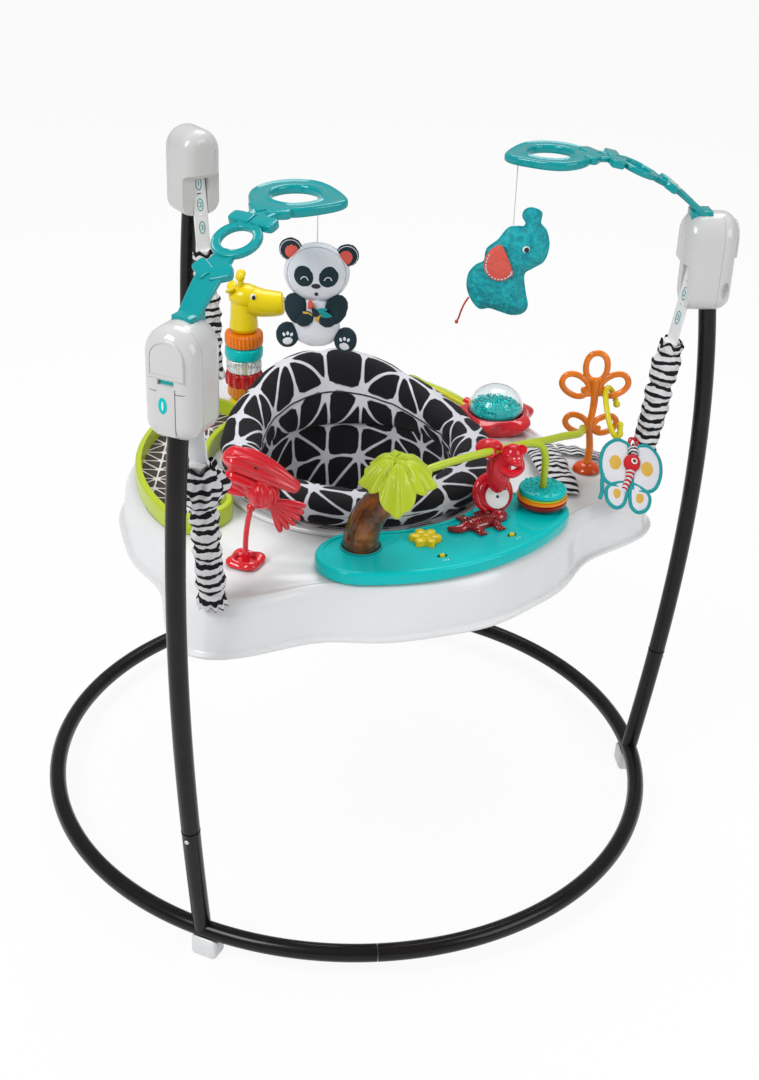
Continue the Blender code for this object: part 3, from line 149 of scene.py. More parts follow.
def studio_floor():
    """A wide plane whose far edge lies beyond the view, part shaded and part glowing."""
    bm = bmesh.new()
    bmesh.ops.create_grid(bm, x_segments=1, y_segments=1, size=30.0)
    bmesh.ops.translate(bm, vec=(0, 0, -0.0005), verts=bm.verts)
    mesh = baked("studio_floor", bm)
    material = bpy.data.materials.new("studio_floor")
    material.use_nodes = True
    tree = material.node_tree
    tree.nodes.clear()
    matt = tree.nodes.new("ShaderNodeBsdfDiffuse")
    matt.inputs["Color"].default_value = (0.90, 0.90, 0.90, 1)
    glow = tree.nodes.new("ShaderNodeEmission")
    glow.inputs["Strength"].default_value = 1.0
    path = tree.nodes.new("ShaderNodeLightPath")
    part_seen = tree.nodes.new("ShaderNodeMath")
    part_seen.operation = "MAXIMUM"
    for i, (ray, most) in enumerate(FLOOR_GLOW.items()):
        share = tree.nodes.new("ShaderNodeMath")
        share.operation = "MULTIPLY"
        share.inputs[1].default_value = most
        tree.links.new(path.outputs[ray], share.inputs[0])
        tree.links.new(share.outputs[0], part_seen.inputs[i])
    both = tree.nodes.new("ShaderNodeMixShader")
    tree.links.new(part_seen.outputs[0], both.inputs[0])
    tree.links.new(matt.outputs[0], both.inputs[1])
    tree.links.new(glow.outputs[0], both.inputs[2])
    out = tree.nodes.new("ShaderNodeOutputMaterial")
    tree.links.new(both.outputs[0], out.inputs["Surface"])
    mesh.materials.append(material)
    plane = linked("studio_floor", mesh)


studio_floor()

# %% [markdown]
# Shader arithmetic
#
# A finish is a small sum: some noise, a few thresholds, a colour mixed by the result. Written
# with node calls that sum is hard to read, so one class wraps a socket and lets Python's own
# operators add the Math nodes. Every other node comes from `Finish.node`.

# %% The socket class and the finish class


class Wire:
    """An output socket that can be added to, subtracted, multiplied and compared."""

    def __init__(self, finish, socket):
        self.finish, self.socket = finish, socket

    def maths(self, operation, *values):
        return self.finish.node(
            "ShaderNodeMath", {"operation": operation}, dict(enumerate((self, *values)))
        )

    def __add__(self, other):
        return self.maths("ADD", other)

    def __sub__(self, other):
        return self.maths("SUBTRACT", other)

    def __rsub__(self, other):
        return self.finish.node("ShaderNodeMath", {"operation": "SUBTRACT"}, {0: other, 1: self})

    def __mul__(self, other):
        return self.maths("MULTIPLY", other)

    def __lt__(self, other):
        return self.maths("LESS_THAN", other)

    def __gt__(self, other):
        return self.maths("GREATER_THAN", other)

    def step(self, low, high):
        """0 below low and 1 above high, with a smooth slope between; low may be the larger."""
        return self.finish.node(
            "ShaderNodeMapRange", {"interpolation_type": "SMOOTHSTEP"},
            {"Value": self, "From Min": low, "From Max": high}
        )


class Finish:
    """A Principled material in the making. Constants go on the shader's own sockets."""

    made = {}

    def __init__(self, name, slot, **constants):
        self.material = bpy.data.materials.new(name)
        self.material.use_nodes = True
        self.tree = self.material.node_tree
        self.shader = self.tree.nodes["Principled BSDF"]
        self.slot = slot
        for label, value in constants.items():
            self.shader.inputs[label.replace("_", " ")].default_value = value
        Finish.made[name] = self

    def node(self, kind, settings=None, inputs=None, out=0):
        new = self.tree.nodes.new(kind)
        for key, value in (settings or {}).items():
            setattr(new, key, value)
        for key, value in (inputs or {}).items():
            if isinstance(value, Wire):
                self.tree.links.new(value.socket, new.inputs[key])
            else:
                new.inputs[key].default_value = value
        return Wire(self, new.outputs[out])

    def where(self, kind="Object"):
        return self.node("ShaderNodeTexCoord", out=kind)

    def axes(self, place):
        split = self.node("ShaderNodeSeparateXYZ", inputs={0: place}).socket.node
        return [Wire(self, socket) for socket in split.outputs]

    def noise(self, place, scale, detail=2.0, rough=0.5, distortion=0.0):
        return self.node(
            "ShaderNodeTexNoise",
            inputs={
                "Vector": place, "Scale": scale, "Detail": detail, "Roughness": rough,
                "Distortion": distortion
            }
        )

    def mix(self, factor, first, second):
        return self.node(
            "ShaderNodeMix", {"data_type": "RGBA"}, {0: factor, 6: first, 7: second}, out=2
        )

    def set(self, **links):
        for label, wire in links.items():
            self.tree.links.new(wire.socket, self.shader.inputs[label.replace("_", " ")])
        return self

    def bump(self, height, distance=0.001, strength=0.5):
        normal = self.node(
            "ShaderNodeBump", inputs={"Height": height, "Distance": distance, "Strength": strength}
        )
        return self.set(Normal=normal)


def shade(colour, amount):
    """The colour made lighter or darker by a share, with an alpha of 1."""
    return (*[min(1.0, max(0.0, channel * amount)) for channel in colour[:3]], 1.0)


# %% [markdown]
# Moulded plastic
#
# Most of the toy is injection moulded. Such a surface is never one flat colour: the pigment
# clouds a little, the polish of the mould changes from place to place, and a fine orange-peel
# ripple breaks the highlights. One recipe makes every opaque plastic from its colour.

# %% Opaque plastics


def moulded(name, slot, colour, roughness=0.24, coat=0.35, ripple=0.10, shine=0.30):
    finish = Finish(name, slot, Coat_Roughness=0.06, IOR=1.5, Specular_IOR_Level=shine)
    place = finish.where()
    cloud = finish.noise(place, 11.0, 4.0)
    polish = finish.noise(place, 46.0, 3.0)
    finish.set(Base_Color=finish.mix(cloud, shade(colour, 0.94), shade(colour, 1.05)))
    finish.set(
        Roughness=polish * 0.14 + (roughness - 0.07), Coat_Weight=polish * 0.2 + (coat - 0.15)
    )
    return finish.bump(finish.noise(place, 420.0, 1.0) + cloud * 2.0, 0.0004, ripple)


moulded("white_shell", "white_plastic", (0.755, 0.765, 0.775), 0.25, 0.30)
# The towers' white is the tray's white plastic painted darker, as shade, because the towers stand nearer the
# lamps.
moulded("tower_white_shaded", "white_plastic", (0.575, 0.580, 0.575), 0.18, 0.40)
moulded("strap_white", "strap_plastic", (0.78, 0.79, 0.80), 0.42, 0.15)
moulded("teal_shell", "teal_plastic", (0.001, 0.500, 0.500), 0.15, 0.14, 0.10, 0.16)
# The arches' teal is darker than the panel's: partly the arches' own deeper teal, partly painted shade
# against the key lamp, which lights them strongly.
moulded("arch_teal", "teal_plastic", (0.001, 0.290, 0.310), 0.12, 0.45, 0.14, 0.20)
moulded("lime_shell", "lime_plastic", (0.450, 0.560, 0.020), 0.30, 0.26)
moulded("chartreuse_shell", "lime_plastic", (0.660, 0.600, 0.012), 0.26, 0.28)
moulded("red_shell", "red_plastic", (0.680, 0.012, 0.024), 0.10, 0.75)
moulded("yellow_shell", "yellow_plastic", (0.800, 0.620, 0.004), 0.24, 0.30)
moulded("orange_shell", "amber_plastic", (0.860, 0.230, 0.006), 0.20, 0.34)
moulded("dark_red_shell", "red_plastic", (0.260, 0.006, 0.010), 0.22, 0.30)
moulded("coral_shell", "plush_grey", (0.780, 0.130, 0.085), 0.60, 0.0)
moulded("ink_black", "plush_grey", (0.018, 0.020, 0.026), 0.45, 0.10)
moulded("ink_white", "white_plastic", (0.80, 0.80, 0.80), 0.45, 0.10)
moulded("mark_teal", "strap_plastic", (0.010, 0.300, 0.300), 0.45, 0.10)
print("opaque plastics:", len(Finish.made))

# %% [markdown]
# Clear and tinted plastic
#
# The trunk, the tree, the lizard, the monkey and the dome let light through. They are still
# glossy mouldings, so they keep a sharp highlight. A tinted body with part transmission shows
# the dark inside. Its edges are painted: seen from the camera, the colour turns lighter towards
# the rim as a painted highlight, and on the brown trunk and the lizard darker, as painted shade.

# %% Tinted plastics


def tinted(name, slot, colour, through, roughness=0.07, deep=0.6, coat=0.25, rim=1.35):
    finish = Finish(
        name, slot, Transmission_Weight=through, IOR=1.46, Coat_Weight=coat, Coat_Roughness=0.03,
        Specular_IOR_Level=0.40
    )
    place = finish.where()
    cloud = finish.noise(place, 38.0, 3.0).step(0.35, 0.70)
    # Painted edge light: at grazing angles the colour turns towards shade(colour, rim), a painted highlight
    # where rim is above 1 and painted shade where it is below.
    painted_edge_light = finish.node("ShaderNodeLayerWeight", inputs={"Blend": 0.42}, out="Facing")
    body = finish.mix(cloud, shade(colour, deep), shade(colour, 1.1))
    finish.set(Base_Color=finish.mix(painted_edge_light, body, shade(colour, rim)))
    finish.set(Roughness=finish.noise(place, 60.0, 2.0) * 0.10 + (roughness - 0.03))
    return finish.bump(finish.noise(place, 130.0, 2.0), 0.0006, 0.22)


# The last figure is rim: the brown trunk's edges are painted darker, as shade.
tinted("brown_clear", "brown_lens", (0.540, 0.150, 0.010), 0.50, 0.03, 0.22, 0.40, 0.18)
tinted("red_clear", "red_lens", (0.700, 0.010, 0.024), 0.12, 0.08, 0.80)
tinted("lizard_clear", "red_lens", (0.440, 0.004, 0.010), 0.20, 0.05, 0.40, 0.9, 0.8)
tinted("orange_clear", "orange_lens", (0.880, 0.210, 0.006), 0.14, 0.10, 0.80)
tinted("orange_deep", "orange_lens", (0.760, 0.085, 0.006), 0.20, 0.08, 0.70)
tinted("smoke_clear", "clear_plastic", (0.86, 0.90, 0.90), 0.75, 0.05, 0.95)
tinted("amber_clear", "amber_plastic", (0.880, 0.300, 0.020), 0.40, 0.08, 0.75)
tinted("teal_clear", "teal_plastic", (0.004, 0.520, 0.540), 0.20, 0.08, 0.85)
tinted("ruby_clear", "red_plastic", (0.660, 0.016, 0.016), 0.30, 0.08, 0.60)
dome = Finish(
    "dome_clear", "clear_plastic", Transmission_Weight=1.0, IOR=1.18, Roughness=0.02,
    Coat_Weight=0.5, Coat_Roughness=0.02
)
dome.shader.inputs["Base Color"].default_value = (0.96, 0.99, 0.99, 1)
dome.bump(dome.noise(dome.where(), 30.0, 1.0), 0.0004, 0.06)
print("with tinted ones:", len(Finish.made))

# %% [markdown]
# Powder-coated tube and spring wire
#
# The tubes are steel under a glossy black powder coat, which cures with a slight leather
# grain. The grain is far finer than the tube, so it only softens the long highlights.

# %% Metals
tube_finish = Finish(
    "black_coat", "black_steel", Coat_Roughness=0.10, IOR=1.5, Specular_IOR_Level=0.16
)
spot = tube_finish.where()
grain = tube_finish.noise(spot, 900.0, 2.0)
wear = tube_finish.noise(spot, 18.0, 4.0)
COAT_DARK, COAT_PALE = (0.0045, 0.0035, 0.0035, 1), (0.0090, 0.0072, 0.0070, 1)
tube_finish.set(Base_Color=tube_finish.mix(wear, COAT_DARK, COAT_PALE))
tube_finish.set(Roughness=wear * 0.12 + 0.20, Coat_Weight=wear * 0.16 + 0.14)
tube_finish.bump(grain, 0.0002, 0.18)
wire_finish = Finish("bright_wire", "spring_steel", Metallic=1.0, Roughness=0.25)
WIRE_DARK, WIRE_PALE = (0.45, 0.46, 0.48, 1), (0.62, 0.63, 0.65, 1)
tarnish = wire_finish.noise(wire_finish.where(), 60.0)
wire_finish.set(Base_Color=wire_finish.mix(tarnish, WIRE_DARK, WIRE_PALE))
button_finish = Finish("button_grey", "button_plastic", Metallic=0.6)
BUTTON_DARK, BUTTON_PALE = (0.55, 0.56, 0.58, 1), (0.70, 0.71, 0.72, 1)
mottle = button_finish.noise(button_finish.where(), 80.0)
button_finish.set(
    Base_Color=button_finish.mix(mottle, BUTTON_DARK, BUTTON_PALE),
    Roughness=button_finish.noise(button_finish.where(), 30.0) * 0.2 + 0.2,
)

# %% [markdown]
# Woven and printed cloth
#
# All the cloth has one weave: two sets of threads that pass over and under each other. The
# product of two sine waves on the cloth's own map gives that checker of small hills, and soft
# noise below it gives the fuzz. The prints differ, and each is a sum on the same map.

# %% The weave


def weave(finish, place, threads, across=1.0):
    """Small over-and-under hills on a UV map, given the threads along each side of the map."""
    u, v, _ = finish.axes(place)
    warp = (u * (threads * across * math.tau)).maths("SINE")
    weft = (v * (threads * math.tau)).maths("SINE")
    return warp * weft * 0.5 + 0.5


def cloth_print(
    name, slot, first, second, mask_of, threads, across=1.0, roughness=0.86, fuzz=0.35, kind="UV"
):
    """Cloth whose print is mask_of(finish, place): 0 shows the first colour and 1 the second."""
    finish = Finish(name, slot, Sheen_Weight=0.06, Sheen_Roughness=0.5, Specular_IOR_Level=0.12)
    place = finish.where(kind)
    mask = mask_of(finish, place)
    hills = weave(finish, place, threads, across)
    soil = finish.noise(finish.where(), 26.0, 4.0)
    plain = finish.mix(mask, (*first, 1.0), (*second, 1.0))
    # The base colour is drawn towards near black where the weave dips between threads, as painted shade, and
    # where the soil noise is high, as dirt.
    finish.set(
        Base_Color=finish.mix((1.0 - hills) * 0.22 + soil * 0.10, plain, (0.03, 0.03, 0.035, 1))
    )
    finish.set(Roughness=hills * -0.1 + roughness)
    return finish.bump(hills * fuzz + soil * 1.6, 0.0007, 0.55)


# %% [markdown]
# Zebra print
#
# The sleeves and the hem wear wavy black bands on white. A sine along the cloth makes the
# bands; slow noise bends them and a second noise thins them, so that some taper to a point
# and others fork, as a printed zebra skin does.

# %% Zebra cloth


def zebra_mask(bands, wander=0.55, sway=2.4):
    """The mask of a zebra print with so many bands along the cloth's map."""

    def mask_of(finish, place):
        _, v, _ = finish.axes(place)
        stretched = finish.node(
            "ShaderNodeMapping", {"vector_type": "POINT"},
            {"Vector": place, "Scale": (sway, bands * 0.42, 1.0)}
        )
        bend = finish.noise(stretched, 1.6, 1.5)
        thin = finish.noise(stretched, 3.1, 1.0)
        wave = ((v * bands + bend * wander * 2.0) * math.tau).maths("SINE")
        return (wave + thin * 1.7 - 0.52).step(0.08, 0.26)

    return mask_of


BLACK_INK, WHITE_CLOTH = (0.006, 0.006, 0.008), (0.80, 0.80, 0.82)
cloth_print("zebra_sleeve", "zebra_fabric", BLACK_INK, WHITE_CLOTH, zebra_mask(16.0), 150.0, 0.7)
cloth_print(
    "zebra_hem", "zebra_fabric", BLACK_INK, WHITE_CLOTH, zebra_mask(13.0, 0.30, 1.2), 120.0, 0.4
)

# %% [markdown]
# Web print of the seat
#
# The seat's black cloth carries pale lines that meet in fat stars. Lines through the whole
# numbers of a warped grid give the uprights and the hoops. Each cell then draws one of its two
# diagonals, picked by a random value, and every line swells where it reaches a corner.

# %% Web cloth
HALF_ROOT, FAR_OFF = 0.7071, 9.0


def web_mask(columns, rows, line=0.036, swell=0.090, bend=0.07, drawn=0.72):
    """The mask of a web print with so many cells along each side of the cloth's map."""

    def mask_of(finish, place):
        grid = finish.node(
            "ShaderNodeMapping", {"vector_type": "POINT"},
            {"Vector": place, "Scale": (columns, rows, 1.0)}
        )
        u, v, _ = finish.axes(grid)
        spot = finish.where()
        u = u + (finish.noise(spot, 9.0, 1.0) - 0.5) * (bend * 4.0)
        v = v + (finish.noise(spot, 8.0, 1.0) - 0.5) * (bend * 4.0)

        def off(value, share=1.0):
            return (value - value.maths("ROUND")).maths("ABSOLUTE") * share

        upright, hoop = off(u), off(v)
        rising, falling = off(u - v, HALF_ROOT), off(u + v, HALF_ROOT)
        cell = finish.node(
            "ShaderNodeCombineXYZ", inputs={0: u.maths("FLOOR"), 1: v.maths("FLOOR"), 2: 0.0}
        )
        pick = finish.node("ShaderNodeTexWhiteNoise", {"noise_dimensions": "3D"}, {"Vector": cell})
        slanted = rising + (pick > drawn * 0.5) * FAR_OFF
        other = falling + (pick < drawn * 0.5) * FAR_OFF + (pick > drawn) * FAR_OFF
        nearest = upright.maths("MINIMUM", hoop).maths("MINIMUM", slanted).maths("MINIMUM", other)
        corner = (upright * upright + hoop * hoop).maths("SQRT")
        width = corner.step(0.30, 0.0) * swell + line + (finish.noise(spot, 60.0, 1.0) - 0.5) * 0.03
        return (nearest - width).step(0.012, -0.012)

    return mask_of


FINE_THREADS = 900.0
SEAT_BLACK, SEAT_LILAC = (0.0075, 0.0062, 0.0080), (0.78, 0.78, 0.84)
cloth_print("web_pad", "seat_fabric", SEAT_BLACK, SEAT_LILAC, web_mask(18.0, 4.0), 620.0, 1.5, 0.82)
cloth_print(
    "web_bucket", "seat_fabric", SEAT_BLACK, SEAT_LILAC, web_mask(18.0, 9.0), 420.0, 2.4, 0.82
)
cloth_print(
    "web_lining", "seat_fabric", SEAT_BLACK, SEAT_LILAC, web_mask(18.0, 3.0), 420.0, 2.4, 0.82
)
cloth_print(
    "web_pod", "seat_fabric", (0.06, 0.045, 0.04), (0.78, 0.76, 0.72),
    web_mask(20.0, 20.0, 0.040, 0.05, 0.10, 1.0), 180.0, 1.5, 0.7
)


def plain_cloth(name, slot, shaded, lit, grain=60.0):
    """One-colour cloth, read from the object's own coordinates."""

    def mask_of(finish, place):
        return finish.noise(place, grain, 4.0)

    cloth_print(name, slot, shaded, lit, mask_of, FINE_THREADS, roughness=0.88, kind="Object")


plain_cloth("wing_cloth", "wing_fabric", (0.74, 0.74, 0.80), (0.80, 0.80, 0.84))
plain_cloth("mustard_cloth", "wing_fabric", (0.70, 0.42, 0.05), (0.78, 0.50, 0.10))
plain_cloth("panda_white", "plush_grey", (0.74, 0.78, 0.84), (0.86, 0.88, 0.92))
plain_cloth("panda_dark", "plush_grey", (0.008, 0.022, 0.030), (0.018, 0.046, 0.056))
plain_cloth("coral_cloth", "plush_grey", (0.72, 0.085, 0.070), (0.86, 0.160, 0.120))
plain_cloth("ribbon_teal", "wing_fabric", (0.010, 0.260, 0.290), (0.020, 0.400, 0.420))
plain_cloth("ribbon_red", "wing_fabric", (0.56, 0.012, 0.020), (0.70, 0.025, 0.030))
plain_cloth("thread_white", "cord_thread", (0.66, 0.66, 0.66), (0.80, 0.80, 0.80), 400.0)
plain_cloth("thread_grey", "cord_thread", (0.30, 0.34, 0.40), (0.42, 0.46, 0.52), 400.0)
plain_cloth("thread_coral", "cord_coral", (0.50, 0.050, 0.035), (0.72, 0.120, 0.080), 300.0)


def body_stripes(finish, place):
    _, y, z = finish.axes(place)
    bend = finish.noise(place, 90.0, 1.0)
    return ((y * 150.0 + z * 60.0 + bend * 1.6) * math.tau).maths("SINE").step(-0.15, 0.15)


cloth_print(
    "zebra_plush", "wing_fabric", (0.03, 0.03, 0.04), (0.78, 0.78, 0.80), body_stripes,
    FINE_THREADS, kind="Object"
)

# %% [markdown]
# Crinkle cloth
#
# The elephant is sewn from stiff film-backed cloth that keeps sharp creases. A noise with
# strong distortion folds the surface; its low side, in the hollows of the folds, is also
# painted a darker teal, as shade.

# %% Crinkled elephant cloth
crinkle = Finish(
    "crinkle_teal", "plush_teal", Sheen_Weight=0.1, Coat_Weight=0.10, Coat_Roughness=0.3,
    Specular_IOR_Level=0.2
)
spot = crinkle.where()
folds = crinkle.noise(spot, 70.0, 3.0, 0.55, 1.6)
specks = crinkle.noise(spot, 520.0, 1.0)
# The low side of the fold noise, in the hollows of the folds, is painted a darker teal as shade.
crinkle.set(
    Base_Color=crinkle
    .mix(folds.step(0.30, 0.72), (0.003, 0.250, 0.300, 1), (0.010, 0.420, 0.460, 1))
)
crinkle.set(Roughness=specks * 0.2 + 0.45)
crinkle.bump(folds * 2.0 + specks * 0.25, 0.0013, 0.42)
print("finishes:", len(Finish.made))

# %% [markdown]
# Shapes from Blender's own operators
#
# Four makers cover most of the toy. A lathe spins a profile, a slab extrudes an outline and
# rounds its rim, a pipe bevels a curve, and a skin lays a grid over a formula and keeps the
# grid as its UV map. `piece` finishes each: it moves the mesh into place, smooths it, gives
# it a finish, and ties it to the body it moves with.

# %% Makers
SAME_POINT = 1e-6
SIDES = ((-1, "left"), (1, "right"))


def moved(bm, *steps):
    for step in steps:
        bmesh.ops.transform(bm, matrix=step, verts=bm.verts)
    return bm


def shift(x, y, z):
    return Matrix.Translation((x, y, z))


def turn(degrees, axis):
    return Matrix.Rotation(math.radians(degrees), 4, axis)


def aimed(direction):
    """The turn that takes Z to a direction."""
    return direction.to_track_quat("Z", "Y").to_matrix().to_4x4()


def from_mesh(mesh):
    bm = bmesh.new()
    bm.from_mesh(mesh)
    bpy.data.meshes.remove(mesh)
    return bm


def as_drawn(thing):
    """The mesh that an object's curve or modifiers make."""
    bpy.context.view_layer.update()
    drawn = thing.evaluated_get(bpy.context.evaluated_depsgraph_get())
    return bpy.data.meshes.new_from_object(drawn)


def from_curve(curve):
    """A curve's surface as a bmesh; the curve is removed."""
    holder = linked("holder", curve)
    mesh = as_drawn(holder)
    bpy.data.objects.remove(holder)
    bpy.data.curves.remove(curve)
    return from_mesh(mesh)


def merged(bm):
    """The same bmesh with points that coincide made one."""
    bmesh.ops.remove_doubles(bm, verts=bm.verts, dist=SAME_POINT)
    return bm


def faced_out(bm):
    """The same bmesh with its faces turned outwards."""
    bmesh.ops.recalc_face_normals(bm, faces=bm.faces)
    return bm


def capped(bm):
    """A tube of faces, closed at its open ends."""
    bmesh.ops.holes_fill(bm, edges=[e for e in bm.edges if e.is_boundary], sides=0)
    return faced_out(bm)


def thickened(bm, thickness):
    """A sheet of faces, made into a thin solid."""
    bmesh.ops.solidify(bm, geom=bm.faces[:], thickness=thickness)
    return faced_out(bm)


def bevelled(bm, edges, radius, segments):
    """The same bmesh with some edges rounded."""
    bmesh.ops.bevel(
        bm, geom=edges, offset=radius, segments=segments, profile=0.5, affect="EDGES", material=-1
    )
    return bm


def together(*shapes):
    """Several bmeshes in one; they may pass through each other."""
    whole = bmesh.new()
    for bm in shapes:
        mesh = baked("shape", bm)
        whole.from_mesh(mesh)
        bpy.data.meshes.remove(mesh)
    return whole


def lathe(profile, steps=48, closed=False):
    """A profile of (radius, height) spun about Z; a closed profile makes a ring."""
    bm = bmesh.new()
    line = [bm.verts.new((radius, 0.0, height)) for radius, height in profile]
    edges = [bm.edges.new(pair) for pair in zip(line, line[1:])]
    if closed:
        edges.append(bm.edges.new((line[-1], line[0])))
    geom = line + edges
    bmesh.ops.spin(bm, geom=geom, axis=(0, 0, 1), angle=math.tau, steps=steps, use_merge=True)
    return faced_out(merged(bm))


def slab(outline, low, high, rim=0.0, segments=4, under=0.0):
    """An outline of (x, y) raised from low to high; its upper and lower rims can be rounded."""
    bm = bmesh.new()
    face = bm.faces.new([bm.verts.new((x, y, low)) for x, y in outline])
    raised = bmesh.ops.extrude_face_region(bm, geom=[face])["geom"]
    lifted = [v for v in raised if isinstance(v, bmesh.types.BMVert)]
    bmesh.ops.translate(bm, vec=(0, 0, high - low), verts=lifted)
    for level, radius in ((high, rim), (low, under)):
        if radius:
            edges = [e for e in bm.edges if all(abs(v.co.z - level) < 1e-7 for v in e.verts)]
            bevelled(bm, edges, radius, segments)
    return faced_out(bm)


def block(size, centre, bevel=0.0, segments=3):
    bm = bmesh.new()
    placed = Matrix.Translation(centre) @ Matrix.Diagonal((*size, 1.0))
    bmesh.ops.create_cube(bm, size=1.0, matrix=placed)
    return bevelled(bm, bm.edges[:], bevel, segments) if bevel else bm


def blob(radii, centre, turned_by=None, segments=32, rings=20):
    """A smooth stretched ball."""
    bm = bmesh.new()
    bmesh.ops.create_uvsphere(bm, u_segments=segments, v_segments=rings, radius=1.0)
    bmesh.ops.scale(bm, vec=radii, verts=bm.verts)
    return moved(bm, turned_by or Matrix.Identity(4), shift(*centre))


def eased(a, b, c, d, t):
    """The point a share t of the way from b to c on the smooth curve through four knots."""
    bend, twist = 2 * a - 5 * b + 4 * c - d, 3 * b - a - 3 * c + d
    return 0.5 * (2 * b + (c - a) * t + bend * t**2 + twist * t**3)


def smooth_line(points, per_span=8):
    """Points along a smooth curve through a few given ones."""
    knots = [Vector(p) for p in points]
    knots = [2 * knots[0] - knots[1], *knots, 2 * knots[-1] - knots[-2]]
    spans = zip(knots, knots[1:], knots[2:], knots[3:])
    return [eased(*span, i / per_span) for span in spans for i in range(per_span)] + [knots[-2]]


def smooth_profile(points, per_span):
    """A smooth curve through points of (across, up), kept as x and y."""
    return smooth_line([(across, up, 0) for across, up in points], per_span)


def picked(line, share):
    """The point of a line that is nearest to a share of its count."""
    return line[round(share * (len(line) - 1))]


def tapered(line, first, drop):
    """Radius shares that fall evenly along a line."""
    return [first - drop * i / (len(line) - 1) for i in range(len(line))]


def swelling(line, ends, more):
    """Radius shares that grow, or with a negative figure shrink, towards a line's middle."""
    return [ends + more * math.sin(math.pi * i / (len(line) - 1)) for i in range(len(line))]


def whole_turn(count):
    """Angles all the way round, evenly spaced."""
    return [math.tau * i / count for i in range(count)]


def pipe(points, radius, radii=None, closed=False, fineness=5):
    """A round bar along the points, by way of a bevelled curve."""
    curve = bpy.data.curves.new("pipe", "CURVE")
    curve.dimensions = "3D"
    curve.bevel_depth = radius
    curve.bevel_resolution = fineness
    curve.use_fill_caps = True
    spline = curve.splines.new("POLY")
    spline.points.add(len(points) - 1)
    spline.use_cyclic_u = closed
    for i, point in enumerate(points):
        spline.points[i].co = (*point, 1.0)
        spline.points[i].radius = radii[i] if radii else 1.0
    return faced_out(merged(from_curve(curve)))


def skin(columns, rows, place):
    """A grid laid over place(u, v), each from 0 to 1; edges that meet are sewn together."""
    bm = bmesh.new()
    uv = bm.loops.layers.uv.new("UVMap")
    bmesh.ops.create_grid(bm, x_segments=columns, y_segments=rows, size=0.5)
    for face in bm.faces:
        for loop in face.loops:
            loop[uv].uv = (loop.vert.co.x + 0.5, loop.vert.co.y + 0.5)
    for v in bm.verts:
        v.co = place(v.co.x + 0.5, v.co.y + 0.5)
    return merged(bm)


def discard(thing):
    """Removes an object with its mesh."""
    mesh = thing.data
    bpy.data.objects.remove(thing)
    bpy.data.meshes.remove(mesh)


def carved(base, joins=(), cuts=()):
    """The base with some shapes joined on and others cut away, by exact Booleans."""
    made = [linked("tool", baked("tool", bm)) for bm in (base, *joins, *cuts)]
    for i, tool in enumerate(made[1:]):
        boolean = made[0].modifiers.new("cut", "BOOLEAN")
        boolean.operation = "UNION" if i < len(joins) else "DIFFERENCE"
        boolean.solver = "EXACT"
        boolean.object = tool
    mesh = as_drawn(made[0])
    for tool in made:
        discard(tool)
    return from_mesh(mesh)


def piece(name, bm, finish, body, stands_for=(), azimuth=0.0, sharp=40.0):
    """One finished piece: placed, smoothed, given its finish and tied to its body, if any."""
    moved(bm, turn(azimuth, "Z"), Matrix.Translation(RING_CENTRE))
    mesh = baked(name, bm)
    mesh.materials.clear()
    mesh.materials.append(Finish.made[finish].material)
    mesh.polygons.foreach_set("material_index", [0] * len(mesh.polygons))
    mesh.shade_smooth()
    mesh.set_sharp_from_angle(angle=math.radians(sharp))
    made = linked(name, mesh)
    if body:
        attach(made, body)
    if stands_for:
        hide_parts(*([stands_for] if isinstance(stands_for, str) else stands_for))
    return made


def polar(azimuth, radius, height=0.0):
    angle = math.radians(azimuth)
    return Vector((radius * math.cos(angle), radius * math.sin(angle), height))


def power(value, exponent):
    """A signed power, for squarer or rounder ovals."""
    return math.copysign(abs(value) ** exponent, value)


# %% [markdown]
# Cords first
#
# Each of the two plush toys hangs on one thin white thread under its arch. The threads are
# short and taut, so each is a straight tube. Its anchor knot in the arch is made further down.

# %% The two threads
PANDA_AT, PANDA_TOP, PANDA_HEIGHT = Vector((-0.0479, -0.1660, 0.0)), 0.8875, 0.7974
ELEPHANT_AT, ELEPHANT_TOP, ELEPHANT_KNOT = Vector((0.1760, 0.0190, 0.0)), 0.8775, 0.7995


def thread(name, at, low, high, body, stands_for):
    """A straight cord that runs down from its anchor to the toy."""
    points = [Vector((at.x, at.y, low + (high - low) * i / 24)) for i in range(24, -1, -1)]
    made = piece(name, pipe(points, 0.0006, fineness=3), "thread_white", body, stands_for)
    high - low


thread("panda_thread", PANDA_AT, PANDA_HEIGHT + 0.0336, PANDA_TOP, "hanging_panda", "panda_cord")
thread(
    "elephant_thread", ELEPHANT_AT, ELEPHANT_KNOT - 0.001, ELEPHANT_TOP, "hanging_elephant",
    "elephant_cord"
)

# %% [markdown]
# Floor ring and legs
#
# Three bent tubes plug into one ring, each with an upright stub, and a curved leg stands on
# each stub. The seams between tubes stay open by a fraction of a millimetre, as on the real
# frame, and a small sprung button locks each leg.

# %% Tubes
RING_RADIUS, TUBE_RADIUS, RING_HEIGHT = 0.400, 0.011, 0.035
LEG_BOW = (0.14351, -0.05328, -0.15609)
STUB_TOP, LEG_FOOT, LEG_TOP, BUTTON_HEIGHT = 0.1992, 0.2003, 0.740, 0.187


def leg_point(height):
    """The middle of the bowed leg at a height."""
    rise = height - RING_HEIGHT
    return Vector(
        (RING_RADIUS + sum(k * rise ** (i + 1) for i, k in enumerate(LEG_BOW)), 0.0, height)
    )


def leg_run(low, high, steps, radius=TUBE_RADIUS):
    return pipe(
        [leg_point(low + (high - low) * i / steps) for i in range(steps + 1)], radius, fineness=8
    )


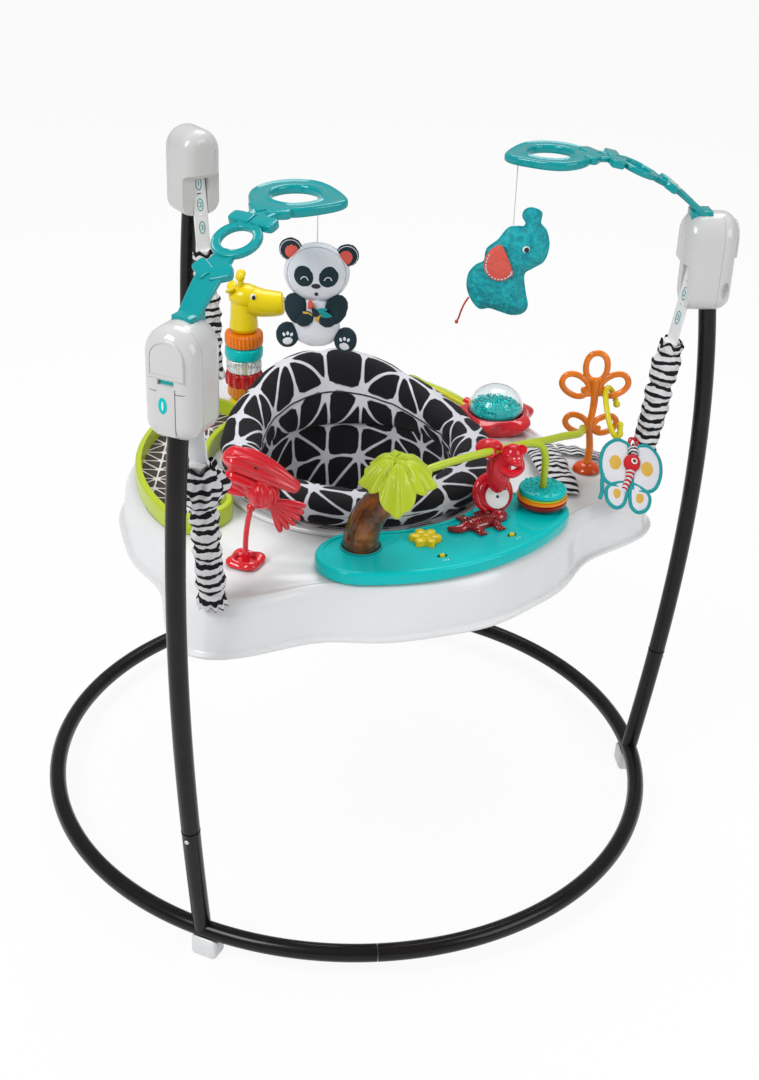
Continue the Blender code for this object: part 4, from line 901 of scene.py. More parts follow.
def base_tube():
    """A third of the floor ring with its stub."""
    start, edge = 31.0 - 120.0, math.degrees(0.0005 / RING_RADIUS)
    spread = [edge + (120.0 - 2 * edge) * i / 90 for i in range(91)]
    arc = pipe(
        [polar(start + a, RING_RADIUS, RING_HEIGHT) for a in spread], TUBE_RADIUS, fineness=8
    )
    return together(arc, leg_run(RING_HEIGHT, STUB_TOP, 24, TUBE_RADIUS * 0.995))


def snap_button():
    head = lathe(
        [
            (0.0, 0.0), (0.0030, 0.0), (0.0030, 0.0066), (0.0027, 0.0078), (0.0018, 0.0087),
            (0.0, 0.0091)
        ],
        32
    )
    out = leg_point(BUTTON_HEIGHT).x + TUBE_RADIUS
    return moved(head, turn(90, "Y"), shift(out - 0.0074, 0, BUTTON_HEIGHT))


def floor_foot():
    """A pad with softly rounded sides, scooped for the tube and grooved underneath."""
    pad = block((0.027, 0.034, 0.030), (RING_RADIUS, 0.007, 0.015), 0.0062, 5)
    saddle = pipe(
        [(RING_RADIUS, -0.05, RING_HEIGHT), (RING_RADIUS, 0.05, RING_HEIGHT)], TUBE_RADIUS + 0.0012,
        fineness=8
    )
    groove = [
        block((0.030, 0.0012, 0.0016), (RING_RADIUS, 0.007 + y, 0.0), 0.0)
        for y in (-0.008, 0.0, 0.008)
    ]
    return carved(pad, cuts=[saddle, *groove])


for where, azimuth in LEG_AZIMUTHS.items():
    piece(f"ring_tube_{where}", base_tube(), "black_coat", "frame", f"base_tube_{where}", azimuth)
    piece(
        f"leg_tube_{where}", leg_run(LEG_FOOT, LEG_TOP, 60), "black_coat", "frame", f"leg_{where}",
        azimuth
    )
    piece(
        f"leg_button_{where}", snap_button(), "button_grey", f"snap_{where}",
        f"snap_button_{where}", azimuth
    )
    piece(
        f"floor_pad_{where}", floor_foot(), "white_shell", "frame", f"floor_foot_{where}", azimuth
    )
    seam = pipe(
        [leg_point(0.1975 + 0.0006 * i) for i in range(3)], TUBE_RADIUS + 0.0004, fineness=8
    )
    piece(f"stub_collar_{where}", seam, "black_coat", "frame", (), azimuth)
print("frame tubes made")

# %% [markdown]
# Towers
#
# Each tower is a glossy capsule split into two shells. The shell that faces out carries an
# embossed arch, a slot with a teal catch behind it, a tab between two seams and a small level
# mark. The shell that faces the seat is cut away round the strap's mouth. An arch plugs into
# the top of two of the three towers.

# %% Tower shells
TOWER_RADIUS, TOWER_DEPTH, TOWER_WIDTH = 0.4148, 0.0645, 0.0610
TOWER_LOW, TOWER_TOP, TOWER_SPLIT = 0.700, 0.819, 0.4275
TOWER_FACE = TOWER_RADIUS + TOWER_DEPTH / 2
MOUTH_HEIGHT, CATCH_HEIGHT = 0.752, 0.7640
LEVEL_MARK = (-0.0035, 0.7395)
OUTWARDS = Matrix(((0, 0, 1, 0), (1, 0, 0, 0), (0, 1, 0, 0), (0, 0, 0, 1)))


def arc(radius, start, end, steps, centre=(0.0, 0.0)):
    angles = [math.radians(start + (end - start) * i / steps) for i in range(steps + 1)]
    return [(centre[0] + radius * math.cos(a), centre[1] + radius * math.sin(a)) for a in angles]


def tower_body():
    half, corner = TOWER_WIDTH / 2, 0.0200
    outline = arc(half, 0, 180, 36, (0, TOWER_TOP - half))
    outline += arc(corner, 180, 270, 9, (corner - half, TOWER_LOW + corner))
    outline += arc(corner, 270, 360, 9, (half - corner, TOWER_LOW + corner))
    bm = slab(outline, TOWER_FACE - TOWER_DEPTH, TOWER_FACE, 0.0180, 9, 0.0185)
    return moved(bm, OUTWARDS)


def upright(outline, low, high, rim=0.0, segments=3):
    """A slab whose outline stands in the (y, z) plane, raised outwards from low to high."""
    return moved(slab(outline, low, high, rim, segments), OUTWARDS)


def arch_shape(half, low):
    """The outline of a round arch over a straight foot."""
    return arc(half, 0, 180, 28, (0, 0.7885)) + [(-half, low), (half, low)]


def leg_bore():
    """The hole in a tower that the leg's end fills."""
    return leg_run(0.680, 0.741, 8, TUBE_RADIUS + 0.0006)


def housing_inner(holds_arch):
    mouth = block((0.0130, 0.027, 0.053), (0.4003, 0, 0.7785), 0.0015)
    recess = block((0.060, 0.0245, 0.100), (0.3768, 0, MOUTH_HEIGHT - 0.050), 0.0030, 4)
    cheek = block((0.040, 0.090, 0.080), (0.3730, 0, 0.7195), 0.0090, 6)
    far = block((0.080, 0.12, 0.20), (TOWER_SPLIT + 0.04 - 0.00015, 0, 0.76))
    cuts = [far, mouth, recess, cheek, leg_bore()]
    if holds_arch:
        cuts.append(block((0.0132, 0.0240, 0.040), (0.4085, 0, 0.8095)))
        cuts.append(block((0.0260, 0.0240, 0.020), (0.4020, 0, 0.8195)))
    return carved(tower_body(), cuts=cuts)


def housing_outer():
    ridge = upright(arch_shape(0.0205, 0.7680), TOWER_FACE - 0.0040, TOWER_FACE + 0.0010, 0.0009)
    inside = upright(arch_shape(0.0172, 0.7715), TOWER_FACE + 0.0002, TOWER_FACE + 0.02)
    seam = block((0.0050, 0.0900, 0.0013), (TOWER_FACE, 0.0, 0.7540))
    notch = blob((0.0062, 0.0080, 0.0105), (TOWER_FACE - 0.010, 0.0010 - TOWER_WIDTH / 2, 0.7290))
    near = block((0.10, 0.12, 0.20), (TOWER_SPLIT - 0.05 + 0.00015, 0, 0.76))
    shell = carved(
        carved(tower_body(), joins=[ridge]), cuts=[near, seam, notch, leg_bore(), inside]
    )
    tab = block((0.0016, 0.0200, 0.0500), (TOWER_FACE - 0.0002, 0.0, 0.7330), 0.0004, 2)
    lower = block((0.0060, 0.0009, 0.0520), (TOWER_FACE, 0.0104, 0.7330))
    window = block((0.014, 0.0185, 0.0058), (TOWER_FACE, 0.0, CATCH_HEIGHT), 0.0008, 2)
    return carved(shell, joins=[tab], cuts=[window, lower])


def oval(wide, tall, steps=40):
    return [(wide * math.cos(a), tall * math.sin(a)) for a in whole_turn(steps)]


def level_oval(wide, tall, steps, low, high, *rounding):
    """An oval slab at the level mark's place; low and high count from the tower's face."""
    across, up = LEVEL_MARK
    outline = [(y + across, z + up) for y, z in oval(wide, tall, steps)]
    return upright(outline, TOWER_FACE + low, TOWER_FACE + high, *rounding)


def numeral(text, size):
    """A number cut from a plain typeface, standing in the (y, z) plane and centred."""
    curve = bpy.data.curves.new("numeral", "FONT")
    curve.body = text
    curve.size = size
    curve.extrude = 0.0003 / 2
    curve.align_x, curve.align_y = "CENTER", "CENTER"
    return moved(from_curve(curve), OUTWARDS)


for where, azimuth in LEG_AZIMUTHS.items():
    piece(
        f"tower_inside_{where}", housing_inner(where != "back"), "tower_white_shaded", "frame",
        f"housing_inner_{where}", azimuth, 32
    )
    piece(
        f"tower_outside_{where}", housing_outer(), "tower_white_shaded", "frame", f"housing_outer_{where}",
        azimuth, 32
    )
    catch = block((0.004, 0.017, 0.005), (TOWER_FACE - 0.0055, 0, CATCH_HEIGHT), 0.0008)
    piece(f"teal_catch_{where}", catch, "teal_shell", "frame", (), azimuth)
    mark = level_oval(0.0050, 0.0088, 40, 0.0004, 0.0009, 0.0002, 2)
    piece(f"level_mark_{where}", mark, "teal_shell", "frame", (), azimuth)
    bar = level_oval(0.0010, 0.0050, 16, 0.0008, 0.0011)
    piece(f"level_bar_{where}", bar, "ink_white", "frame", (), azimuth)
    screw = lathe(
        [(0.0, 0.0), (0.0024, 0.0), (0.0028, 0.0006), (0.0026, 0.0012), (0.0, 0.0012)], 24
    )
    moved(screw, turn(-90, "Y"), shift(0.3848, -0.016, 0.7890))
    piece(f"shell_screw_{where}", screw, "black_coat", "frame", (), azimuth)
print("towers made")

# %% [markdown]
# Height straps
#
# A white strap runs down from each tower at a slight lean. It bears three numbered ovals, and
# a cap at its foot takes the spring. The right strap is twisted a little towards the camera.

# %% Straps
STRAP_WIDTH, STRAP_THICKNESS, STRAP_LEAN = 0.022, 0.0025, 0.145
STRAP_AT_MOUTH, STRAP_TOP, STRAP_END = 0.402, 0.762, 0.642
STRAP_TWIST = {"front": 0.0, "right": 17.0, "back": 0.0}
SPRING_TOP = Vector(
    (STRAP_AT_MOUTH - STRAP_LEAN * (MOUTH_HEIGHT - STRAP_END) - 0.0005, 0.0, STRAP_END)
)
SPRING_FOOT = Vector((0.366, 0.0, 0.484))
SPRING_LINE = (SPRING_TOP - SPRING_FOOT).normalized()
AIM = aimed(SPRING_LINE)


def leaned(bm, twist):
    """Turns a strap piece about its own middle and shears it along the strap's lean."""
    foot = STRAP_AT_MOUTH - STRAP_LEAN * MOUTH_HEIGHT
    lean = Matrix(((1, 0, STRAP_LEAN, foot), (0, 1, 0, 0), (0, 0, 1, 0), (0, 0, 0, 1)))
    return moved(bm, turn(twist, "Z"), lean)


def strap(twist):
    """The slotted strap with the cap that takes the spring's top."""
    bar = block(
        (STRAP_THICKNESS, STRAP_WIDTH, STRAP_TOP - STRAP_END), (0, 0, (STRAP_TOP + STRAP_END) / 2),
        0.0009, 3
    )
    slots = [block((0.01, 0.0070, 0.0022), (0, 0, z), 0.0006, 2) for z in (0.7300, 0.7010)]
    cap = lathe(
        [
            (0.0, -0.001), (0.0100, -0.001), (0.0108, 0.0), (0.0108, 0.0110), (0.0095, 0.0125),
            (0.0, 0.0125)
        ],
        40
    )
    moved(cap, AIM, shift(*SPRING_TOP))
    return together(leaned(carved(bar, cuts=slots), twist), cap)


for where, azimuth in LEG_AZIMUTHS.items():
    twist = STRAP_TWIST[where]
    piece(f"strap_{where}", strap(twist), "strap_white", "straps", f"height_strap_{where}", azimuth)
    for text, height in (("1", 0.7435), ("2", 0.7150), ("3", 0.6840)):
        rim = upright([(y, z + height) for y, z in oval(0.0048, 0.0088)], 0.0, 0.0003)
        hole = upright([(y, z + height) for y, z in oval(0.0036, 0.0074)], -0.001, 0.001)
        face = -STRAP_THICKNESS / 2 - 0.00025
        number = moved(numeral(text, 0.0100), turn(180, "Z"), shift(face, 0, height))
        mark = together(moved(carved(rim, cuts=[hole]), shift(face, 0, 0)), number)
        piece(f"strap_mark_{text}_{where}", leaned(mark, twist), "mark_teal", "straps", (), azimuth)

# %% [markdown]
# Springs and their zebra sleeves
#
# The springs are real helices. A sleeve of striped cloth hides each one: gathered in soft
# rings and ragged at both ends. The front sleeve flares out above its middle, where it is
# bunched.

# %% Springs and sleeves
SLEEVE_FOOT = SPRING_FOOT - SPRING_LINE * 0.0085
SLEEVE_TOP = SPRING_TOP + SPRING_LINE * ((0.652 - STRAP_END) / SPRING_LINE.z)
SLEEVE_LENGTH = (SLEEVE_TOP - SLEEVE_FOOT).length
COIL_RADIUS, COIL_TURNS, STEPS_PER_TURN, COIL_MARGIN = 0.0094, 8, 28, 0.0017


def spring():
    """A round coil between the boss on the tray and the strap's cap."""
    across = Vector((0, 1, 0))
    outward = across.cross(SPRING_LINE)
    low, high = SPRING_FOOT + SPRING_LINE * COIL_MARGIN, SPRING_TOP - SPRING_LINE * COIL_MARGIN
    steps = COIL_TURNS * STEPS_PER_TURN
    points = []
    for i in range(steps + 1):
        angle = math.tau * i / STEPS_PER_TURN
        aside = outward * math.cos(angle) + across * math.sin(angle)
        points.append(low.lerp(high, i / steps) + aside * COIL_RADIUS)
    return pipe(points, 0.0014, fineness=3)


def bell(t, middle, width):
    """1 at the middle, and falling away smoothly on both sides."""
    return math.exp(-(((t - middle) / width) ** 2))


def sleeve(where, seed):
    """Radius by height and bearing: rings of folds, waists, slant creases and ragged ends."""
    bunched = where == "front"
    tie = 0.90 if bunched else 0.94

    def place(u, v):
        angle = math.tau * u
        rim = Vector((math.cos(angle), math.sin(angle), 0.0))
        drift = noise.noise(Vector((rim.x * 1.3, rim.y * 1.3, v * 9.0 + seed)))
        rings = math.sin(math.tau * (v * 8.5 + 0.22 * drift + 0.05 * math.sin(angle * 2 + seed)))
        crease = noise.noise(Vector((rim.x * 3.0 + seed, rim.y * 3.0, v * 24.0)))
        fine = noise.noise(Vector((rim.x * 7.0, rim.y * 7.0 + seed, v * 60.0)))
        radius = 0.0149 + 0.0012 * rings + 0.0016 * crease + 0.0006 * fine + 0.0022 * drift
        if bunched:
            flare = bell(v, 0.17, 0.10) * (0.0065 + 0.0075 * max(0.0, math.cos(angle - 1.45)))
            radius += (
                flare * (1.0 + 0.30 * math.sin(angle * 9 + 14 * v)) - 0.0030 * bell(v, 0.30, 0.035)
            )
            radius += 0.0012 * bell(v, 0.86, 0.05)
        else:
            radius += (
                0.0026 * bell(v, 0.20, 0.07) + 0.0018 * bell(v, 0.46, 0.10)
                - 0.0022 * bell(v, 0.33, 0.03)
            )
            radius += 0.0010 * bell(v, 0.60, 0.06) - 0.0012 * (v > 0.7) * (v - 0.7) * 3
        uneven_hem = noise.noise(Vector((rim.x * 4.0, rim.y * 4.0, seed)))
        pleat = 0.6 * math.sin(angle * 11 + 1.6 * seed) + 0.6 * uneven_hem
        ragged = bell(v, 0.0, 0.05)
        radius += ragged * (0.0020 * pleat - 0.0006)
        radius -= 0.0024 * bell(v, tie, 0.020)
        radius += bell(v, 1.0, 0.04) * (0.0030 * pleat + 0.0006)
        height = SLEEVE_LENGTH * (1.0 - v) + ragged * (0.0035 * math.sin(angle * 5 + seed))
        height -= 0.0030 * bell(v, 1.0, 0.05) * (1 + pleat)
        return (rim * max(radius, 0.0110)) + Vector((0, 0, height))

    return moved(faced_out(skin(150, 240, place)), AIM, shift(*SLEEVE_FOOT))


for number, (where, azimuth) in enumerate(LEG_AZIMUTHS.items()):
    foot = turn(azimuth, "Z") @ SLEEVE_FOOT + RING_CENTRE
    top = turn(azimuth, "Z") @ SPRING_TOP + RING_CENTRE
    coil = piece(f"spring_{where}", spring(), "bright_wire", None, f"coil_spring_{where}", azimuth)
    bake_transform(coil)
    folds = sleeve(where, 3.0 + 4.0 * number)
    cover = piece(
        f"zebra_sleeve_{where}", folds, "zebra_sleeve", None, f"spring_sleeve_{where}", azimuth, 180
    )
    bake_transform(cover)
print("straps, springs and sleeves made")

# %% [markdown]
# Arches
#
# Two glossy teal arches lean over the seat. Each starts as a flared tab in its tower and bends
# inwards as a flat bar with raised edges. It carries a small and a large ring, with chunky
# leaf tabs beside them.

# %% Arch shapes
ARCH_LINE = (
    (0.4085, 0.7920, 0.0105), (0.4080, 0.8120, 0.0118), (0.3960, 0.8235, 0.0132),
    (0.3745, 0.8415, 0.0148), (0.3600, 0.8510, 0.0150), (0.3430, 0.8590, 0.0118),
    (0.3330, 0.8640, 0.0100)
)
NECK_LINE = (
    (0.3030, 0.8765, 0.0120), (0.2970, 0.8795, 0.0135), (0.2820, 0.8830, 0.0140),
    (0.2640, 0.8842, 0.0175), (0.2440, 0.8842, 0.0230)
)
ARCH_THICKNESS = 0.0078
LEAF_TABS = (  # across, up, reach, sweep, slope
    (0.3660, 0.8475, 0.0235, 30, 32), (0.2900, 0.8812, 0.0265, 0, 12), (0.2700, 0.8838, 0.0260, 32, 5),
)


def bent_bar(line):
    """A flat bar along (x, z, half width) points, with raised edges and rounded ends."""
    route = smooth_line(line, 10)
    last = len(route) - 1

    def place(u, v):
        i = min(int(v * last + 1e-6), last)
        x, z, half = route[i]
        ahead, behind = route[min(i + 1, last)], route[max(i - 1, 0)]
        lift = Vector((behind.y - ahead.y, 0.0, ahead.x - behind.x)).normalized()
        side = power(math.cos(math.tau * u), 0.45)
        raised = 0.66 + 0.34 * min(1.0, max(0.0, (abs(side) - 0.55) / 0.2))
        up = power(math.sin(math.tau * u), 0.45) * raised * ARCH_THICKNESS / 2
        return Vector((x, half * side, z)) + lift * up

    return capped(skin(48, last, place))


def band_ring(outer, hole, thickness, steps=96, point=0.0, bearing=0.0):
    """A flat ring, thicker along both of its edges; one side can be drawn to a point."""
    aim = polar(bearing, 1.0, 0.0)
    middle, half = (outer + hole) / 2, (outer - hole) / 2
    profile = []
    for i in range(40):
        angle = math.tau * i / 40
        side = power(math.cos(angle), 0.6)
        edge = min(1.0, max(0.0, (abs(side) - 0.45) / 0.3))
        up = power(math.sin(angle), 0.6) * thickness / 2 * (0.64 + 0.36 * edge)
        profile.append((middle + half * side, up))
    ring = lathe(profile, steps, closed=True)
    for v in ring.verts:
        far = max(0.0, v.co.dot(aim) / outer)
        if point and far:
            along = aim * v.co.dot(aim)
            across = Vector((v.co.x, v.co.y, 0)) - along
            flat = along * (1 + point * far**3) + across * (1 - 2.2 * point * far**2)
            v.co = flat + Vector((0, 0, v.co.z))
    return ring


def leaf_tab(side, reach):
    """A leaf that stands out from the bar on one side, with rounded rims."""
    knots = (
        (-0.0082, 0.001), (-0.0086, 0.55 * reach), (-0.0080, 0.90 * reach), (-0.0050, 1.03 * reach),
        (0.0050, 1.03 * reach), (0.0082, 0.90 * reach), (0.0086, 0.55 * reach), (0.0080, 0.001)
    )
    outline = [(p.x, side * p.y) for p in smooth_profile(knots, 6)]
    return slab(outline, -0.0046, 0.0046, 0.0018, 4, 0.0018)


def arch(point_bearing, *set_in):
    """One whole arch, with its plug; set_in are the moves that seat it in its tower."""
    small = moved(band_ring(0.0270, 0.0165, 0.0075, 72), turn(22, "Y"), shift(0.3190, 0, 0.8705))
    large = band_ring(0.0492, 0.0268, 0.0125, 128, 0.16, point_bearing)
    moved(large, shift(0.2145, 0, 0.8840))
    tabs = []
    for x, z, reach, sweep, slope in LEAF_TABS:
        for side in (-1, 1):
            tabs.append(
                moved(
                    leaf_tab(side, reach), turn(side * sweep, "Z"), turn(slope, "Y"), shift(x, 0, z)
                )
            )
    plug = block((0.0254, 0.0234, 0.0130), (0.4020, 0, 0.8155), 0.0012, 2)
    whole = carved(bent_bar(ARCH_LINE), joins=[small, bent_bar(NECK_LINE), large, *tabs, plug])
    return moved(whole, *set_in)


ARCH_SOCKET = shift(-0.4078, 0, -0.812), turn(2.4, "Y"), turn(-6.5, "Z"), shift(0.4078, 0, 0.812)
piece("toy_arch_right", arch(193.0), "arch_teal", "frame", "arch_right", LEG_AZIMUTHS["right"], 32)
piece(
    "toy_arch_front", arch(104.0, *ARCH_SOCKET), "arch_teal", "frame", "arch_front",
    LEG_AZIMUTHS["front"], 32
)

for toy, at, top in (("panda", PANDA_AT, PANDA_TOP), ("elephant", ELEPHANT_AT, ELEPHANT_TOP)):
    knot = blob((0.0016, 0.0016, 0.0013), at + Vector((0, 0, top + 0.0006)), None, 16, 10)
    piece(f"{toy}_anchor_knot", knot, "thread_white", f"hanging_{toy}")
print("arches made")

# %% [markdown]
# Tray
#
# The tray is one white moulding with three lobes that point at the legs. Its wall leans in
# from a flared lip, and the deck above it swells gently towards each lobe. A soft crease runs
# round the deck inside the rim, and the lip has a second, finer edge.

# %% Tray shell
TRAY_TURN, TRAY_LOW, DECK, TRAY_MOUTH = -2.8, 0.407, 0.474, 0.175
TRAY_WAVES = (0.3173, 0.0291, 0.0210, 0.0114, 0.0049)


def tray_reach(azimuth):
    """How far the lower rim stands from the middle: three lobes towards the legs."""
    phase = math.radians(azimuth - LEG_AZIMUTHS["right"] - TRAY_TURN)
    return sum(wave * math.cos(3 * i * phase) for i, wave in enumerate(TRAY_WAVES))


RIM_LINE = smooth_profile(
    (
        (0.0004, 0.0002), (-0.0002, 0.0026), (0.0006, 0.0046), (0.0048, 0.0062), (0.0062, 0.0120),
        (0.0095, 0.0440), (0.0118, 0.0530), (0.0165, 0.0612), (0.0230, 0.0650)
    ),
    5
)
UNDER_LINE = (
    (0.0250, 0.0615), (0.0190, 0.0570), (0.0140, 0.0470), (0.0112, 0.0280), (0.0084, 0.0090),
    (0.0035, 0.0002), (0.0004, 0.0002)
)


def tray_section(azimuth):
    """Outline of the wall at one azimuth, from the lip over the deck to the mouth and back under."""
    reach = tray_reach(azimuth)
    section = [(reach - p.x, TRAY_LOW + p.y) for p in RIM_LINE]
    edge = reach - 0.0230
    shoulder = min(0.262 + 0.25 * (edge - 0.272), edge - 0.012)
    for i in range(1, 10):
        t = i / 10
        dip = -0.0016 * math.sin(math.pi * t) - 0.0010 * bell(t, 0.28, 0.08)
        section.append((edge + (shoulder - edge) * t, 0.4720 + 0.0008 * t + dip))
    section.append((shoulder, DECK - 0.0012))
    for i in range(1, 14):
        t = i / 14
        groove = -0.0012 * bell(t, 0.30, 0.06)
        section.append(
            (shoulder + (TRAY_MOUTH + 0.004 - shoulder) * t, DECK - 0.0012 * (1 - t) + groove)
        )
    section += [
        (TRAY_MOUTH + 0.0040, DECK), (TRAY_MOUTH + 0.0012, DECK - 0.0008),
        (TRAY_MOUTH, DECK - 0.004), (TRAY_MOUTH, DECK - 0.030)
    ]
    section += [
        (TRAY_MOUTH + 0.003, DECK - 0.030), (TRAY_MOUTH + 0.003, DECK - 0.005),
        (0.236, DECK - 0.0040)
    ]
    return section + [(reach - inset, TRAY_LOW + rise) for inset, rise in UNDER_LINE]


TRAY_COLUMNS = 240
tray_sections = [tray_section(360.0 * i / TRAY_COLUMNS) for i in range(TRAY_COLUMNS + 1)]
last_row = len(tray_sections[0]) - 1


def tray_place(u, v):
    column, row = round(u * TRAY_COLUMNS), round(v * last_row)
    radius, height = tray_sections[column][row]
    return polar(360.0 * column / TRAY_COLUMNS, radius, height)


tray_bm = faced_out(skin(TRAY_COLUMNS, last_row, tray_place))
bosses = []
for azimuth in LEG_AZIMUTHS.values():
    boss = lathe(
        [(0.0, 0.0), (0.0088, 0.0), (0.0096, -0.0008), (0.0112, -0.0120), (0.0, -0.0120)], 48
    )
    moved(boss, AIM, shift(*SPRING_FOOT), turn(azimuth, "Z"))
    bosses.append(boss)
piece("tray", together(tray_bm, *bosses), "white_shell", "tray", "tray_shell", sharp=46)
print("tray made")

# %% [markdown]
# Seat cushion
#
# The cushion is one stuffed ring: a low bolster in front that rises to a back rest. It starts
# as a grid bent into a ring, whose map becomes the print's map. A cloth simulation with air
# pressure then fills it between seams that stay where they were sewn, so that each channel
# bulges and the cloth puckers along the seams.

# %% Cushion
SEAT_FACES, PAD_LOW = 290.0, 0.4797
PAD_ROUND, PAD_ACROSS, CHANNELS = 216, 56, 9
CLOTH_FRAMES = 18


def pad_height(azimuth):
    rise = 0.5 - 0.5 * math.cos(math.radians(azimuth - SEAT_FACES))
    return 0.040 + 0.058 * rise**4.6


def pad_place(u, v):
    """The stuffed ring before the simulation: drawn in along each channel."""
    azimuth = SEAT_FACES + 60.0 + 360.0 * u
    height = pad_height(azimuth)
    channel = 0.5 + 0.5 * math.cos(math.tau * u * CHANNELS)
    pull = 1.0 - 0.085 * channel**8
    thick = (0.027 - 0.10 * (height - 0.040)) * pull
    middle = 0.1465 + 0.08 * (height - 0.040)
    angle = math.tau * v
    side, up = power(math.cos(angle), 0.78), power(math.sin(angle), 0.78)
    lean = 0.012 * up * (height - 0.040) / 0.059
    slack = (
        0.0016
        * noise.noise(Vector((math.cos(math.tau * u) * 7, math.sin(math.tau * u) * 7, v * 6)))
    )
    share = 1 + up * (pull if up > 0 else 1.0)
    return polar(azimuth, middle + lean + (thick + slack) * side, PAD_LOW + height / 2 * share)


def is_seam(u, v):
    """Whether a point is sewn: across at each channel, and round at the two edges."""
    on_channel = abs(u * CHANNELS - round(u * CHANNELS)) < 0.5 * CHANNELS / PAD_ROUND
    return on_channel or abs(v - 0.5) < 0.5 / PAD_ACROSS or v < 0.5 / PAD_ACROSS


def puffed(bm, is_fixed, pressure, most):
    """Cloth under air pressure with its seams pinned; no point strays further than `most`."""
    mesh = bpy.data.meshes.new("cloth")
    bm.to_mesh(mesh)
    start = [v.co.copy() for v in mesh.vertices]
    cloth = linked("cloth", mesh)
    pins = cloth.vertex_groups.new(name="seams")
    pins.add([i for i, point in enumerate(start) if is_fixed(point)], 1.0, "REPLACE")
    settings = cloth.modifiers.new("cloth", "CLOTH").settings
    settings.vertex_group_mass = "seams"
    settings.mass = 0.15
    settings.tension_stiffness = settings.compression_stiffness = 22.0
    settings.shear_stiffness = 8.0
    settings.bending_stiffness = 0.5
    settings.use_pressure = True
    settings.uniform_pressure_force = pressure
    settings.effector_weights.gravity = 0.0
    cloth.modifiers["cloth"].collision_settings.use_collision = False
    scene = bpy.context.scene
    for frame_number in range(1, CLOTH_FRAMES + 1):
        scene.frame_set(frame_number)
    solved = cloth.evaluated_get(bpy.context.evaluated_depsgraph_get()).to_mesh()
    reached = [v.co.copy() for v in solved.vertices]
    discard(cloth)
    scene.frame_set(1)
    bm.verts.ensure_lookup_table()
    strayed = 0.0
    for v, goal in zip(bm.verts, reached):
        step = goal - v.co
        strayed = max(strayed, step.length)
        if step.length > most:
            step = step * (most / step.length)
        v.co = v.co + step
    print(f"cloth moved at most {strayed * 1000:.1f} mm, kept within {most * 1000:.1f} mm")
    return bm


def smoothed(bm):
    """One round of Catmull-Clark subdivision, UV map included."""
    fine = linked("fine", baked("fine", bm))
    subdivision = fine.modifiers.new("fine", "SUBSURF")
    subdivision.levels = subdivision.render_levels = 1
    result = as_drawn(fine)
    discard(fine)
    return from_mesh(result)


seam_points = set()


def rounded_off(point):
    """A point as a key that forgives the last digits."""
    return tuple(round(c, 5) for c in point)


def pad_place_marked(u, v):
    """The same as pad_place, but it also notes each point that is sewn."""
    point = pad_place(u, v)
    if is_seam(u, v):
        seam_points.add(rounded_off(point))
    return point


pad_bm = faced_out(skin(PAD_ROUND, PAD_ACROSS, pad_place_marked))
puffed(pad_bm, lambda point: rounded_off(point) in seam_points, 5.0, 0.0040)
cushion = piece("seat_cushion", smoothed(pad_bm), "web_pad", "seat", "seat_pad", sharp=180)

piping = [pad_place(i / 400, 0.5) + Vector((0, 0, 0.0004)) for i in range(400)]
piece(
    "cushion_piping", pipe(piping, 0.0011, closed=True, fineness=3), "ink_black", "seat", sharp=180
)
print("cushion made")

# %% [markdown]
# Seat ring and fabric bucket
#
# A plain white ring turns in the tray's mouth and carries the seat. Below the cushion hangs a
# liner of the same printed cloth, with soft hanging folds and two leg openings.

# %% Ring and bucket
ring_line = [
    (0.1780, DECK + 0.0040), (0.1780, DECK + 0.0006), (0.1722, DECK + 0.0004),
    (0.1722, DECK - 0.026), (0.1672, DECK - 0.026), (0.1672, DECK + 0.0048),
    (0.1682, DECK + 0.0054), (0.1766, DECK + 0.0054)
]
piece("turning_ring", lathe(ring_line, 160, closed=True), "white_shell", "seat", "seat_ring")

BUCKET_OUT = smooth_profile(
    (
        (0.1630, 0.4785), (0.1610, 0.4500), (0.1520, 0.4150), (0.1330, 0.3780), (0.1030, 0.3480),
        (0.0560, 0.3310), (0.0, 0.3270)
    ),
    6
)
BUCKET_IN = smooth_profile(
    (
        (0.0, 0.3310), (0.0545, 0.3350), (0.1005, 0.3515), (0.1300, 0.3805), (0.1485, 0.4165),
        (0.1575, 0.4510), (0.1590, 0.4785)
    ),
    6
)
bucket_line = list(reversed(BUCKET_IN)) + list(reversed(BUCKET_OUT))


def bucket_place(u, v):
    point = picked(bucket_line, v)
    depth = min(1.0, max(0.0, (0.4785 - point.y) / 0.12))
    folds = noise.noise(
        Vector((math.cos(math.tau * u) * 5.0, math.sin(math.tau * u) * 5.0, point.y * 9.0))
    )
    return polar(360.0 * u + SEAT_FACES + 60.0, point.x * (1.0 + 0.022 * depth * folds), point.y)


def leg_holes():
    """Two round bars that bore the leg openings."""
    bars = []
    for side in (-1, 1):
        azimuth = SEAT_FACES + side * 36.0
        start, end = polar(azimuth, 0.085, 0.402), polar(azimuth, 0.190, 0.372)
        bars.append(pipe([start, start.lerp(end, 0.5), end], 0.043, fineness=14))
    return bars


bucket_bm = carved(skin(200, len(bucket_line) - 1, bucket_place), cuts=leg_holes())
bucket = piece("seat_liner", bucket_bm, "web_bucket", "seat", "seat_bucket", sharp=60)

# %% Lining between the cushion and the bucket


def lining_place(u, v):
    """From the cushion's inner seam down to the bucket's floor, with a few upright folds."""
    seam_point = pad_place(u, 0.5)
    azimuth = SEAT_FACES + 60.0 + 360.0 * u
    top_reach = Vector((seam_point.x, seam_point.y)).length
    fold = noise.noise(
        Vector((math.cos(math.tau * u) * 6.0, math.sin(math.tau * u) * 6.0, v * 1.5))
    )
    bulge = 0.0060 * math.sin(math.pi * v) * (1.0 + 0.7 * fold)
    reach = top_reach + 0.0012 + (0.1270 - top_reach) * v + bulge
    return polar(azimuth, reach, seam_point.z + (0.3800 - seam_point.z) * v)


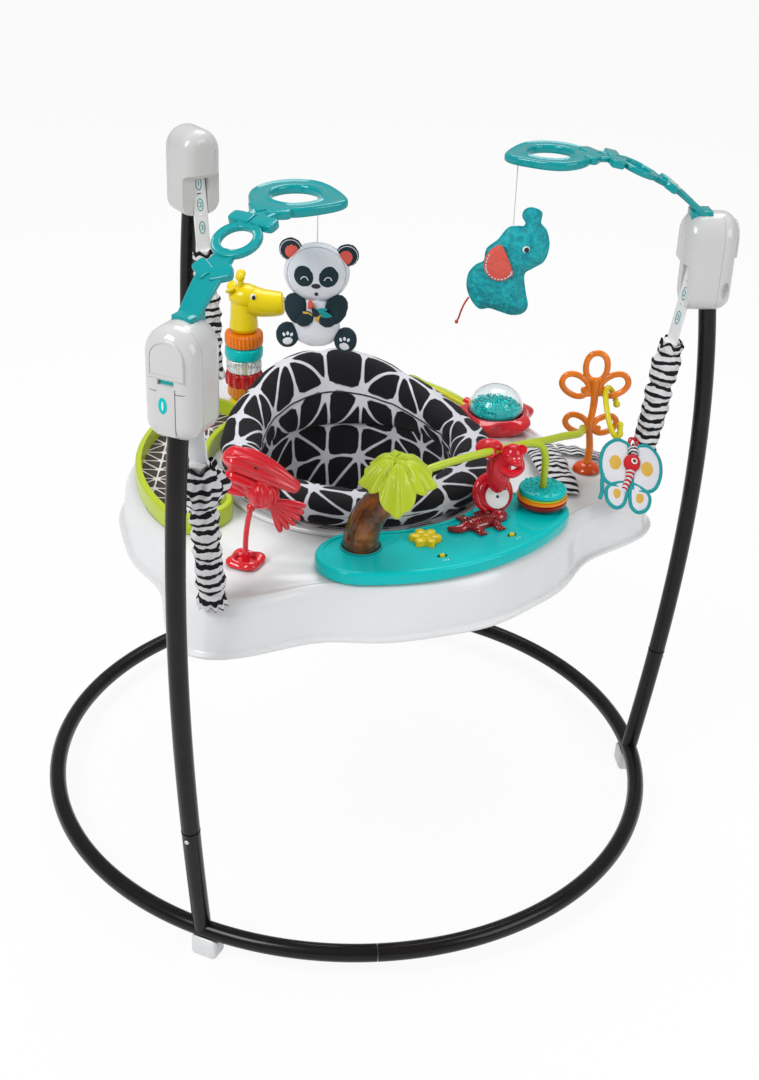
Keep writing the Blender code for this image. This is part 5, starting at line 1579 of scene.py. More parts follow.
lining_bm = thickened(skin(200, 36, lining_place), 0.0014)
lining = piece("seat_lining", carved(lining_bm, cuts=leg_holes()), "web_lining", "seat", sharp=60)

# %% [markdown]
# Toy panel
#
# The teal half-moon in front has a raised rim round a sunken face. Wells in it hold the palm's
# trunk, the yellow flower button and two slide switches; the lizard is stuck on top.

# %% Panel with its wells


def crescent(first, last, inner, outer, squareness=(2.0, 3.0), inset=0.0):
    """A half-moon between two radii with rounded ends; each end has its own squareness."""
    steps, along_steps = 22, 40
    middle, half = (inner + outer) / 2, (outer - inner) / 2
    reach = math.degrees(half / middle)
    outline = []
    ends = ((last - reach, -90.0, squareness[1]), (first + reach, 90.0, squareness[0]))
    for end, turn_from, square in ends:
        for i in range(steps + 1):
            angle = math.radians(turn_from + 180.0 * i / steps)
            along = power(math.cos(angle), 2 / square)
            across = power(math.sin(angle), 2 / square)
            bearing = end + along * math.degrees((half - inset) / middle)
            outline.append(tuple(polar(bearing, middle + across * (half - inset))[:2]))
        side = 1 if end > (first + last) / 2 else -1
        low, high = first + reach, last - reach
        start, stop = (high, low) if side > 0 else (low, high)
        for i in range(1, along_steps):
            bearing = start + (stop - start) * i / along_steps
            outline.append(tuple(polar(bearing, middle + side * (half - inset))[:2]))
    return outline


def petals(centre, radius, depth, count):
    """The wavy outline of a flower."""
    outline = []
    for angle in whole_turn(120):
        reach = radius + depth * math.cos(count * angle)
        outline.append((centre.x + reach * math.cos(angle), centre.y + reach * math.sin(angle)))
    return outline


def shifted_oval(at, wide, tall, turned_by=0.0, steps=36):
    spin = Matrix.Rotation(math.radians(turned_by), 2)
    return [(at.x + p.x, at.y + p.y) for p in (spin @ Vector(q) for q in oval(wide, tall, steps))]


PANEL_TOP, PANEL_SPAN, PANEL_BAND = 0.489, (260.0, 342.5), (0.1835, 0.2860)
TRUNK_AT, FLOWER_AT, LIZARD_AT = Vector((0.011, -0.220, 0.0)), Vector((0.085, -0.199, 0.0)), Vector(
    (0.1500, -0.1560, 0.0)
)
SWITCHES = {"volume": (294.0, 0.257), "mode": (316.5, 0.258)}
PRINT_MARKS = {
    "volume": ((-0.0030, 0.0012), (0.0, 0.0020), (0.0030, 0.0028)),
    "mode": ((-0.0022, 0.0022), (0.0022, 0.0022)),
}
FACE = PANEL_TOP - 0.0009

panel = slab(crescent(*PANEL_SPAN, *PANEL_BAND), DECK + 0.0003, PANEL_TOP, 0.0045, 6, 0.0008)
face_cut = slab(crescent(*PANEL_SPAN, *PANEL_BAND, inset=0.0088), FACE, PANEL_TOP + 0.01)
cuts = [
    face_cut, slab(petals(FLOWER_AT, 0.0174, 0.0028, 6), PANEL_TOP - 0.0055, PANEL_TOP + 0.02),
    slab(shifted_oval(TRUNK_AT, 0.0245, 0.0245, steps=64), PANEL_TOP - 0.0040, PANEL_TOP + 0.02)
]
for name, (azimuth, radius) in SWITCHES.items():
    cuts.append(
        slab(
            shifted_oval(polar(azimuth, radius), 0.0040, 0.0068, azimuth), PANEL_TOP - 0.0035,
            PANEL_TOP + 0.03
        )
    )
piece("panel", carved(panel, cuts=cuts), "teal_shell", "tray", "toy_panel", sharp=32)
for name, (azimuth, radius) in SWITCHES.items():
    at = polar(azimuth, radius)
    well_shade = shifted_oval(at, 0.0039, 0.0067, azimuth)
    # A thin black sheet at the bottom of each switch recess is painted shade, the dark of the slot's
    # opening.
    piece(f"{name}_well", slab(well_shade, PANEL_TOP - 0.0034, PANEL_TOP - 0.0028), "ink_black", "tray")
    knob = block((0.0046, 0.0050, 0.0046), (0, 0, 0), 0.0010, 4)
    ridges = [block((0.0040, 0.0004, 0.0006), (0, y, 0.0024)) for y in (-0.0012, 0.0, 0.0012)]
    knob = moved(together(knob, *ridges), turn(azimuth, "Z"), shift(at.x, at.y, PANEL_TOP - 0.0009))
    piece(f"{name}_knob", knob, "yellow_shell", name, f"{name}_switch")
    for i, (along, tall) in enumerate(PRINT_MARKS[name]):
        spot = polar(azimuth + math.degrees(along / 0.268), radius + 0.0100)
        print_mark = slab(shifted_oval(spot, tall / 2, 0.0006, azimuth, 16), FACE, FACE + 0.0001)
        piece(f"{name}_print_{i}", print_mark, "ink_white", "tray")

button = slab(
    petals(FLOWER_AT, 0.0165, 0.0028, 6), PANEL_TOP - 0.0020, PANEL_TOP + 0.0046, 0.0020, 5
)
bumps = []
for bearing in range(0, 360, 60):
    at = FLOWER_AT + polar(bearing, 0.0116, PANEL_TOP + 0.0044)
    bumps.append(blob((0.0072, 0.0060, 0.0022), at, turn(bearing, "Z")))
bumps.append(blob((0.0062, 0.0062, 0.0030), FLOWER_AT + Vector((0, 0, PANEL_TOP + 0.0048))))
piece("flower", together(button, *bumps), "yellow_shell", "button", "flower_button")
# The ring round the trunk's foot is coloured dark teal as painted shade, where the trunk sits in its hole in
# the panel.
socket = lathe(
    [(0.0222, 0.0), (0.0243, 0.0), (0.0243, 0.0046), (0.0232, 0.0052), (0.0222, 0.0046)], 72,
    closed=True
)
piece(
    "trunk_socket_shade", moved(socket, shift(TRUNK_AT.x, TRUNK_AT.y, PANEL_TOP - 0.0038)), "mark_teal",
    "tray"
)

# %% [markdown]
# Lizard
#
# A dark red see-through lizard crawls over the panel: a ribbed back, a flat head with two
# eyes, splayed feet with toes, and a tail that curls.

# %% Lizard
lizard = [
    blob((0.0230, 0.0108, 0.0078), (0, 0, 0)),
    blob((0.0112, 0.0092, 0.0076), (0.0250, 0.0020, 0.0008))
]
tail = smooth_line(
    (
        (-0.018, -0.001, 0.001), (-0.027, -0.003, 0.001), (-0.035, 0.001, 0.0005),
        (-0.037, 0.006, 0.0)
    ),
    8
)
lizard.append(pipe(tail, 0.0062, tapered(tail, 1.0, 0.65), fineness=6))
for along in (0.0130, -0.0110):
    for side in (-1, 1):
        splay = turn(side * (18 if along > 0 else -18), "Z")
        lizard.append(blob((0.0050, 0.0085, 0.0044), (along, side * 0.0130, 0), splay))
        for toe in (-1, 0, 1):
            at, spread = (along + toe * 0.0034, side * 0.0205, -0.0006), turn(-toe * side * 24, "Z")
            lizard.append(blob((0.0016, 0.0034, 0.0018), at, spread, 14, 10))


def round_share(share):
    """How high a round stands at a share of the way from its middle to its edge."""
    return math.sqrt(max(0.0, 1 - share**2))


for i in range(11):
    along = -0.019 + 0.0038 * i
    height, wide = 0.0078 * round_share(along / 0.0235), 0.0095 * round_share(along / 0.0235)
    rib = []
    for j in range(17):
        s = j / 8 - 1
        up = height * round_share(s * wide / 0.0108) + 0.0001
        rib.append((along - 0.0007 * abs(s), wide * s, up))
    lizard.append(pipe(rib, 0.0008, fineness=3))
for side in (-1, 1):
    lizard.append(
        blob((0.0020, 0.0020, 0.0020), (0.0285, 0.002 + side * 0.0050, 0.0066), None, 16, 10)
    )
lizard_place = shift(LIZARD_AT.x, LIZARD_AT.y, PANEL_TOP + 0.0018)
lizard_shape = moved(together(*lizard), Matrix.Scale(1.10, 4), turn(33, "Z"), lizard_place)
geom = lizard_shape.verts[:] + lizard_shape.edges[:] + lizard_shape.faces[:]
level = (0, 0, FACE + 0.0002)
bmesh.ops.bisect_plane(
    lizard_shape, geom=geom, plane_co=level, plane_no=(0, 0, -1), clear_outer=True
)
piece("lizard", lizard_shape, "lizard_clear", "tray", "lizard_lens")

# %% [markdown]
# Palm
#
# The trunk is a hollow brown moulding with faint growth rings. A lime cap of five broad
# leaves sits on it with a waisted neck. Each leaf droops to a point, has fine ribs, and meets
# its neighbours in a deep crease.

# %% Palm
trunk_route = smooth_line(
    (
        (0.011, -0.220, 0.4854), (0.011, -0.220, 0.503), (0.017, -0.219, 0.524),
        (0.028, -0.217, 0.541), (0.038, -0.216, 0.556)
    ),
    14
)
swell = []
for i in range(len(trunk_route)):
    taper = 1.0 - 0.20 * (i / (len(trunk_route) - 1)) ** 1.4
    swell.append(taper * (1.0 + 0.007 * math.sin(i * 0.80)))
piece(
    "palm_trunk", pipe(trunk_route, 0.0215, swell, fineness=14), "brown_clear", "tray", "trunk_lens"
)
piece("trunk_core", pipe(trunk_route[1:7], 0.0120, fineness=8), "dark_red_shell", "tray")

PALM_AT = Vector((0.050, -0.2200, 0.0))
PALM_CROWN, LEAF_SKIN = 0.6012, 0.0034


def palm_layer(size, lift, turned_by, front_droop):
    """Five broad scalloped leaves: puffy along the middle, creased between, pointed at the tip."""
    top = [i / 26 for i in range(27)]
    under = [0.985 - 0.985 * i / 14 for i in range(15)]
    line = [(reach, 0.0) for reach in top] + [(reach, LEAF_SKIN) for reach in under]

    def place(u, v):
        reach, below = picked(line, v)
        angle = math.tau * u - math.pi / 2
        across = ((5 * u + turned_by) % 1.0) * 2 - 1
        side = abs(across)
        edge = 0.74 + 0.24 * (1 - side**2.6) + 0.13 * math.exp(-((across / 0.18) ** 2))
        edge += 0.030 * math.cos(across * math.pi * 3)
        front = max(0.0, -math.sin(angle)) ** 1.5
        radius = size * edge * reach * (1.0 + 0.05 * front + 0.28 * front * side**1.5)
        drop = 0.0150 * reach**2.2 * (0.55 + 0.45 * (1 - side**2))
        drop += front_droop * front * reach**2.0 * (1 - 0.5 * side**2)
        puff = 0.0046 * (1 - side**2) * math.sin(math.pi * min(1.0, reach * 1.05))
        crease = 0.0040 * math.exp(-(((1 - side) / 0.12) ** 2)) * min(1.0, reach / 0.3)
        vein = 0.0006 * math.cos(across * math.pi * 6) * min(1.0, reach * 2)
        vein -= 0.0010 * math.exp(-((across / 0.07) ** 2)) * reach
        relief = (puff - crease + vein) * (1.0 if below == 0.0 else 0.5)
        height = PALM_CROWN + lift - drop * size / 0.0400 + relief - below
        x, y = PALM_AT.x + radius * math.cos(angle), PALM_AT.y + radius * math.sin(angle)
        return Vector((x, y, height))

    return skin(240, len(line) - 1, place)


neck_line = smooth_line(
    (
        (0.0372, -0.2162, 0.5550), (0.0412, -0.2168, 0.5640), (0.0452, -0.2184, 0.5780),
        (0.0480, -0.2196, 0.5960)
    ),
    8
)
waist = [math.pi * min(1.0, 1.15 * i / (len(neck_line) - 1)) for i in range(len(neck_line))]
neck_swell = [1.0 - 0.42 * math.sin(a) for a in waist]
crown = PALM_AT + Vector((0.0, 0.0, PALM_CROWN))
tuft = moved(
    palm_layer(0.0258, -0.0016, 0.0, 0.0060), shift(-crown.x, -crown.y, -crown.z), turn(9, "X"),
    turn(-7, "Y"), shift(crown.x - 0.0045, crown.y + 0.0030, crown.z)
)
palm_neck = pipe(neck_line, 0.0150, neck_swell, fineness=10)
palm = faced_out(together(palm_layer(0.0405, -0.0030, 0.5, 0.0300), tuft, palm_neck))
piece("palm_cap", palm, "lime_shell", "tray", "palm_leaves", sharp=60)
print("panel, lizard and palm made")

# %% [markdown]
# Vine, monkey and discs
#
# A lime vine runs from the palm to the tree. A red see-through monkey hangs from it with both
# legs round a drum, and one branch of the vine passes down through a stack of turning discs.

# %% Vine
VINE_RADIUS = 0.0048
vine_route = smooth_line(
    (
        (0.070, -0.210, 0.5790), (0.078, -0.205, 0.5800), (0.110, -0.182, 0.5820),
        (0.158, -0.148, 0.5815), (0.197, -0.118, 0.5780), (0.226, -0.086, 0.5690),
        (0.252, -0.044, 0.5560), (0.276, -0.008, 0.5440), (0.2830, 0.0195, 0.5390)
    ),
    12
)
stem_route = smooth_line(
    (
        (0.200, -0.114, 0.5772), (0.206, -0.111, 0.5770), (0.2200, -0.1040, 0.5700),
        (0.2265, -0.1010, 0.5520), (0.2265, -0.1010, 0.5200), (0.2265, -0.1010, 0.4893)
    ),
    12
)
uneven = [1.0 + 0.05 * noise.noise(Vector((i * 0.23, 1.7, 0.0))) for i in range(len(vine_route))]
joint = blob((0.0072, 0.0060, 0.0058), (0.2120, -0.1020, 0.5722))
vine = pipe(vine_route, VINE_RADIUS, uneven, fineness=6)
vine = together(vine, pipe(stem_route, 0.0045, fineness=6), joint)
piece("vine_branch", vine, "lime_shell", "tray", "vine")

# %% Monkey
MONKEY_AT = Vector((0.1660, -0.1418, 0.5810))
WHEEL_AT, WHEEL_AXIS = Vector((0.1650, -0.1220, 0.5130)), Vector((0.25, -0.85, 0.40)).normalized()


def near_monkey(x, y, z):
    return MONKEY_AT + Vector((x, y, z))


monkey = [
    blob((0.0148, 0.0135, 0.0300), near_monkey(0.003, 0.005, -0.0290)),
    blob((0.0125, 0.0125, 0.0135), near_monkey(0.0175, -0.0040, -0.0040)),
    blob((0.0072, 0.0066, 0.0058), near_monkey(0.0215, -0.0140, -0.0085)),
    blob((0.0165, 0.0115, 0.0110), near_monkey(-0.0100, 0.0030, 0.0005)),
    blob((0.0100, 0.0100, 0.0105), near_monkey(0.001, 0.0150, -0.0480)),
]
ear_aim = aimed(Vector((0.10, -0.90, 0.42)))
MONKEY_EARS = (  # x, y, z, radius
    (0.0100, -0.0120, 0.0045, 0.0066), (0.0270, -0.0085, 0.0050, 0.0060), (-0.0120, -0.0085, 0.0030, 0.0098),
)
EAR_PROFILE = (  # share of the radius, height
    (0.0, 0.0006), (0.45, 0.0), (0.62, 0.0012), (0.85, 0.0026),
    (1.0, 0.0012), (1.02, -0.0010), (0.7, -0.0030), (0.0, -0.0034),
)
for x, y, z, big in MONKEY_EARS:
    ear = lathe([(big * share, height) for share, height in EAR_PROFILE], 40)
    monkey.append(moved(ear, ear_aim, shift(*near_monkey(x, y, z))))
arm = smooth_line(
    [
        near_monkey(0.004, -0.004, -0.0200), near_monkey(0.016, -0.0085, -0.0270),
        near_monkey(0.0275, -0.0050, -0.0210), near_monkey(0.0250, 0.0010, -0.0080)
    ],
    8
)
monkey.append(pipe(arm, 0.0050, tapered(arm, 1.1, 0.2), fineness=6))
ON_WHEEL = aimed(WHEEL_AXIS), shift(*WHEEL_AT)
for side in (-1, 1):
    leg = []
    for degrees in range(95, -62, -12):
        a = math.radians(degrees)
        x, y = 0.0215 * math.cos(a) * side, 0.0215 * math.sin(a)
        leg.append(Vector((x, y, -0.0052 * side * 0.4)))
    monkey.append(moved(pipe(leg, 0.0052, tapered(leg, 1.15, 0.4), fineness=6), *ON_WHEEL))
drum = lathe(
    [
        (0.0, -0.0080), (0.0195, -0.0080), (0.0222, -0.0050), (0.0226, 0.0), (0.0218, 0.0046),
        (0.0188, 0.0078), (0.0150, 0.0086), (0.0148, 0.0070), (0.0, 0.0070)
    ],
    72
)
monkey.append(moved(drum, *ON_WHEEL))
piece("monkey_figure", together(*monkey), "red_clear", "hanging_monkey", "monkey")
dial = slab(oval(0.0146, 0.0146, 72), 0.0071, 0.0096, 0.0008, 3)
notch = slab([(0.0010, 0.0062), (0.0200, 0.0030), (0.0200, 0.0200), (-0.0010, 0.0200)], 0.0, 0.02)
DIAL_SHIFT = shift(0.0030, -0.0008, -0.0030)
dial = moved(carved(dial, cuts=[notch]), turn(12, "Z"), *ON_WHEEL, DIAL_SHIFT)
piece("monkey_dial", dial, "ink_white", "hanging_monkey")
hub = lathe([(0.0, 0.0108), (0.0014, 0.0106), (0.0020, 0.0094), (0.0, 0.0090)], 24)
piece("monkey_hub", moved(hub, *ON_WHEEL, DIAL_SHIFT), "ink_black", "hanging_monkey")
for i, (x, y, z) in enumerate(((0.0180, -0.0155, -0.0035), (0.0238, -0.0150, -0.0040))):
    eye = blob((0.0015, 0.0012, 0.0018), near_monkey(x, y, z), None, 16, 10)
    piece(f"monkey_eye_{i}", eye, "ink_white", "hanging_monkey")

# %% Discs
DISCS_AT = Vector((0.2265, -0.1010, 0.0))
BORE = 0.0050


def disc(name, finish, points, extras=()):
    """One disc of the stack; the top one stands for the whole stack of the model."""
    profile = [(BORE, points[0][1]), *points, (BORE, points[-1][1])]
    body = moved(together(lathe(profile, 96, closed=True), *extras), shift(*DISCS_AT))
    piece(name, body, finish, "discs", "disc_stack" if name == "disc_top" else ())


STUD_COUNT, STUD_GAP, BEAD_COUNT, BEAD_RADIUS = 46, 0.0040, 1200, 0.0014
random.seed(5)
studs = []
while len(studs) < STUD_COUNT:
    angle, radius = random.uniform(0, 360), random.uniform(0.0085, 0.0262)
    spot = polar(angle, radius, 0.5150)
    if all((spot - other).length > STUD_GAP for other in studs):
        studs.append(spot)
stud_shapes = [blob((0.0018, 0.0018, 0.0014), spot, None, 14, 8) for spot in studs]
disc(
    "disc_top", "teal_shell",
    [(0.0255, 0.5150), (0.0282, 0.5138), (0.0292, 0.5115), (0.0286, 0.5092), (0.0268, 0.5082)],
    stud_shapes
)
disc(
    "disc_lime", "lime_shell",
    [(0.0262, 0.5080), (0.0286, 0.5076), (0.0290, 0.5062), (0.0262, 0.5056)]
)
disc(
    "disc_yellow", "orange_shell",
    [(0.0285, 0.5054), (0.0308, 0.5046), (0.0311, 0.5026), (0.0300, 0.5010), (0.0270, 0.5006)]
)
disc(
    "disc_red", "dark_red_shell",
    [(0.0285, 0.5002), (0.0303, 0.4990), (0.0303, 0.4966), (0.0285, 0.4940)]
)
print("vine, monkey and discs made")

# %% [markdown]
# Bead roller
#
# Behind the monkey a red flower of curled petals holds a clear dome, part full of teal beads.
# A lime branch with a paler leaf leans out behind it from a short red socket.

# %% Flower and dome
ROLLER_AT, DOME_RADIUS, ROLLER_TOP = Vector((0.1820, 0.1610, 0.0)), 0.0370, DECK + 0.0230


FLOWER_PROFILE = smooth_profile(
    (
        (0.0385, 0.0200), (0.0405, 0.0228), (0.0450, 0.0226), (0.0500, 0.0190), (0.0520, 0.0140),
        (0.0490, 0.0070), (0.0440, 0.0003)
    ),
    6
)


def flower_place(u, v):
    """Petals that swell outwards, curl at the rim and cross in slanting folds."""
    angle = math.tau * u
    petal = math.cos(5 * (angle - 0.5))
    point = picked(FLOWER_PROFILE, v)
    share = max(0.0, (point.x - 0.0385) / 0.0135)
    fold = 0.0016 * math.sin(5 * angle + 9.0 * v) + 0.0008 * math.sin(15 * angle + 4 * v)
    reach = point.x + (0.0055 * petal + fold) * share - 0.0015
    aside = Vector((math.cos(angle), math.sin(angle), 0.0)) * reach
    return ROLLER_AT + aside + Vector((0, 0, DECK + point.y))


flower = faced_out(skin(240, 36, flower_place))
dish = lathe(
    [
        (0.0, 0.0030), (0.0375, 0.0030), (0.0382, 0.0190), (0.0392, 0.0205), (0.0420, 0.0200),
        (0.0420, 0.0006), (0.0, 0.0006)
    ],
    96
)
moved(dish, shift(ROLLER_AT.x, ROLLER_AT.y, DECK))
piece("roller_flower", together(flower, dish), "red_shell", "tray", "roller_base", sharp=60)
branch = smooth_line(
    (
        (0.158, 0.190, 0.4835), (0.148, 0.195, 0.486), (0.118, 0.222, 0.491), (0.082, 0.241, 0.497),
        (0.058, 0.252, 0.502)
    ),
    8
)
leaf_tip = [1.0] * (len(branch) - 8) + [1.15, 1.25, 1.3, 1.25, 1.1, 0.9, 0.6, 0.3]
piece("roller_branch", pipe(branch, 0.0050, leaf_tip, fineness=6), "lime_shell", "tray")
second = [p + Vector((-0.006, -0.008, 0.003)) for p in branch[4:]]
piece("roller_leaf", pipe(second, 0.0034, leaf_tip[4:], fineness=6), "chartreuse_shell", "tray")
socket = smooth_line(((0.170, 0.178, 0.4850), (0.156, 0.190, 0.4862), (0.142, 0.201, 0.4880)), 6)
piece("branch_socket", pipe(socket, 0.0082, fineness=8), "red_shell", "tray")
low = ROLLER_TOP - 0.0037
outer_line = [(DOME_RADIUS, low)]
for i in range(29):
    a = math.pi / 2 * i / 28
    outer_line.append(
        (DOME_RADIUS * math.cos(a), low + 0.006 + (DOME_RADIUS - 0.004) * math.sin(a))
    )
inner_line = [
    (r * 0.962, z - 0.0012 if r < DOME_RADIUS * 0.99 else z) for r, z in reversed(outer_line)
]
dome_line = [(max(r, 0.0), z) for r, z in outer_line[:-1]] + [(0.0, outer_line[-1][1])]
dome_cavity = lathe([(0.0, inner_line[0][1]), *inner_line[1:]], 96)
bmesh.ops.reverse_faces(dome_cavity, faces=dome_cavity.faces)
dome_shape = together(lathe(dome_line, 96), dome_cavity)
piece("bead_dome", moved(dome_shape, shift(*ROLLER_AT)), "dome_clear", "dome", "roller_dome")

random.seed(11)
beads = []
level = low + 0.0135
while len(beads) < BEAD_COUNT:
    x, y = random.uniform(-0.034, 0.034), random.uniform(-0.034, 0.034)
    z = random.uniform(low + 0.0025, level)
    room = (DOME_RADIUS * 0.955 - 0.0020) ** 2 - max(0.0, z - low - 0.006) ** 2
    if x * x + y * y < room and z < level - 0.06 * x + 0.04 * y:
        beads.append(blob((BEAD_RADIUS, BEAD_RADIUS, BEAD_RADIUS), (x, y, z), None, 8, 6))
bed = lathe(
    [(0.0, low + 0.0005), (0.0335, low + 0.0005), (0.0335, low + 0.0090), (0.0, low + 0.0100)], 64
)
piece(
    "dome_beads", moved(together(bed, *beads), shift(*ROLLER_AT)), "teal_shell", "dome", sharp=180
)
print("roller made")

# %% [markdown]
# Orange tree
#
# A teether tree of flat glossy loops on a wavy stem: three loops above and two below, joined
# by small webs, over a red-orange see-through foot.

# %% Tree
TREE_AT = Vector((0.295, 0.036, 0.0))
TREE_LOOPS = (  # aside, up, half width, half height, tilt
    (0.0, 0.1420, 0.0135, 0.0185, 0), (-0.0245, 0.1165, 0.0130, 0.0180, -58),
    (0.0245, 0.1185, 0.0130, 0.0180, 58), (-0.0185, 0.0640, 0.0105, 0.0150, -62),
    (0.0175, 0.0640, 0.0105, 0.0150, 62),
)
TREE_WEBS = (  # aside, up, radii, tilt
    (-0.0095, 0.1080, (0.0088, 0.0030, 0.0056), 35), (0.0095, 0.1090, (0.0088, 0.0030, 0.0056), -35),
    (0.0, 0.1215, (0.0060, 0.0036, 0.0064), 0), (-0.0070, 0.0570, (0.0070, 0.0030, 0.0046), 30),
    (0.0070, 0.0570, (0.0070, 0.0030, 0.0046), -30),
)
TREE_STEM = ((0, 0.004), (0.0016, 0.030), (-0.0012, 0.060), (0.0012, 0.092), (0, 0.126))
FLATTENED = Matrix.Diagonal((1.0, 0.78, 1.0, 1.0))
tree = []
for dx, dz, wide, tall, tilt in TREE_LOOPS:
    ring = []
    for a in whole_turn(56):
        ring.append(Vector((power(math.sin(a), 0.9) * wide, 0.0, power(math.cos(a), 0.9) * tall)))
    loop = pipe(ring, 0.0040, closed=True, fineness=6)
    tree.append(
        moved(loop, FLATTENED, turn(tilt, "Y"), shift(TREE_AT.x + dx, TREE_AT.y, DECK + dz))
    )
stem = smooth_line([TREE_AT + Vector((x, 0, DECK + z)) for x, z in TREE_STEM], 10)
tree.append(pipe(stem, 0.0044, swelling(stem, 1.25, -0.25), fineness=7))
for dx, dz, radii, tilt in TREE_WEBS:
    tree.append(blob(radii, TREE_AT + Vector((dx, 0, DECK + dz)), turn(tilt, "Y"), 28, 18))
piece("tree", together(*tree), "orange_clear", "tray", "orange_tree")
foot = lathe(
    [
        (0.0, 0.0104), (0.0060, 0.0100), (0.0110, 0.0084), (0.0152, 0.0056), (0.0176, 0.0018),
        (0.0180, 0.0003), (0.0, 0.0003)
    ],
    72
)
piece("tree_foot", moved(foot, shift(TREE_AT.x, TREE_AT.y, DECK)), "orange_deep", "tray")

# %% [markdown]
# Link and butterfly
#
# A chartreuse link hangs in the tree's right loop. The butterfly hangs from it: padded white
# wings with mustard ovals, teal ribbon round them, a zebra body with a red head and a striped
# tail, and loops of ribbon at the top.

# %% Link
LINK_TOP, LINK_FOOT = Vector((0.3140, 0.0420, 0.5860)), Vector((0.3235, -0.0040, 0.5390))
link_middle, link_half = (LINK_TOP + LINK_FOOT) / 2, (LINK_TOP - LINK_FOOT).length / 2
link_along = (LINK_TOP - LINK_FOOT).normalized()
link_side = Vector((0.45, 0.89, 0.0))
link_side = (link_side - link_along * link_side.dot(link_along)).normalized()
link_line = []
for i in range(97):
    angle = math.radians(20 + 320 * i / 96)
    along = link_along * link_half * power(math.sin(angle), 0.8)
    link_line.append(link_middle + along + link_side * 0.0140 * math.cos(angle))
beaded = [1.0 + (0.16 * math.cos(i * 1.9) if i < 10 or i > 86 else 0.0) for i in range(97)]
beads = [blob((0.0046, 0.0046, 0.0046), link_line[i], None, 20, 12) for i in (0, 9, 87, 96)]
piece(
    "link_ring", together(pipe(link_line, 0.0035, beaded, fineness=6), *beads), "chartreuse_shell",
    "link", "yellow_link"
)

# %% Butterfly
BUTTERFLY_TOP = Vector((0.3430, -0.0150, 0.5330))
UPPER_WING = (
    (0.004, -0.006), (0.012, 0.003), (0.023, 0.002), (0.034, -0.011), (0.037, -0.032),
    (0.031, -0.052), (0.016, -0.059), (0.004, -0.054)
)
LOWER_WING = (
    (0.003, -0.053), (0.015, -0.054), (0.026, -0.064), (0.024, -0.080), (0.013, -0.087),
    (0.004, -0.078)
)


def on_butterfly(name, shape, finish, stands_for=(), sharp=40.0):
    """A piece of the butterfly, drawn flat and hung in its place."""
    moved(shape, Matrix.Scale(1.04, 4), turn(36, "X"), turn(11, "Y"), shift(*BUTTERFLY_TOP))
    made = piece(name, shape, finish, "hanging_butterfly", stands_for, sharp=sharp)


def round_outline(points, per_span=6):
    """A smooth closed outline through a few points of (x, y)."""
    knots = [Vector((x, y, 0)) for x, y in points]
    count, line = len(knots), []
    for k in range(count):
        span = knots[k - 1], knots[k], knots[(k + 1) % count], knots[(k + 2) % count]
        line += [eased(*span, i / per_span) for i in range(per_span)]
    return line


def cushion_of(outline, thick, crinkle=0.0):
    """A thin stuffed shape with a flat outline: rings of points that shrink inward and swell."""
    rings = 7
    middle = sum(outline, Vector()) / len(outline)
    bm = bmesh.new()
    levels = []
    for face in (1, -1):
        for k in range(rings) if face > 0 else range(1, rings):
            share = k / rings
            level = []
            for i, p in enumerate(outline):
                at = p.lerp(middle, share)
                wrinkle = crinkle * noise.noise(Vector((at.x * 260, at.y * 260, face * 3.0)))
                wrinkle *= min(1.0, share * 3)
                at.z = face * (thick * math.sqrt(1 - (1 - share) ** 2) + wrinkle)
                level.append(bm.verts.new(at))
            levels.append((face, level))
    front = [level for face, level in levels if face > 0]
    back = [front[0]] + [level for face, level in levels if face < 0]
    count = len(outline)
    for side in (front, back):
        for a, b in zip(side, side[1:]):
            for i in range(count):
                bm.faces.new((a[i], a[(i + 1) % count], b[(i + 1) % count], b[i]))
        tip = bm.verts.new(middle + Vector((0, 0, side[-1][0].co.z)))
        for i in range(count):
            bm.faces.new((side[-1][i], side[-1][(i + 1) % count], tip))
    bmesh.ops.recalc_face_normals(bm, faces=bm.faces)
    return bm


WING_OVAL = (
    (0.0155, -0.0190), (0.0235, -0.0190), (0.0275, -0.0275), (0.0240, -0.0370), (0.0160, -0.0375),
    (0.0122, -0.0285)
)
SMALL_SPOT = ((0.010, -0.064), (0.017, -0.063), (0.019, -0.070), (0.015, -0.076), (0.010, -0.073))
FLAT_RIBBON = Matrix.Diagonal((1.0, 1.0, 0.62, 1.0))


def mirrored(points, side):
    """A smooth closed outline on one side of the body."""
    return round_outline([(side * x, y) for x, y in points])


upper, lower, edges, ovals = [], [], [], []
for side in (-1, 1):
    for outline, thick, made in ((UPPER_WING, 0.0021, upper), (LOWER_WING, 0.0019, lower)):
        line = mirrored(outline, side)
        made.append(cushion_of(line, thick, crinkle=0.0003))
        edges.append(moved(pipe(line, 0.0025, closed=True, fineness=4), FLAT_RIBBON))
    for lift in (0.0018, -0.0018):
        ovals.append(moved(cushion_of(mirrored(WING_OVAL, side), 0.0010), shift(0, 0, lift)))
on_butterfly("butterfly_wings", together(*upper, *lower), "wing_cloth", "butterfly", 60)
on_butterfly("wing_spots", together(*ovals), "mustard_cloth", sharp=60)
on_butterfly("wing_ribbon", together(*edges), "ribbon_teal", sharp=60)
for side, where in SIDES:
    small_spot = moved(cushion_of(mirrored(SMALL_SPOT, side), 0.0009), shift(0, 0, 0.0016))
    on_butterfly(f"small_spot_{where}", small_spot, "mustard_cloth", sharp=60)
head = blob((0.0102, 0.0118, 0.0070), (0.0004, -0.0245, 0.0020), turn(-8, "Z"), 40, 28)
on_butterfly("butterfly_head", head, "ribbon_red")
ring = lathe(
    [
        (0.0024, 0.0), (0.0026, 0.0009), (0.0034, 0.0010), (0.0040, 0.0), (0.0034, -0.0006),
        (0.0026, -0.0006)
    ],
    32, closed=True
)
moved(ring, turn(8, "Y"), shift(0.0014, -0.0250, 0.0088))
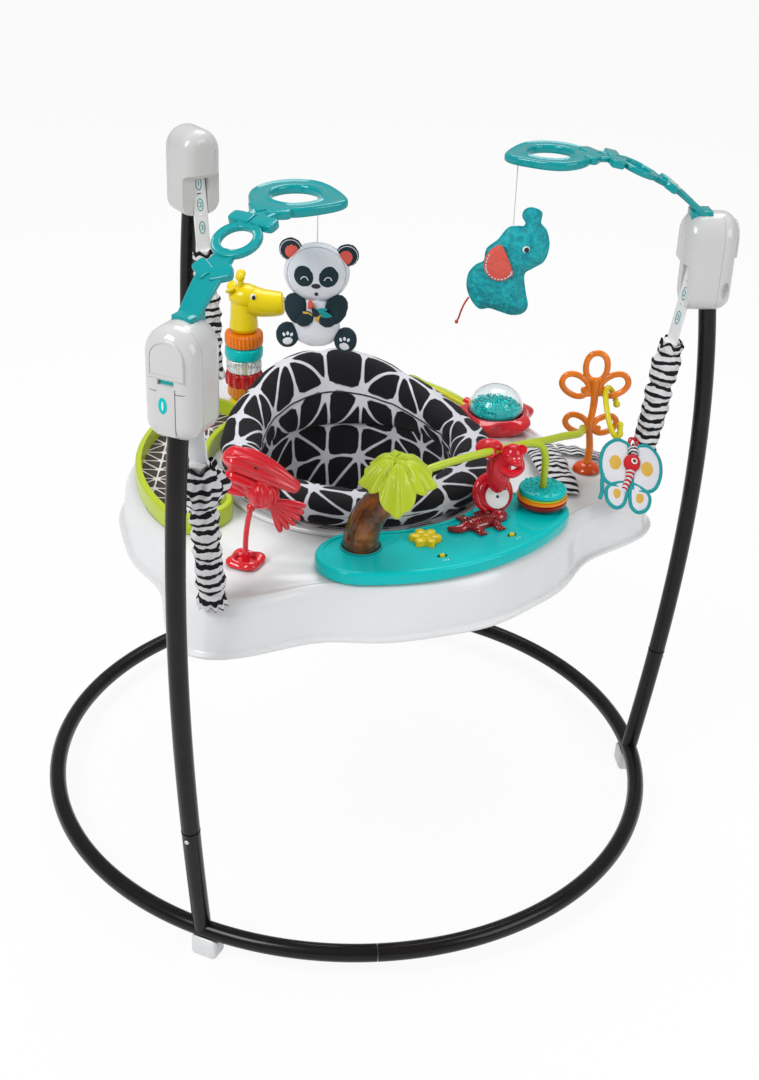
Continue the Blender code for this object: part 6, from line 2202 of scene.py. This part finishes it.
pupil = blob((0.0014, 0.0014, 0.0008), (0.0014, -0.0250, 0.0090), None, 16, 10)
on_butterfly("butterfly_eye", ring, "ink_white")
on_butterfly("butterfly_pupil", pupil, "ink_black")
nape = smooth_line(((0.000, -0.004, 0.001), (0.001, -0.009, 0.0015), (0.001, -0.014, 0.002)), 8)
on_butterfly("butterfly_body", pipe(nape, 0.0060, fineness=7), "zebra_plush", sharp=60)
TAIL_BEAD = (
    (0.0, 0.0015), (0.0030, 0.0014), (0.0039, 0.0006), (0.0040, 0.0), (0.0039, -0.0006),
    (0.0030, -0.0014), (0.0, -0.0015)
)
tail_rings = []
tail_line = smooth_line(
    (
        (0.0000, -0.0345, 0.0012), (-0.0008, -0.0420, 0.0014), (-0.0026, -0.0500, 0.0012),
        (-0.0048, -0.0580, 0.0010), (-0.0068, -0.0650, 0.0008)
    ),
    3
)
for i, (at, after) in enumerate(zip(tail_line, tail_line[1:])):
    size = 1.35 - 0.050 * i
    ring = lathe([(radius * size, height) for radius, height in TAIL_BEAD], 32)
    tail_rings.append(moved(ring, aimed(after - at), shift(*at)))
on_butterfly("tail_red", together(*tail_rings[::2]), "ribbon_red")
on_butterfly("tail_white", together(*tail_rings[1::2]), "panda_white")
loops = []
for lean, tall, wide in ((-16, 0.0140, 0.0048), (15, 0.0130, 0.0044)):
    ring = []
    for a in whole_turn(40):
        up = tall * 0.5 * (1 - math.cos(a)) - 0.002
        ring.append(Vector((wide * math.sin(a), up, 0.0009 * math.sin(2 * a))))
    loops.append(moved(pipe(ring, 0.0011, closed=True, fineness=4), turn(lean, "Z")))
on_butterfly("top_ribbon", together(*loops), "ribbon_red", sharp=60)
strand = smooth_line(
    (
        (-0.0330, -0.046, 0.0), (-0.0330, -0.058, 0.0008), (-0.0320, -0.070, 0.0010),
        (-0.0335, -0.080, 0.0)
    ),
    8
)
on_butterfly("loose_strand", moved(pipe(strand, 0.0026, fineness=4), FLAT_RIBBON), "ribbon_teal")
print("tree, link and butterfly made")

# %% [markdown]
# Giraffe and its rings
#
# A glossy yellow giraffe looks to the right from a post with five turning rings: ribbed
# orange, plain teal, clear, a toothed red wheel and amber at the foot.

# %% Giraffe
GIRAFFE_AT = Vector((-0.1630, 0.2100, 0.0))


def points_from(origin):
    """A function that turns (x, y, z), measured from an origin on the floor, into points."""
    return lambda *points: [Vector((origin.x + x, origin.y + y, z)) for x, y, z in points]


by_giraffe = points_from(GIRAFFE_AT)
foot = lathe(
    [
        (0.0, 0.0046), (0.0150, 0.0044), (0.0180, 0.0034), (0.0198, 0.0014), (0.0200, 0.0003),
        (0.0, 0.0003)
    ],
    64
)
moved(foot, shift(GIRAFFE_AT.x, GIRAFFE_AT.y, DECK))
post = pipe(by_giraffe((0, 0, DECK + 0.002), (0, 0, 0.530), (0, 0, 0.586)), 0.0042, fineness=6)
neck_line = smooth_line(
    by_giraffe(
        (0, 0, 0.5780), (0, 0, 0.5850), (0, 0, 0.5950), (-0.001, 0, 0.6150), (-0.001, 0, 0.6300),
        (-0.001, 0, 0.6360)
    ),
    8
)
neck_size = [0.82 + 0.18 * min(1.0, i / 6) for i in range(8)]
neck_size += [1.0 - 0.42 * (i / (len(neck_line) - 9)) ** 1.5 for i in range(len(neck_line) - 8)]
neck = pipe(neck_line, 0.0194, neck_size, fineness=12)
corners = [e for e in neck.edges if len(e.link_faces) == 2 and e.calc_face_angle(0) > 1.2]
bevelled(neck, corners, 0.0022, 4)
skull = blob((0.0225, 0.0186, 0.0172), by_giraffe((0.002, 0, 0.6265))[0])
muzzle_line = smooth_line(
    by_giraffe(
        (0.008, 0, 0.6205), (0.026, 0, 0.6175), (0.042, 0, 0.6172), (0.0510, 0, 0.6180),
        (0.0550, 0, 0.6185)
    ),
    8
)
muzzle_size = tapered(muzzle_line, 1.32, 0.42)[:-6] + [0.87, 0.85, 0.81, 0.73, 0.58, 0.30]
muzzle = moved(pipe(muzzle_line, 0.0156, muzzle_size, fineness=10), shift(0, 0, 0.0002))
horns = []
for side in (-1, 1):
    horn = by_giraffe(
        (-0.004, side * 0.0050, 0.6360), (-0.004, side * 0.0060, 0.646),
        (-0.004, side * 0.0065, 0.6570)
    )
    horns.append(pipe(horn, 0.0036, fineness=5))
    horns.append(blob((0.0064, 0.0056, 0.0060), horn[-1] - Vector((0, 0, 0.0018))))
ears = []
for side in (-1, 1):
    at, tilt = by_giraffe((-0.017, side * 0.0105, 0.6370))[0], turn(side * 24, "X") @ turn(-18, "Y")
    ears.append(blob((0.0070, 0.0090, 0.0030), at, tilt))
giraffe = together(foot, post, neck, skull, muzzle, *horns, *ears)
piece("giraffe_figure", giraffe, "yellow_shell", "tray", "giraffe", sharp=55)
for side, where in SIDES:
    rim = blob(
        (0.0040, 0.0020, 0.0046), by_giraffe((0.0140, side * 0.0170, 0.6315))[0], None, 28, 16
    )
    piece(f"giraffe_eye_rim_{where}", rim, "ink_white", "tray")
    pupil = blob(
        (0.0026, 0.0018, 0.0032), by_giraffe((0.0148, side * 0.0182, 0.6313))[0], None, 24, 14
    )
    piece(f"giraffe_eye_{where}", pupil, "ink_black", "tray")
places = by_giraffe((0.0545, -0.0052, 0.6235), (0.0545, 0.0052, 0.6235))
nostrils = [blob((0.0011, 0.0010, 0.0011), at, None, 12, 8) for at in places]
piece("giraffe_nostrils", together(*nostrils), "ink_black", "tray")

# %% Giraffe's rings


def rounded_ring(low, high, radius, ribs=0, rib_depth=0.0):
    """A ring with a bulging side; ribs make teeth or fine grooves round it."""
    bore, steps = 0.0048, 192
    middle, half = (low + high) / 2, (high - low) / 2
    profile = [(bore, low), (radius * 0.62, low)]
    for i in range(13):
        angle = math.pi * (i / 12 - 0.5)
        up = middle + half * power(math.sin(angle), 0.7)
        profile.append((radius - half * 0.30 * (1 - math.cos(angle)), up))
    profile += [(radius * 0.62, high), (bore, high)]
    ring = lathe(profile, steps, closed=True)
    for v in ring.verts:
        flat = Vector((v.co.x, v.co.y, 0.0))
        if ribs and flat.length > radius * 0.7:
            wave = math.cos(ribs * math.atan2(v.co.y, v.co.x))
            push = (
                rib_depth * power(wave, 0.5)
                * min(1.0, (flat.length - radius * 0.7) / (radius * 0.2))
            )
            v.co += flat.normalized() * push
    return moved(ring, shift(GIRAFFE_AT.x, GIRAFFE_AT.y, 0))


for name, finish, stands_for, sharp, *shape in (  # low, high, radius, ribs and their depth
    ("ring_orange", "orange_clear", "giraffe_rings", 60, 0.5572, 0.5763, 0.0257, 30, 0.0007),
    ("ring_teal", "teal_shell", (), 40, 0.5392, 0.5563, 0.0262),
    ("ring_clear", "smoke_clear", (), 60, 0.5202, 0.5383, 0.0238, 22, 0.0005),
    ("ring_red", "ruby_clear", (), 60, 0.5002, 0.5193, 0.0248, 13, 0.0014),
    ("ring_amber", "amber_clear", (), 60, 0.4837, 0.4993, 0.0225, 26, 0.0004),
):
    piece(name, rounded_ring(*shape), finish, "rings", stands_for, sharp=sharp)
print("giraffe made")

# %% [markdown]
# Bird
#
# A red bird nods on a bendy stalk above an open ring of petals. Its crest is long and heavy,
# layered feathers cover the body, and its tail is a pleated fan.

# %% Bird
BIRD_AT = Vector((-0.1200, -0.2425, 0.0))
by_bird = points_from(BIRD_AT)
FOOT_PROFILE = smooth_profile(
    (
        (0.0125, 0.0062), (0.0150, 0.0078), (0.0185, 0.0070), (0.0212, 0.0046), (0.0218, 0.0018),
        (0.0212, 0.0003)
    ),
    5
)


def foot_place(u, v):
    """Four open petals round the stalk's foot."""
    point = picked(FOOT_PROFILE, v)
    angle = math.tau * u
    wave = math.cos(4 * (angle - 0.4))
    lift = 0.0010 * wave * (point.y > 0.001)
    aside = Vector((math.cos(angle), math.sin(angle), 0)) * (point.x * (1 + 0.085 * wave))
    return BIRD_AT + aside + Vector((0, 0, DECK + point.y + lift))


petal_foot = faced_out(skin(144, 25, foot_place))
hollow = lathe(
    [
        (0.0, 0.0022), (0.0118, 0.0022), (0.0132, 0.0068), (0.0142, 0.0074), (0.0150, 0.0003),
        (0.0, 0.0003)
    ],
    64
)
stalk_line = smooth_line(
    by_bird((0, 0, DECK + 0.001), (0, 0, 0.500), (0.002, 0, 0.522), (0.006, 0, 0.544)), 12
)
stalk_size = [1.5 - 0.5 * min(1.0, i / 8) for i in range(len(stalk_line))]
moved(hollow, shift(BIRD_AT.x, BIRD_AT.y, DECK))
bird_foot = together(petal_foot, hollow, pipe(stalk_line, 0.0032, stalk_size, fineness=6))
piece("bird_foot", bird_foot, "red_shell", "tray", "bird_stand", sharp=60)

bird = [blob((0.0172, 0.0158, 0.0172), by_bird((0.019, -0.002, 0.5630))[0])]
bird.append(blob((0.0052, 0.0052, 0.0056), by_bird((0.0060, 0, 0.5445))[0], None, 28, 18))
throat = smooth_line(by_bird((0.0060, 0, 0.5440), (0.0085, 0, 0.5490), (0.0120, -0.001, 0.5540)), 6)
bird.append(pipe(throat, 0.0044, fineness=6))
for bearing in whole_turn(12):
    ridge = []
    for i in range(17):
        a = math.pi * (0.12 + 0.76 * i / 16)
        x = 0.020 + 0.0166 * math.sin(a) * math.cos(bearing)
        y = -0.002 + 0.0152 * math.sin(a) * math.sin(bearing)
        ridge += by_bird((x, y, 0.5630 - 0.0168 * math.cos(a)))
    bird.append(pipe(ridge, 0.0021, swelling(ridge, 0.5, 0.5), fineness=4))


def beak(places, thick, wide, ridges):
    """A long horn: rounded behind, pointed in front, with raised ridges along it."""
    route = smooth_line(places, 10)
    last = len(route) - 1

    def place(u, v):
        i = min(int(v * last + 1e-6), last)
        t = i / last
        ahead, behind = route[min(i + 1, last)], route[max(i - 1, 0)]
        along = (ahead - behind).normalized()
        aside = Vector((0, 1, 0))
        up = aside.cross(along) * -1
        size = (min(1.0, t / 0.16) ** 0.5) * (1.0 - 0.55 * t**2.2) * (1.0 if t < 0.97 else 0.6)
        size = max(size, 0.05)
        angle = math.tau * u
        bulge = 1.0 + 0.115 * math.cos(ridges * angle) * math.sin(math.pi * t) ** 0.5
        across, rise = wide * size * bulge * math.cos(angle), thick * size * bulge * math.sin(angle)
        return route[i] + aside * across + up * rise

    return capped(skin(60, last, place))


bird.append(
    beak(
        by_bird(
            (-0.026, 0, 0.6070), (-0.010, 0, 0.6050), (0.012, 0, 0.5960), (0.032, 0, 0.5862),
            (0.048, 0, 0.5772), (0.060, 0, 0.5700)
        ),
        0.0138, 0.0146, 8
    )
)
bird.append(
    beak(
        by_bird(
            (-0.024, 0, 0.5860), (-0.010, 0, 0.5830), (0.006, 0, 0.5760), (0.020, 0, 0.5680),
            (0.030, 0, 0.5620)
        ),
        0.0076, 0.0120, 6
    )
)
bird.append(blob((0.0110, 0.0100, 0.0100), by_bird((0.022, 0, 0.5790))[0]))
for side in (-1, 1):
    brow = smooth_line(
        by_bird(
            (-0.020, side * 0.0100, 0.6110), (0.002, side * 0.0118, 0.6105),
            (0.024, side * 0.0110, 0.6010), (0.044, side * 0.0080, 0.5890)
        ),
        8
    )
    bird.append(pipe(brow, 0.0030, swelling(brow, 0.5, 0.5), fineness=5))
for k, along in enumerate((0.004, 0.018, 0.032)):
    at = by_bird((along, 0.0, 0.6078 - 0.0078 * k))[0]
    bird.append(blob((0.0082, 0.0052, 0.0040), at, turn(30, "Y"), 28, 16))
fan, fan_root = [], shift(*by_bird((0.026, -0.002, 0.5560))[0])
finger_line = smooth_line(
    ((0.002, 0, 0), (0.016, 0, 0), (0.032, 0, -0.001), (0.0395, 0, -0.0015)), 6
)
finger_size = [0.6 + 0.5 * math.sin(math.pi * 0.85 * i / 18) for i in range(19)]
for k in range(6):
    finger = pipe(finger_line, 0.0038, finger_size, fineness=5)
    tip = blob((0.0034, 0.0032, 0.0032), (0.0395, 0, -0.0015), None, 18, 12)
    fan.append(moved(together(finger, tip), turn(-32 + 12.5 * k, "Y"), turn(38, "Y"), fan_root))
leaves = []
for slope, aside in ((28, 0.0004), (50, -0.0023), (6, 0.0031)):
    leaf = blob((0.0235, 0.0046, 0.0072), (-0.018, 0, 0))
    rib = pipe([(-0.040, -0.0030, 0), (-0.020, -0.0048, 0), (0.0, -0.0044, 0)], 0.0012, fineness=3)
    leaves.append(
        moved(together(leaf, rib), turn(slope, "Y"), shift(*by_bird((0.012, aside, 0.5620))[0]))
    )
piece("bird_figure", together(*bird, *fan, *leaves), "red_shell", "nodding_bird", "bird", sharp=60)
for side, where in SIDES:
    eye = blob((0.0024, 0.0014, 0.0024), by_bird((0.0120, side * 0.0118, 0.5985))[0], None, 20, 12)
    piece(f"bird_eye_{where}", eye, "ink_black", "nodding_bird")

# %% [markdown]
# Snack pod
#
# A lime dish stands at the left with a rounded rim. Its sunken floor carries a printed card
# in the seat's own pattern.

# %% Pod


def pod_outline(inset=0.0):
    return crescent(139.0, 226.0, 0.1880, 0.2790, (2.4, 2.4), inset)


POD_FLOOR = DECK + 0.0040
pod = slab(pod_outline(), DECK + 0.0003, DECK + 0.0240, 0.0036, 6, 0.0008)
recess = slab(pod_outline(0.0075), POD_FLOOR, DECK + 0.040)
piece("pod", carved(pod, cuts=[recess]), "lime_shell", "tray", "lime_pod", sharp=32)
card = slab(pod_outline(0.0078), POD_FLOOR, POD_FLOOR + 0.0006)
uv = card.loops.layers.uv.new("UVMap")
for face in card.faces:
    for loop in face.loops:
        loop[uv].uv = (loop.vert.co.x / 0.5 + 0.5, loop.vert.co.y / 0.5 + 0.5)
piece("pod_print", card, "web_pod", "tray")

# %% [markdown]
# Zebra hem
#
# A loose hem of the sleeves' cloth lies on the deck between the discs and the tree, pulled
# up into one long wave. A second, smaller flap of it lies beside its far end.

# %% Hem
HEM_START, HEM_END = Vector((0.2330, 0.0960, 0.0)), Vector((0.2600, -0.0480, 0.0))
HEM_ACROSS, HEM_THICKNESS = Vector((0.0220, 0.0040, 0.0)), 0.0008


def hem_place(u, v):
    """One long wave across the deck, arched across and rippled."""
    across = 2 * u - 1
    t = min(0.985, max(0.015, v))
    hump = 0.0125 * math.sin(math.pi * min(1.0, t * 1.02)) ** 0.6
    bow = 0.0050 * (1 - across**2) ** 0.5 if abs(across) < 1 else 0.0
    ripple = 0.0011 * math.sin(t * 23.0 + across * 2.4)
    ripple += 0.0012 * noise.noise(Vector((t * 9, across * 3, 0)))
    point = HEM_START.lerp(HEM_END, t)
    point += HEM_ACROSS * (across * (0.93 + 0.05 * math.sin(t * 17)))
    lift = max(0.0, hump + bow + ripple * min(1.0, 6 * t * (1 - t)) - 0.0010)
    return point + Vector((0, 0, DECK + 0.0012 + lift))


def flap_place(u, v):
    """A small flap that rises in its middle."""
    rise = 0.0045 * math.sin(math.pi * (0.15 + 0.85 * u)) * (0.4 + 0.6 * math.sin(math.pi * v))
    x, y = 0.2600 + 0.0600 * u + 0.0040 * v, 0.1020 - 0.0260 * v - 0.0180 * u
    return Vector((x, y, DECK + 0.0014 + rise + 0.0012 * math.sin(u * 19.0)))


tail_sheet = thickened(skin(44, 16, flap_place), HEM_THICKNESS)
hem_tail = piece("hem_tail", tail_sheet, "zebra_hem", "tray", sharp=60)
for corner in hem_tail.data.uv_layers[0].data:
    corner.uv = (corner.uv[0] * 0.5, 0.30 * corner.uv[1] + 0.10 * corner.uv[0])
hem_sheet = thickened(skin(30, 100, hem_place), HEM_THICKNESS)
hem = piece("hem", hem_sheet, "zebra_hem", "tray", "zebra_flap", sharp=60)

# %% [markdown]
# Panda
#
# The panda is stuffed plush: a pale grey head with closed stitched eyes, dark ears with coral
# linings, and a body with dark arms and feet. Each part is a filled ball that the cloth
# simulation would only round further, so it is shaped directly.

# %% Panda


def by_panda(x, y, z):
    return Vector((PANDA_AT.x + x, PANDA_AT.y + y, PANDA_HEIGHT + z))


def fuzzy(bm, amount):
    """Small unevenness, as brushed cloth over stuffing has."""
    scale = 330.0
    bm.normal_update()
    for v in bm.verts:
        wave = noise.noise(v.co * scale) + 0.6 * noise.noise(v.co * scale * 0.3)
        v.co += v.normal * amount * wave
    return bm


def on_panda(name, shape, finish, sharp=40.0):
    return piece(name, shape, finish, "hanging_panda", sharp=sharp)


def plush(name, shape, finish, stands_for=(), amount=0.0006):
    """A stuffed part of the panda."""
    made = piece(name, fuzzy(shape, amount), finish, "hanging_panda", stands_for, sharp=75)


HEAD_AT, HEAD_RADII = by_panda(0, 0, 0), Vector((0.0352, 0.0164, 0.0332))
EAR_RADII, FOOT_RADII = Vector((0.0128, 0.0056, 0.0128)), Vector((0.0128, 0.0100, 0.0147))
EAR_HEM_RADII = Vector((0.0131, 0.0059, 0.0131))


def on_ball(flat, centre, radii):
    """Lays a flat shape, drawn in x and y, on the front of a ball."""
    for v in flat.verts:
        x, z, lift = v.co
        depth = radii.y * math.sqrt(max(0.02, 1 - (x / radii.x) ** 2 - (z / radii.z) ** 2))
        v.co = centre + Vector((x, -depth - lift * 0.9, z))
    return faced_out(flat)


def on_head(flat):
    return on_ball(flat, HEAD_AT, HEAD_RADII)


def oval_stitches(wide, tall, thread, steps):
    """A closed seam of fine thread, drawn flat."""
    line = [Vector((x, y, 0.0001)) for x, y in oval(wide, tall, steps)]
    return pipe(line, thread, closed=True, fineness=2)


def patch(at, wide, tall, tilt, thick):
    """A thin stuffed oval, drawn flat."""
    spin = Matrix.Rotation(math.radians(tilt), 2)
    line = [Vector((at[0], at[1])) + spin @ Vector(p) for p in oval(wide, tall, 48)]
    return cushion_of([Vector((p.x, p.y, 0)) for p in line], thick)


plush("panda_face", blob(HEAD_RADII, HEAD_AT, None, 72, 48), "panda_white", "panda_head", 0.0004)
wide, tall = HEAD_RADII.x * 1.004, HEAD_RADII.z * 1.004
seam = [HEAD_AT + Vector((wide * math.cos(a), 0.0, tall * math.sin(a))) for a in whole_turn(96)]
on_panda("face_seam", pipe(seam, 0.0007, closed=True, fineness=3), "panda_white")
on_panda("face_stitches", on_head(oval_stitches(0.0322, 0.0304, 0.0003, 96)), "thread_grey")
EYE_LID = (
    (-0.0040, -0.0022), (-0.0022, 0.0004), (0.0004, 0.0012), (0.0028, 0.0002), (0.0042, -0.0026)
)
for side, where in SIDES:
    ear_at = by_panda(0.002 + side * 0.0307, 0, 0.0226 - side * 0.0024)
    plush(f"panda_ear_{where}", blob(EAR_RADII, ear_at, None, 40, 28), "panda_dark")
    lining = patch((-side * 0.0016, -0.0014), 0.0074, 0.0082, -side * 20, 0.0010)
    on_panda(f"ear_lining_{where}", on_ball(lining, ear_at, EAR_RADII), "coral_cloth")
    hemmed = on_ball(oval_stitches(0.0112, 0.0112, 0.00034, 64), ear_at, EAR_HEM_RADII)
    on_panda(f"ear_stitches_{where}", hemmed, "wing_cloth")
    eye = on_head(patch((side * 0.0136, -0.0004), 0.0106, 0.0120, -side * 14, 0.0012))
    on_panda(f"eye_patch_{where}", eye, "panda_dark", sharp=70)
    lid = smooth_line([(side * 0.0128 + x, -0.0012 + z, 0.0) for x, z in EYE_LID], 8)
    lid = on_head(moved(pipe(lid, 0.0005, fineness=3), shift(0, 0, 0.0014)))
    on_panda(f"eye_stitch_{where}", lid, "ink_white")
    arm = blob((0.0130, 0.0098, 0.0182), (0, 0, 0), turn(side * 22, "Y"), 40, 28)
    paw = (-side * 0.0098, -0.0052, -0.0092)
    paw = blob((0.0108, 0.0082, 0.0088), paw, turn(side * 30, "Y"), 36, 24)
    arm = moved(together(arm, paw), shift(*by_panda(side * 0.0212, -0.0052, -0.0408)))
    plush(f"panda_arm_{where}", arm, "panda_dark")
    foot_at = by_panda(0.001 + side * 0.0322, -0.0039, -0.0744 - side * 0.0020)
    plush(
        f"panda_foot_{where}", blob(FOOT_RADII, foot_at, None, 40, 28), "panda_dark", amount=0.0003
    )
    pads = [patch((-side * 0.0008, -0.0040), 0.0056, 0.0046, -side * 14, 0.0006)]
    for k in (-1, 0, 1):
        at = (-side * 0.0008 + k * 0.0042, 0.0050 - abs(k) * 0.0014)
        pads.append(patch(at, 0.0016, 0.0021, -k * 20, 0.0006))
    pads = together(*[on_ball(pad, foot_at, FOOT_RADII) for pad in pads])
    on_panda(f"paw_print_{where}", pads, "panda_white")
belly = blob((0.0262, 0.0144, 0.0300), (0, 0, 0), None, 56, 40)
for v in belly.verts:
    low_share = max(0.0, -v.co.z / 0.0300)
    v.co.x *= 1.0 + 0.42 * low_share**1.5
    v.co.z *= 1.0 - 0.08 * low_share * (v.co.x / 0.030) ** 2
moved(belly, shift(*by_panda(0, 0, -0.0560)))
plush("panda_belly", belly, "panda_white", "panda_body")
on_panda("panda_nose", on_head(patch((0.0, -0.0108), 0.0052, 0.0030, 0, 0.0016)), "ink_black")
on_panda("panda_mouth", on_head(patch((0.0004, -0.0208), 0.0021, 0.0026, 0, 0.0008)), "ink_black")

# %% Snack in the panda's paws
SNACK_LEAVES = (  # aside, up, tilt, finish
    (-0.0052, 0.0066, 10, "coral_cloth"), (-0.0082, -0.0050, 55, "mustard_cloth"),
    (0.0040, -0.0076, -35, "mustard_cloth"), (0.0062, 0.0010, -70, "ribbon_teal"),
    (0.0000, -0.0010, 30, "panda_dark"), (0.0112, -0.0030, -100, "ribbon_teal"),
)
SNACK_LEAF = (
    (-0.0030, -0.0040), (0.0030, -0.0040), (0.0034, 0.0010), (0.0, 0.0072), (-0.0034, 0.0010)
)
snack = by_panda(0.0, -0.0140, -0.0400)
for k, (x, z, tilt, finish) in enumerate(SNACK_LEAVES):
    leaf = cushion_of(round_outline(SNACK_LEAF, 5), 0.0010)
    at = shift(snack.x + x, snack.y - 0.0006 * k, snack.z + z)
    on_panda(f"snack_leaf_{k}", moved(leaf, turn(tilt, "Z"), turn(90, "X"), at), finish, sharp=60)

# %% [markdown]
# Elephant
#
# The elephant is flat crinkly cloth with a curled trunk, an ear edged in white scallop
# stitches, a sewn eye and a coral cord tail with a knot.

# %% Elephant
ELEPHANT_OUTLINE = (
    (0.0050, -0.0012), (0.0125, -0.0010), (0.0150, 0.0040), (0.0105, 0.0120), (0.0130, 0.0195),
    (0.0210, 0.0220), (0.0320, 0.0170), (0.0318, 0.0040), (0.0395, -0.0050), (0.0440, -0.0230),
    (0.0395, -0.0420), (0.0265, -0.0515), (0.0170, -0.0600), (0.0200, -0.0820), (0.0240, -0.1000),
    (0.0180, -0.1095), (0.0050, -0.1115), (-0.0080, -0.1080), (-0.0215, -0.1040),
    (-0.0340, -0.1050), (-0.0445, -0.0930), (-0.0500, -0.0780), (-0.0490, -0.0620),
    (-0.0410, -0.0510), (-0.0315, -0.0450), (-0.0290, -0.0300), (-0.0165, -0.0185),
    (-0.0060, -0.0040)
)


def by_elephant(x, y, z):
    return Vector((ELEPHANT_AT.x + x, ELEPHANT_AT.y + y, ELEPHANT_KNOT + z))


def stuffed(outline, thick, crinkle, spacing=0.0022):
    """A flat cloth shape filled until it bulges: triangles inside the outline, lifted by the
    distance to its edge."""
    bm = bmesh.new()
    ring = [bm.verts.new(p) for p in outline]
    face = bm.faces.new(ring)
    bmesh.ops.triangulate(bm, faces=[face])
    for _ in range(7):
        inner = [e for e in bm.edges if not e.is_boundary and e.calc_length() > spacing]
        rim = [e for e in bm.edges if e.is_boundary and e.calc_length() > spacing * 1.6]
        long_edges = inner + rim
        if not long_edges:
            break
        bmesh.ops.subdivide_edges(bm, edges=long_edges, cuts=1)
        bmesh.ops.triangulate(bm, faces=bm.faces[:])
        inner = [e for e in bm.edges if not e.is_boundary]
        bmesh.ops.beautify_fill(bm, faces=bm.faces[:], edges=inner)
    axes_used = {"use_axis_x": True, "use_axis_y": True, "use_axis_z": True}
    for _ in range(6):
        inner = [v for v in bm.verts if not v.is_boundary]
        bmesh.ops.smooth_vert(bm, verts=inner, factor=0.5, **axes_used)
    rim = [v.co.copy() for v in bm.verts if v.is_boundary]
    heights = {}
    for v in bm.verts:
        near = min((v.co - p).length for p in rim)
        heights[v.index] = thick * (1 - math.exp(-near / (thick * 0.75)))
    other = bm.copy()
    for shape, side in ((bm, 1), (other, -1)):
        shape.verts.index_update()
        for v in shape.verts:
            lift = heights[v.index]
            wide = noise.noise(Vector((v.co.x * 210, v.co.y * 210, side)))
            fine = noise.noise(Vector((v.co.x * 480, v.co.y * 480, side)))
            wrinkle = crinkle * (wide + 0.7 * fine)
            v.co.z = side * max(0.0, lift + wrinkle * min(1.0, lift / (thick * 0.4)))
    return faced_out(merged(together(bm, other)))


outline = round_outline(ELEPHANT_OUTLINE, 5)
body_shape = moved(stuffed(outline, 0.0104, 0.0016), turn(90, "X"), shift(*by_elephant(0, 0, 0)))
elephant = piece(
    "elephant_figure", body_shape, "crinkle_teal", "hanging_elephant", "elephant_body", sharp=75
)
ear_line = [
    (0.0012, 0.0222), (0.0068, 0.0125), (0.0112, 0.0006), (0.0150, -0.0122), (0.0120, -0.0176),
    (0.0019, -0.0224), (-0.0097, -0.0202), (-0.0178, -0.0112), (-0.0198, -0.0034),
    (-0.0176, 0.0080), (-0.0116, 0.0168), (-0.0044, 0.0214)
]
ear = stuffed(round_outline(ear_line, 5), 0.0030, 0.0006, 0.0018)
moved(ear, turn(90, "X"), turn(-4, "Y"), shift(*by_elephant(-0.0130, -0.0128, -0.0430)))
made = piece("elephant_ear", ear, "coral_cloth", "hanging_elephant", sharp=75)
scallops = []
edge = round_outline([(x * 0.88, y * 0.88) for x, y in ear_line], 5)
edge = [p for p in edge if p.y < -0.010 or p.x < -0.012]
for p in edge[::2]:
    along = turn(-math.degrees(math.atan2(p.y, p.x)) + 90, "Y")
    scallops.append(blob((0.0015, 0.0006, 0.0009), (p.x, 0.0, p.y), along, 12, 8))
stitches = moved(together(*scallops), turn(-4, "Y"), shift(*by_elephant(-0.0130, -0.0152, -0.0430)))
piece("ear_stitches", stitches, "thread_white", "hanging_elephant")
hem_line = [by_elephant(p.x, 0.0, p.y) for p in outline]
piece(
    "elephant_seam", pipe(hem_line, 0.0011, closed=True, fineness=4), "crinkle_teal",
    "hanging_elephant"
)
white = blob(
    (0.0044, 0.0016, 0.0040), by_elephant(0.0165, -0.0106, -0.0256), turn(-20, "Y"), 28, 16
)
piece("elephant_eye_white", white, "ink_white", "hanging_elephant")
pupil = blob((0.0031, 0.0013, 0.0032), by_elephant(0.0171, -0.0117, -0.0258), None, 24, 14)
piece("elephant_eye", pupil, "ink_black", "hanging_elephant")

# %% Elephant's tail
TAIL_KNOTS = (
    (-0.0475, -0.0920), (-0.0520, -0.1000), (-0.0555, -0.1090), (-0.0580, -0.1180),
    (-0.0605, -0.1240)
)
tail_route = smooth_line([by_elephant(x, 0, z) for x, z in TAIL_KNOTS], 10)
tail_length = sum((b - a).length for a, b in zip(tail_route, tail_route[1:]))
tail = piece(
    "tail_cord", pipe(tail_route, 0.0012, fineness=4), "thread_coral", "hanging_elephant",
    "elephant_tail"
)
knot = blob((0.0023, 0.0023, 0.0026), tail_route[-1], None, 24, 14)
knot = piece("tail_knot", knot, "thread_coral", "hanging_elephant")
placed = [tuple(p + RING_CENTRE) for p in tail_route]
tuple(placed[0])
print("panda and elephant made, tail", round(tail_length, 4))
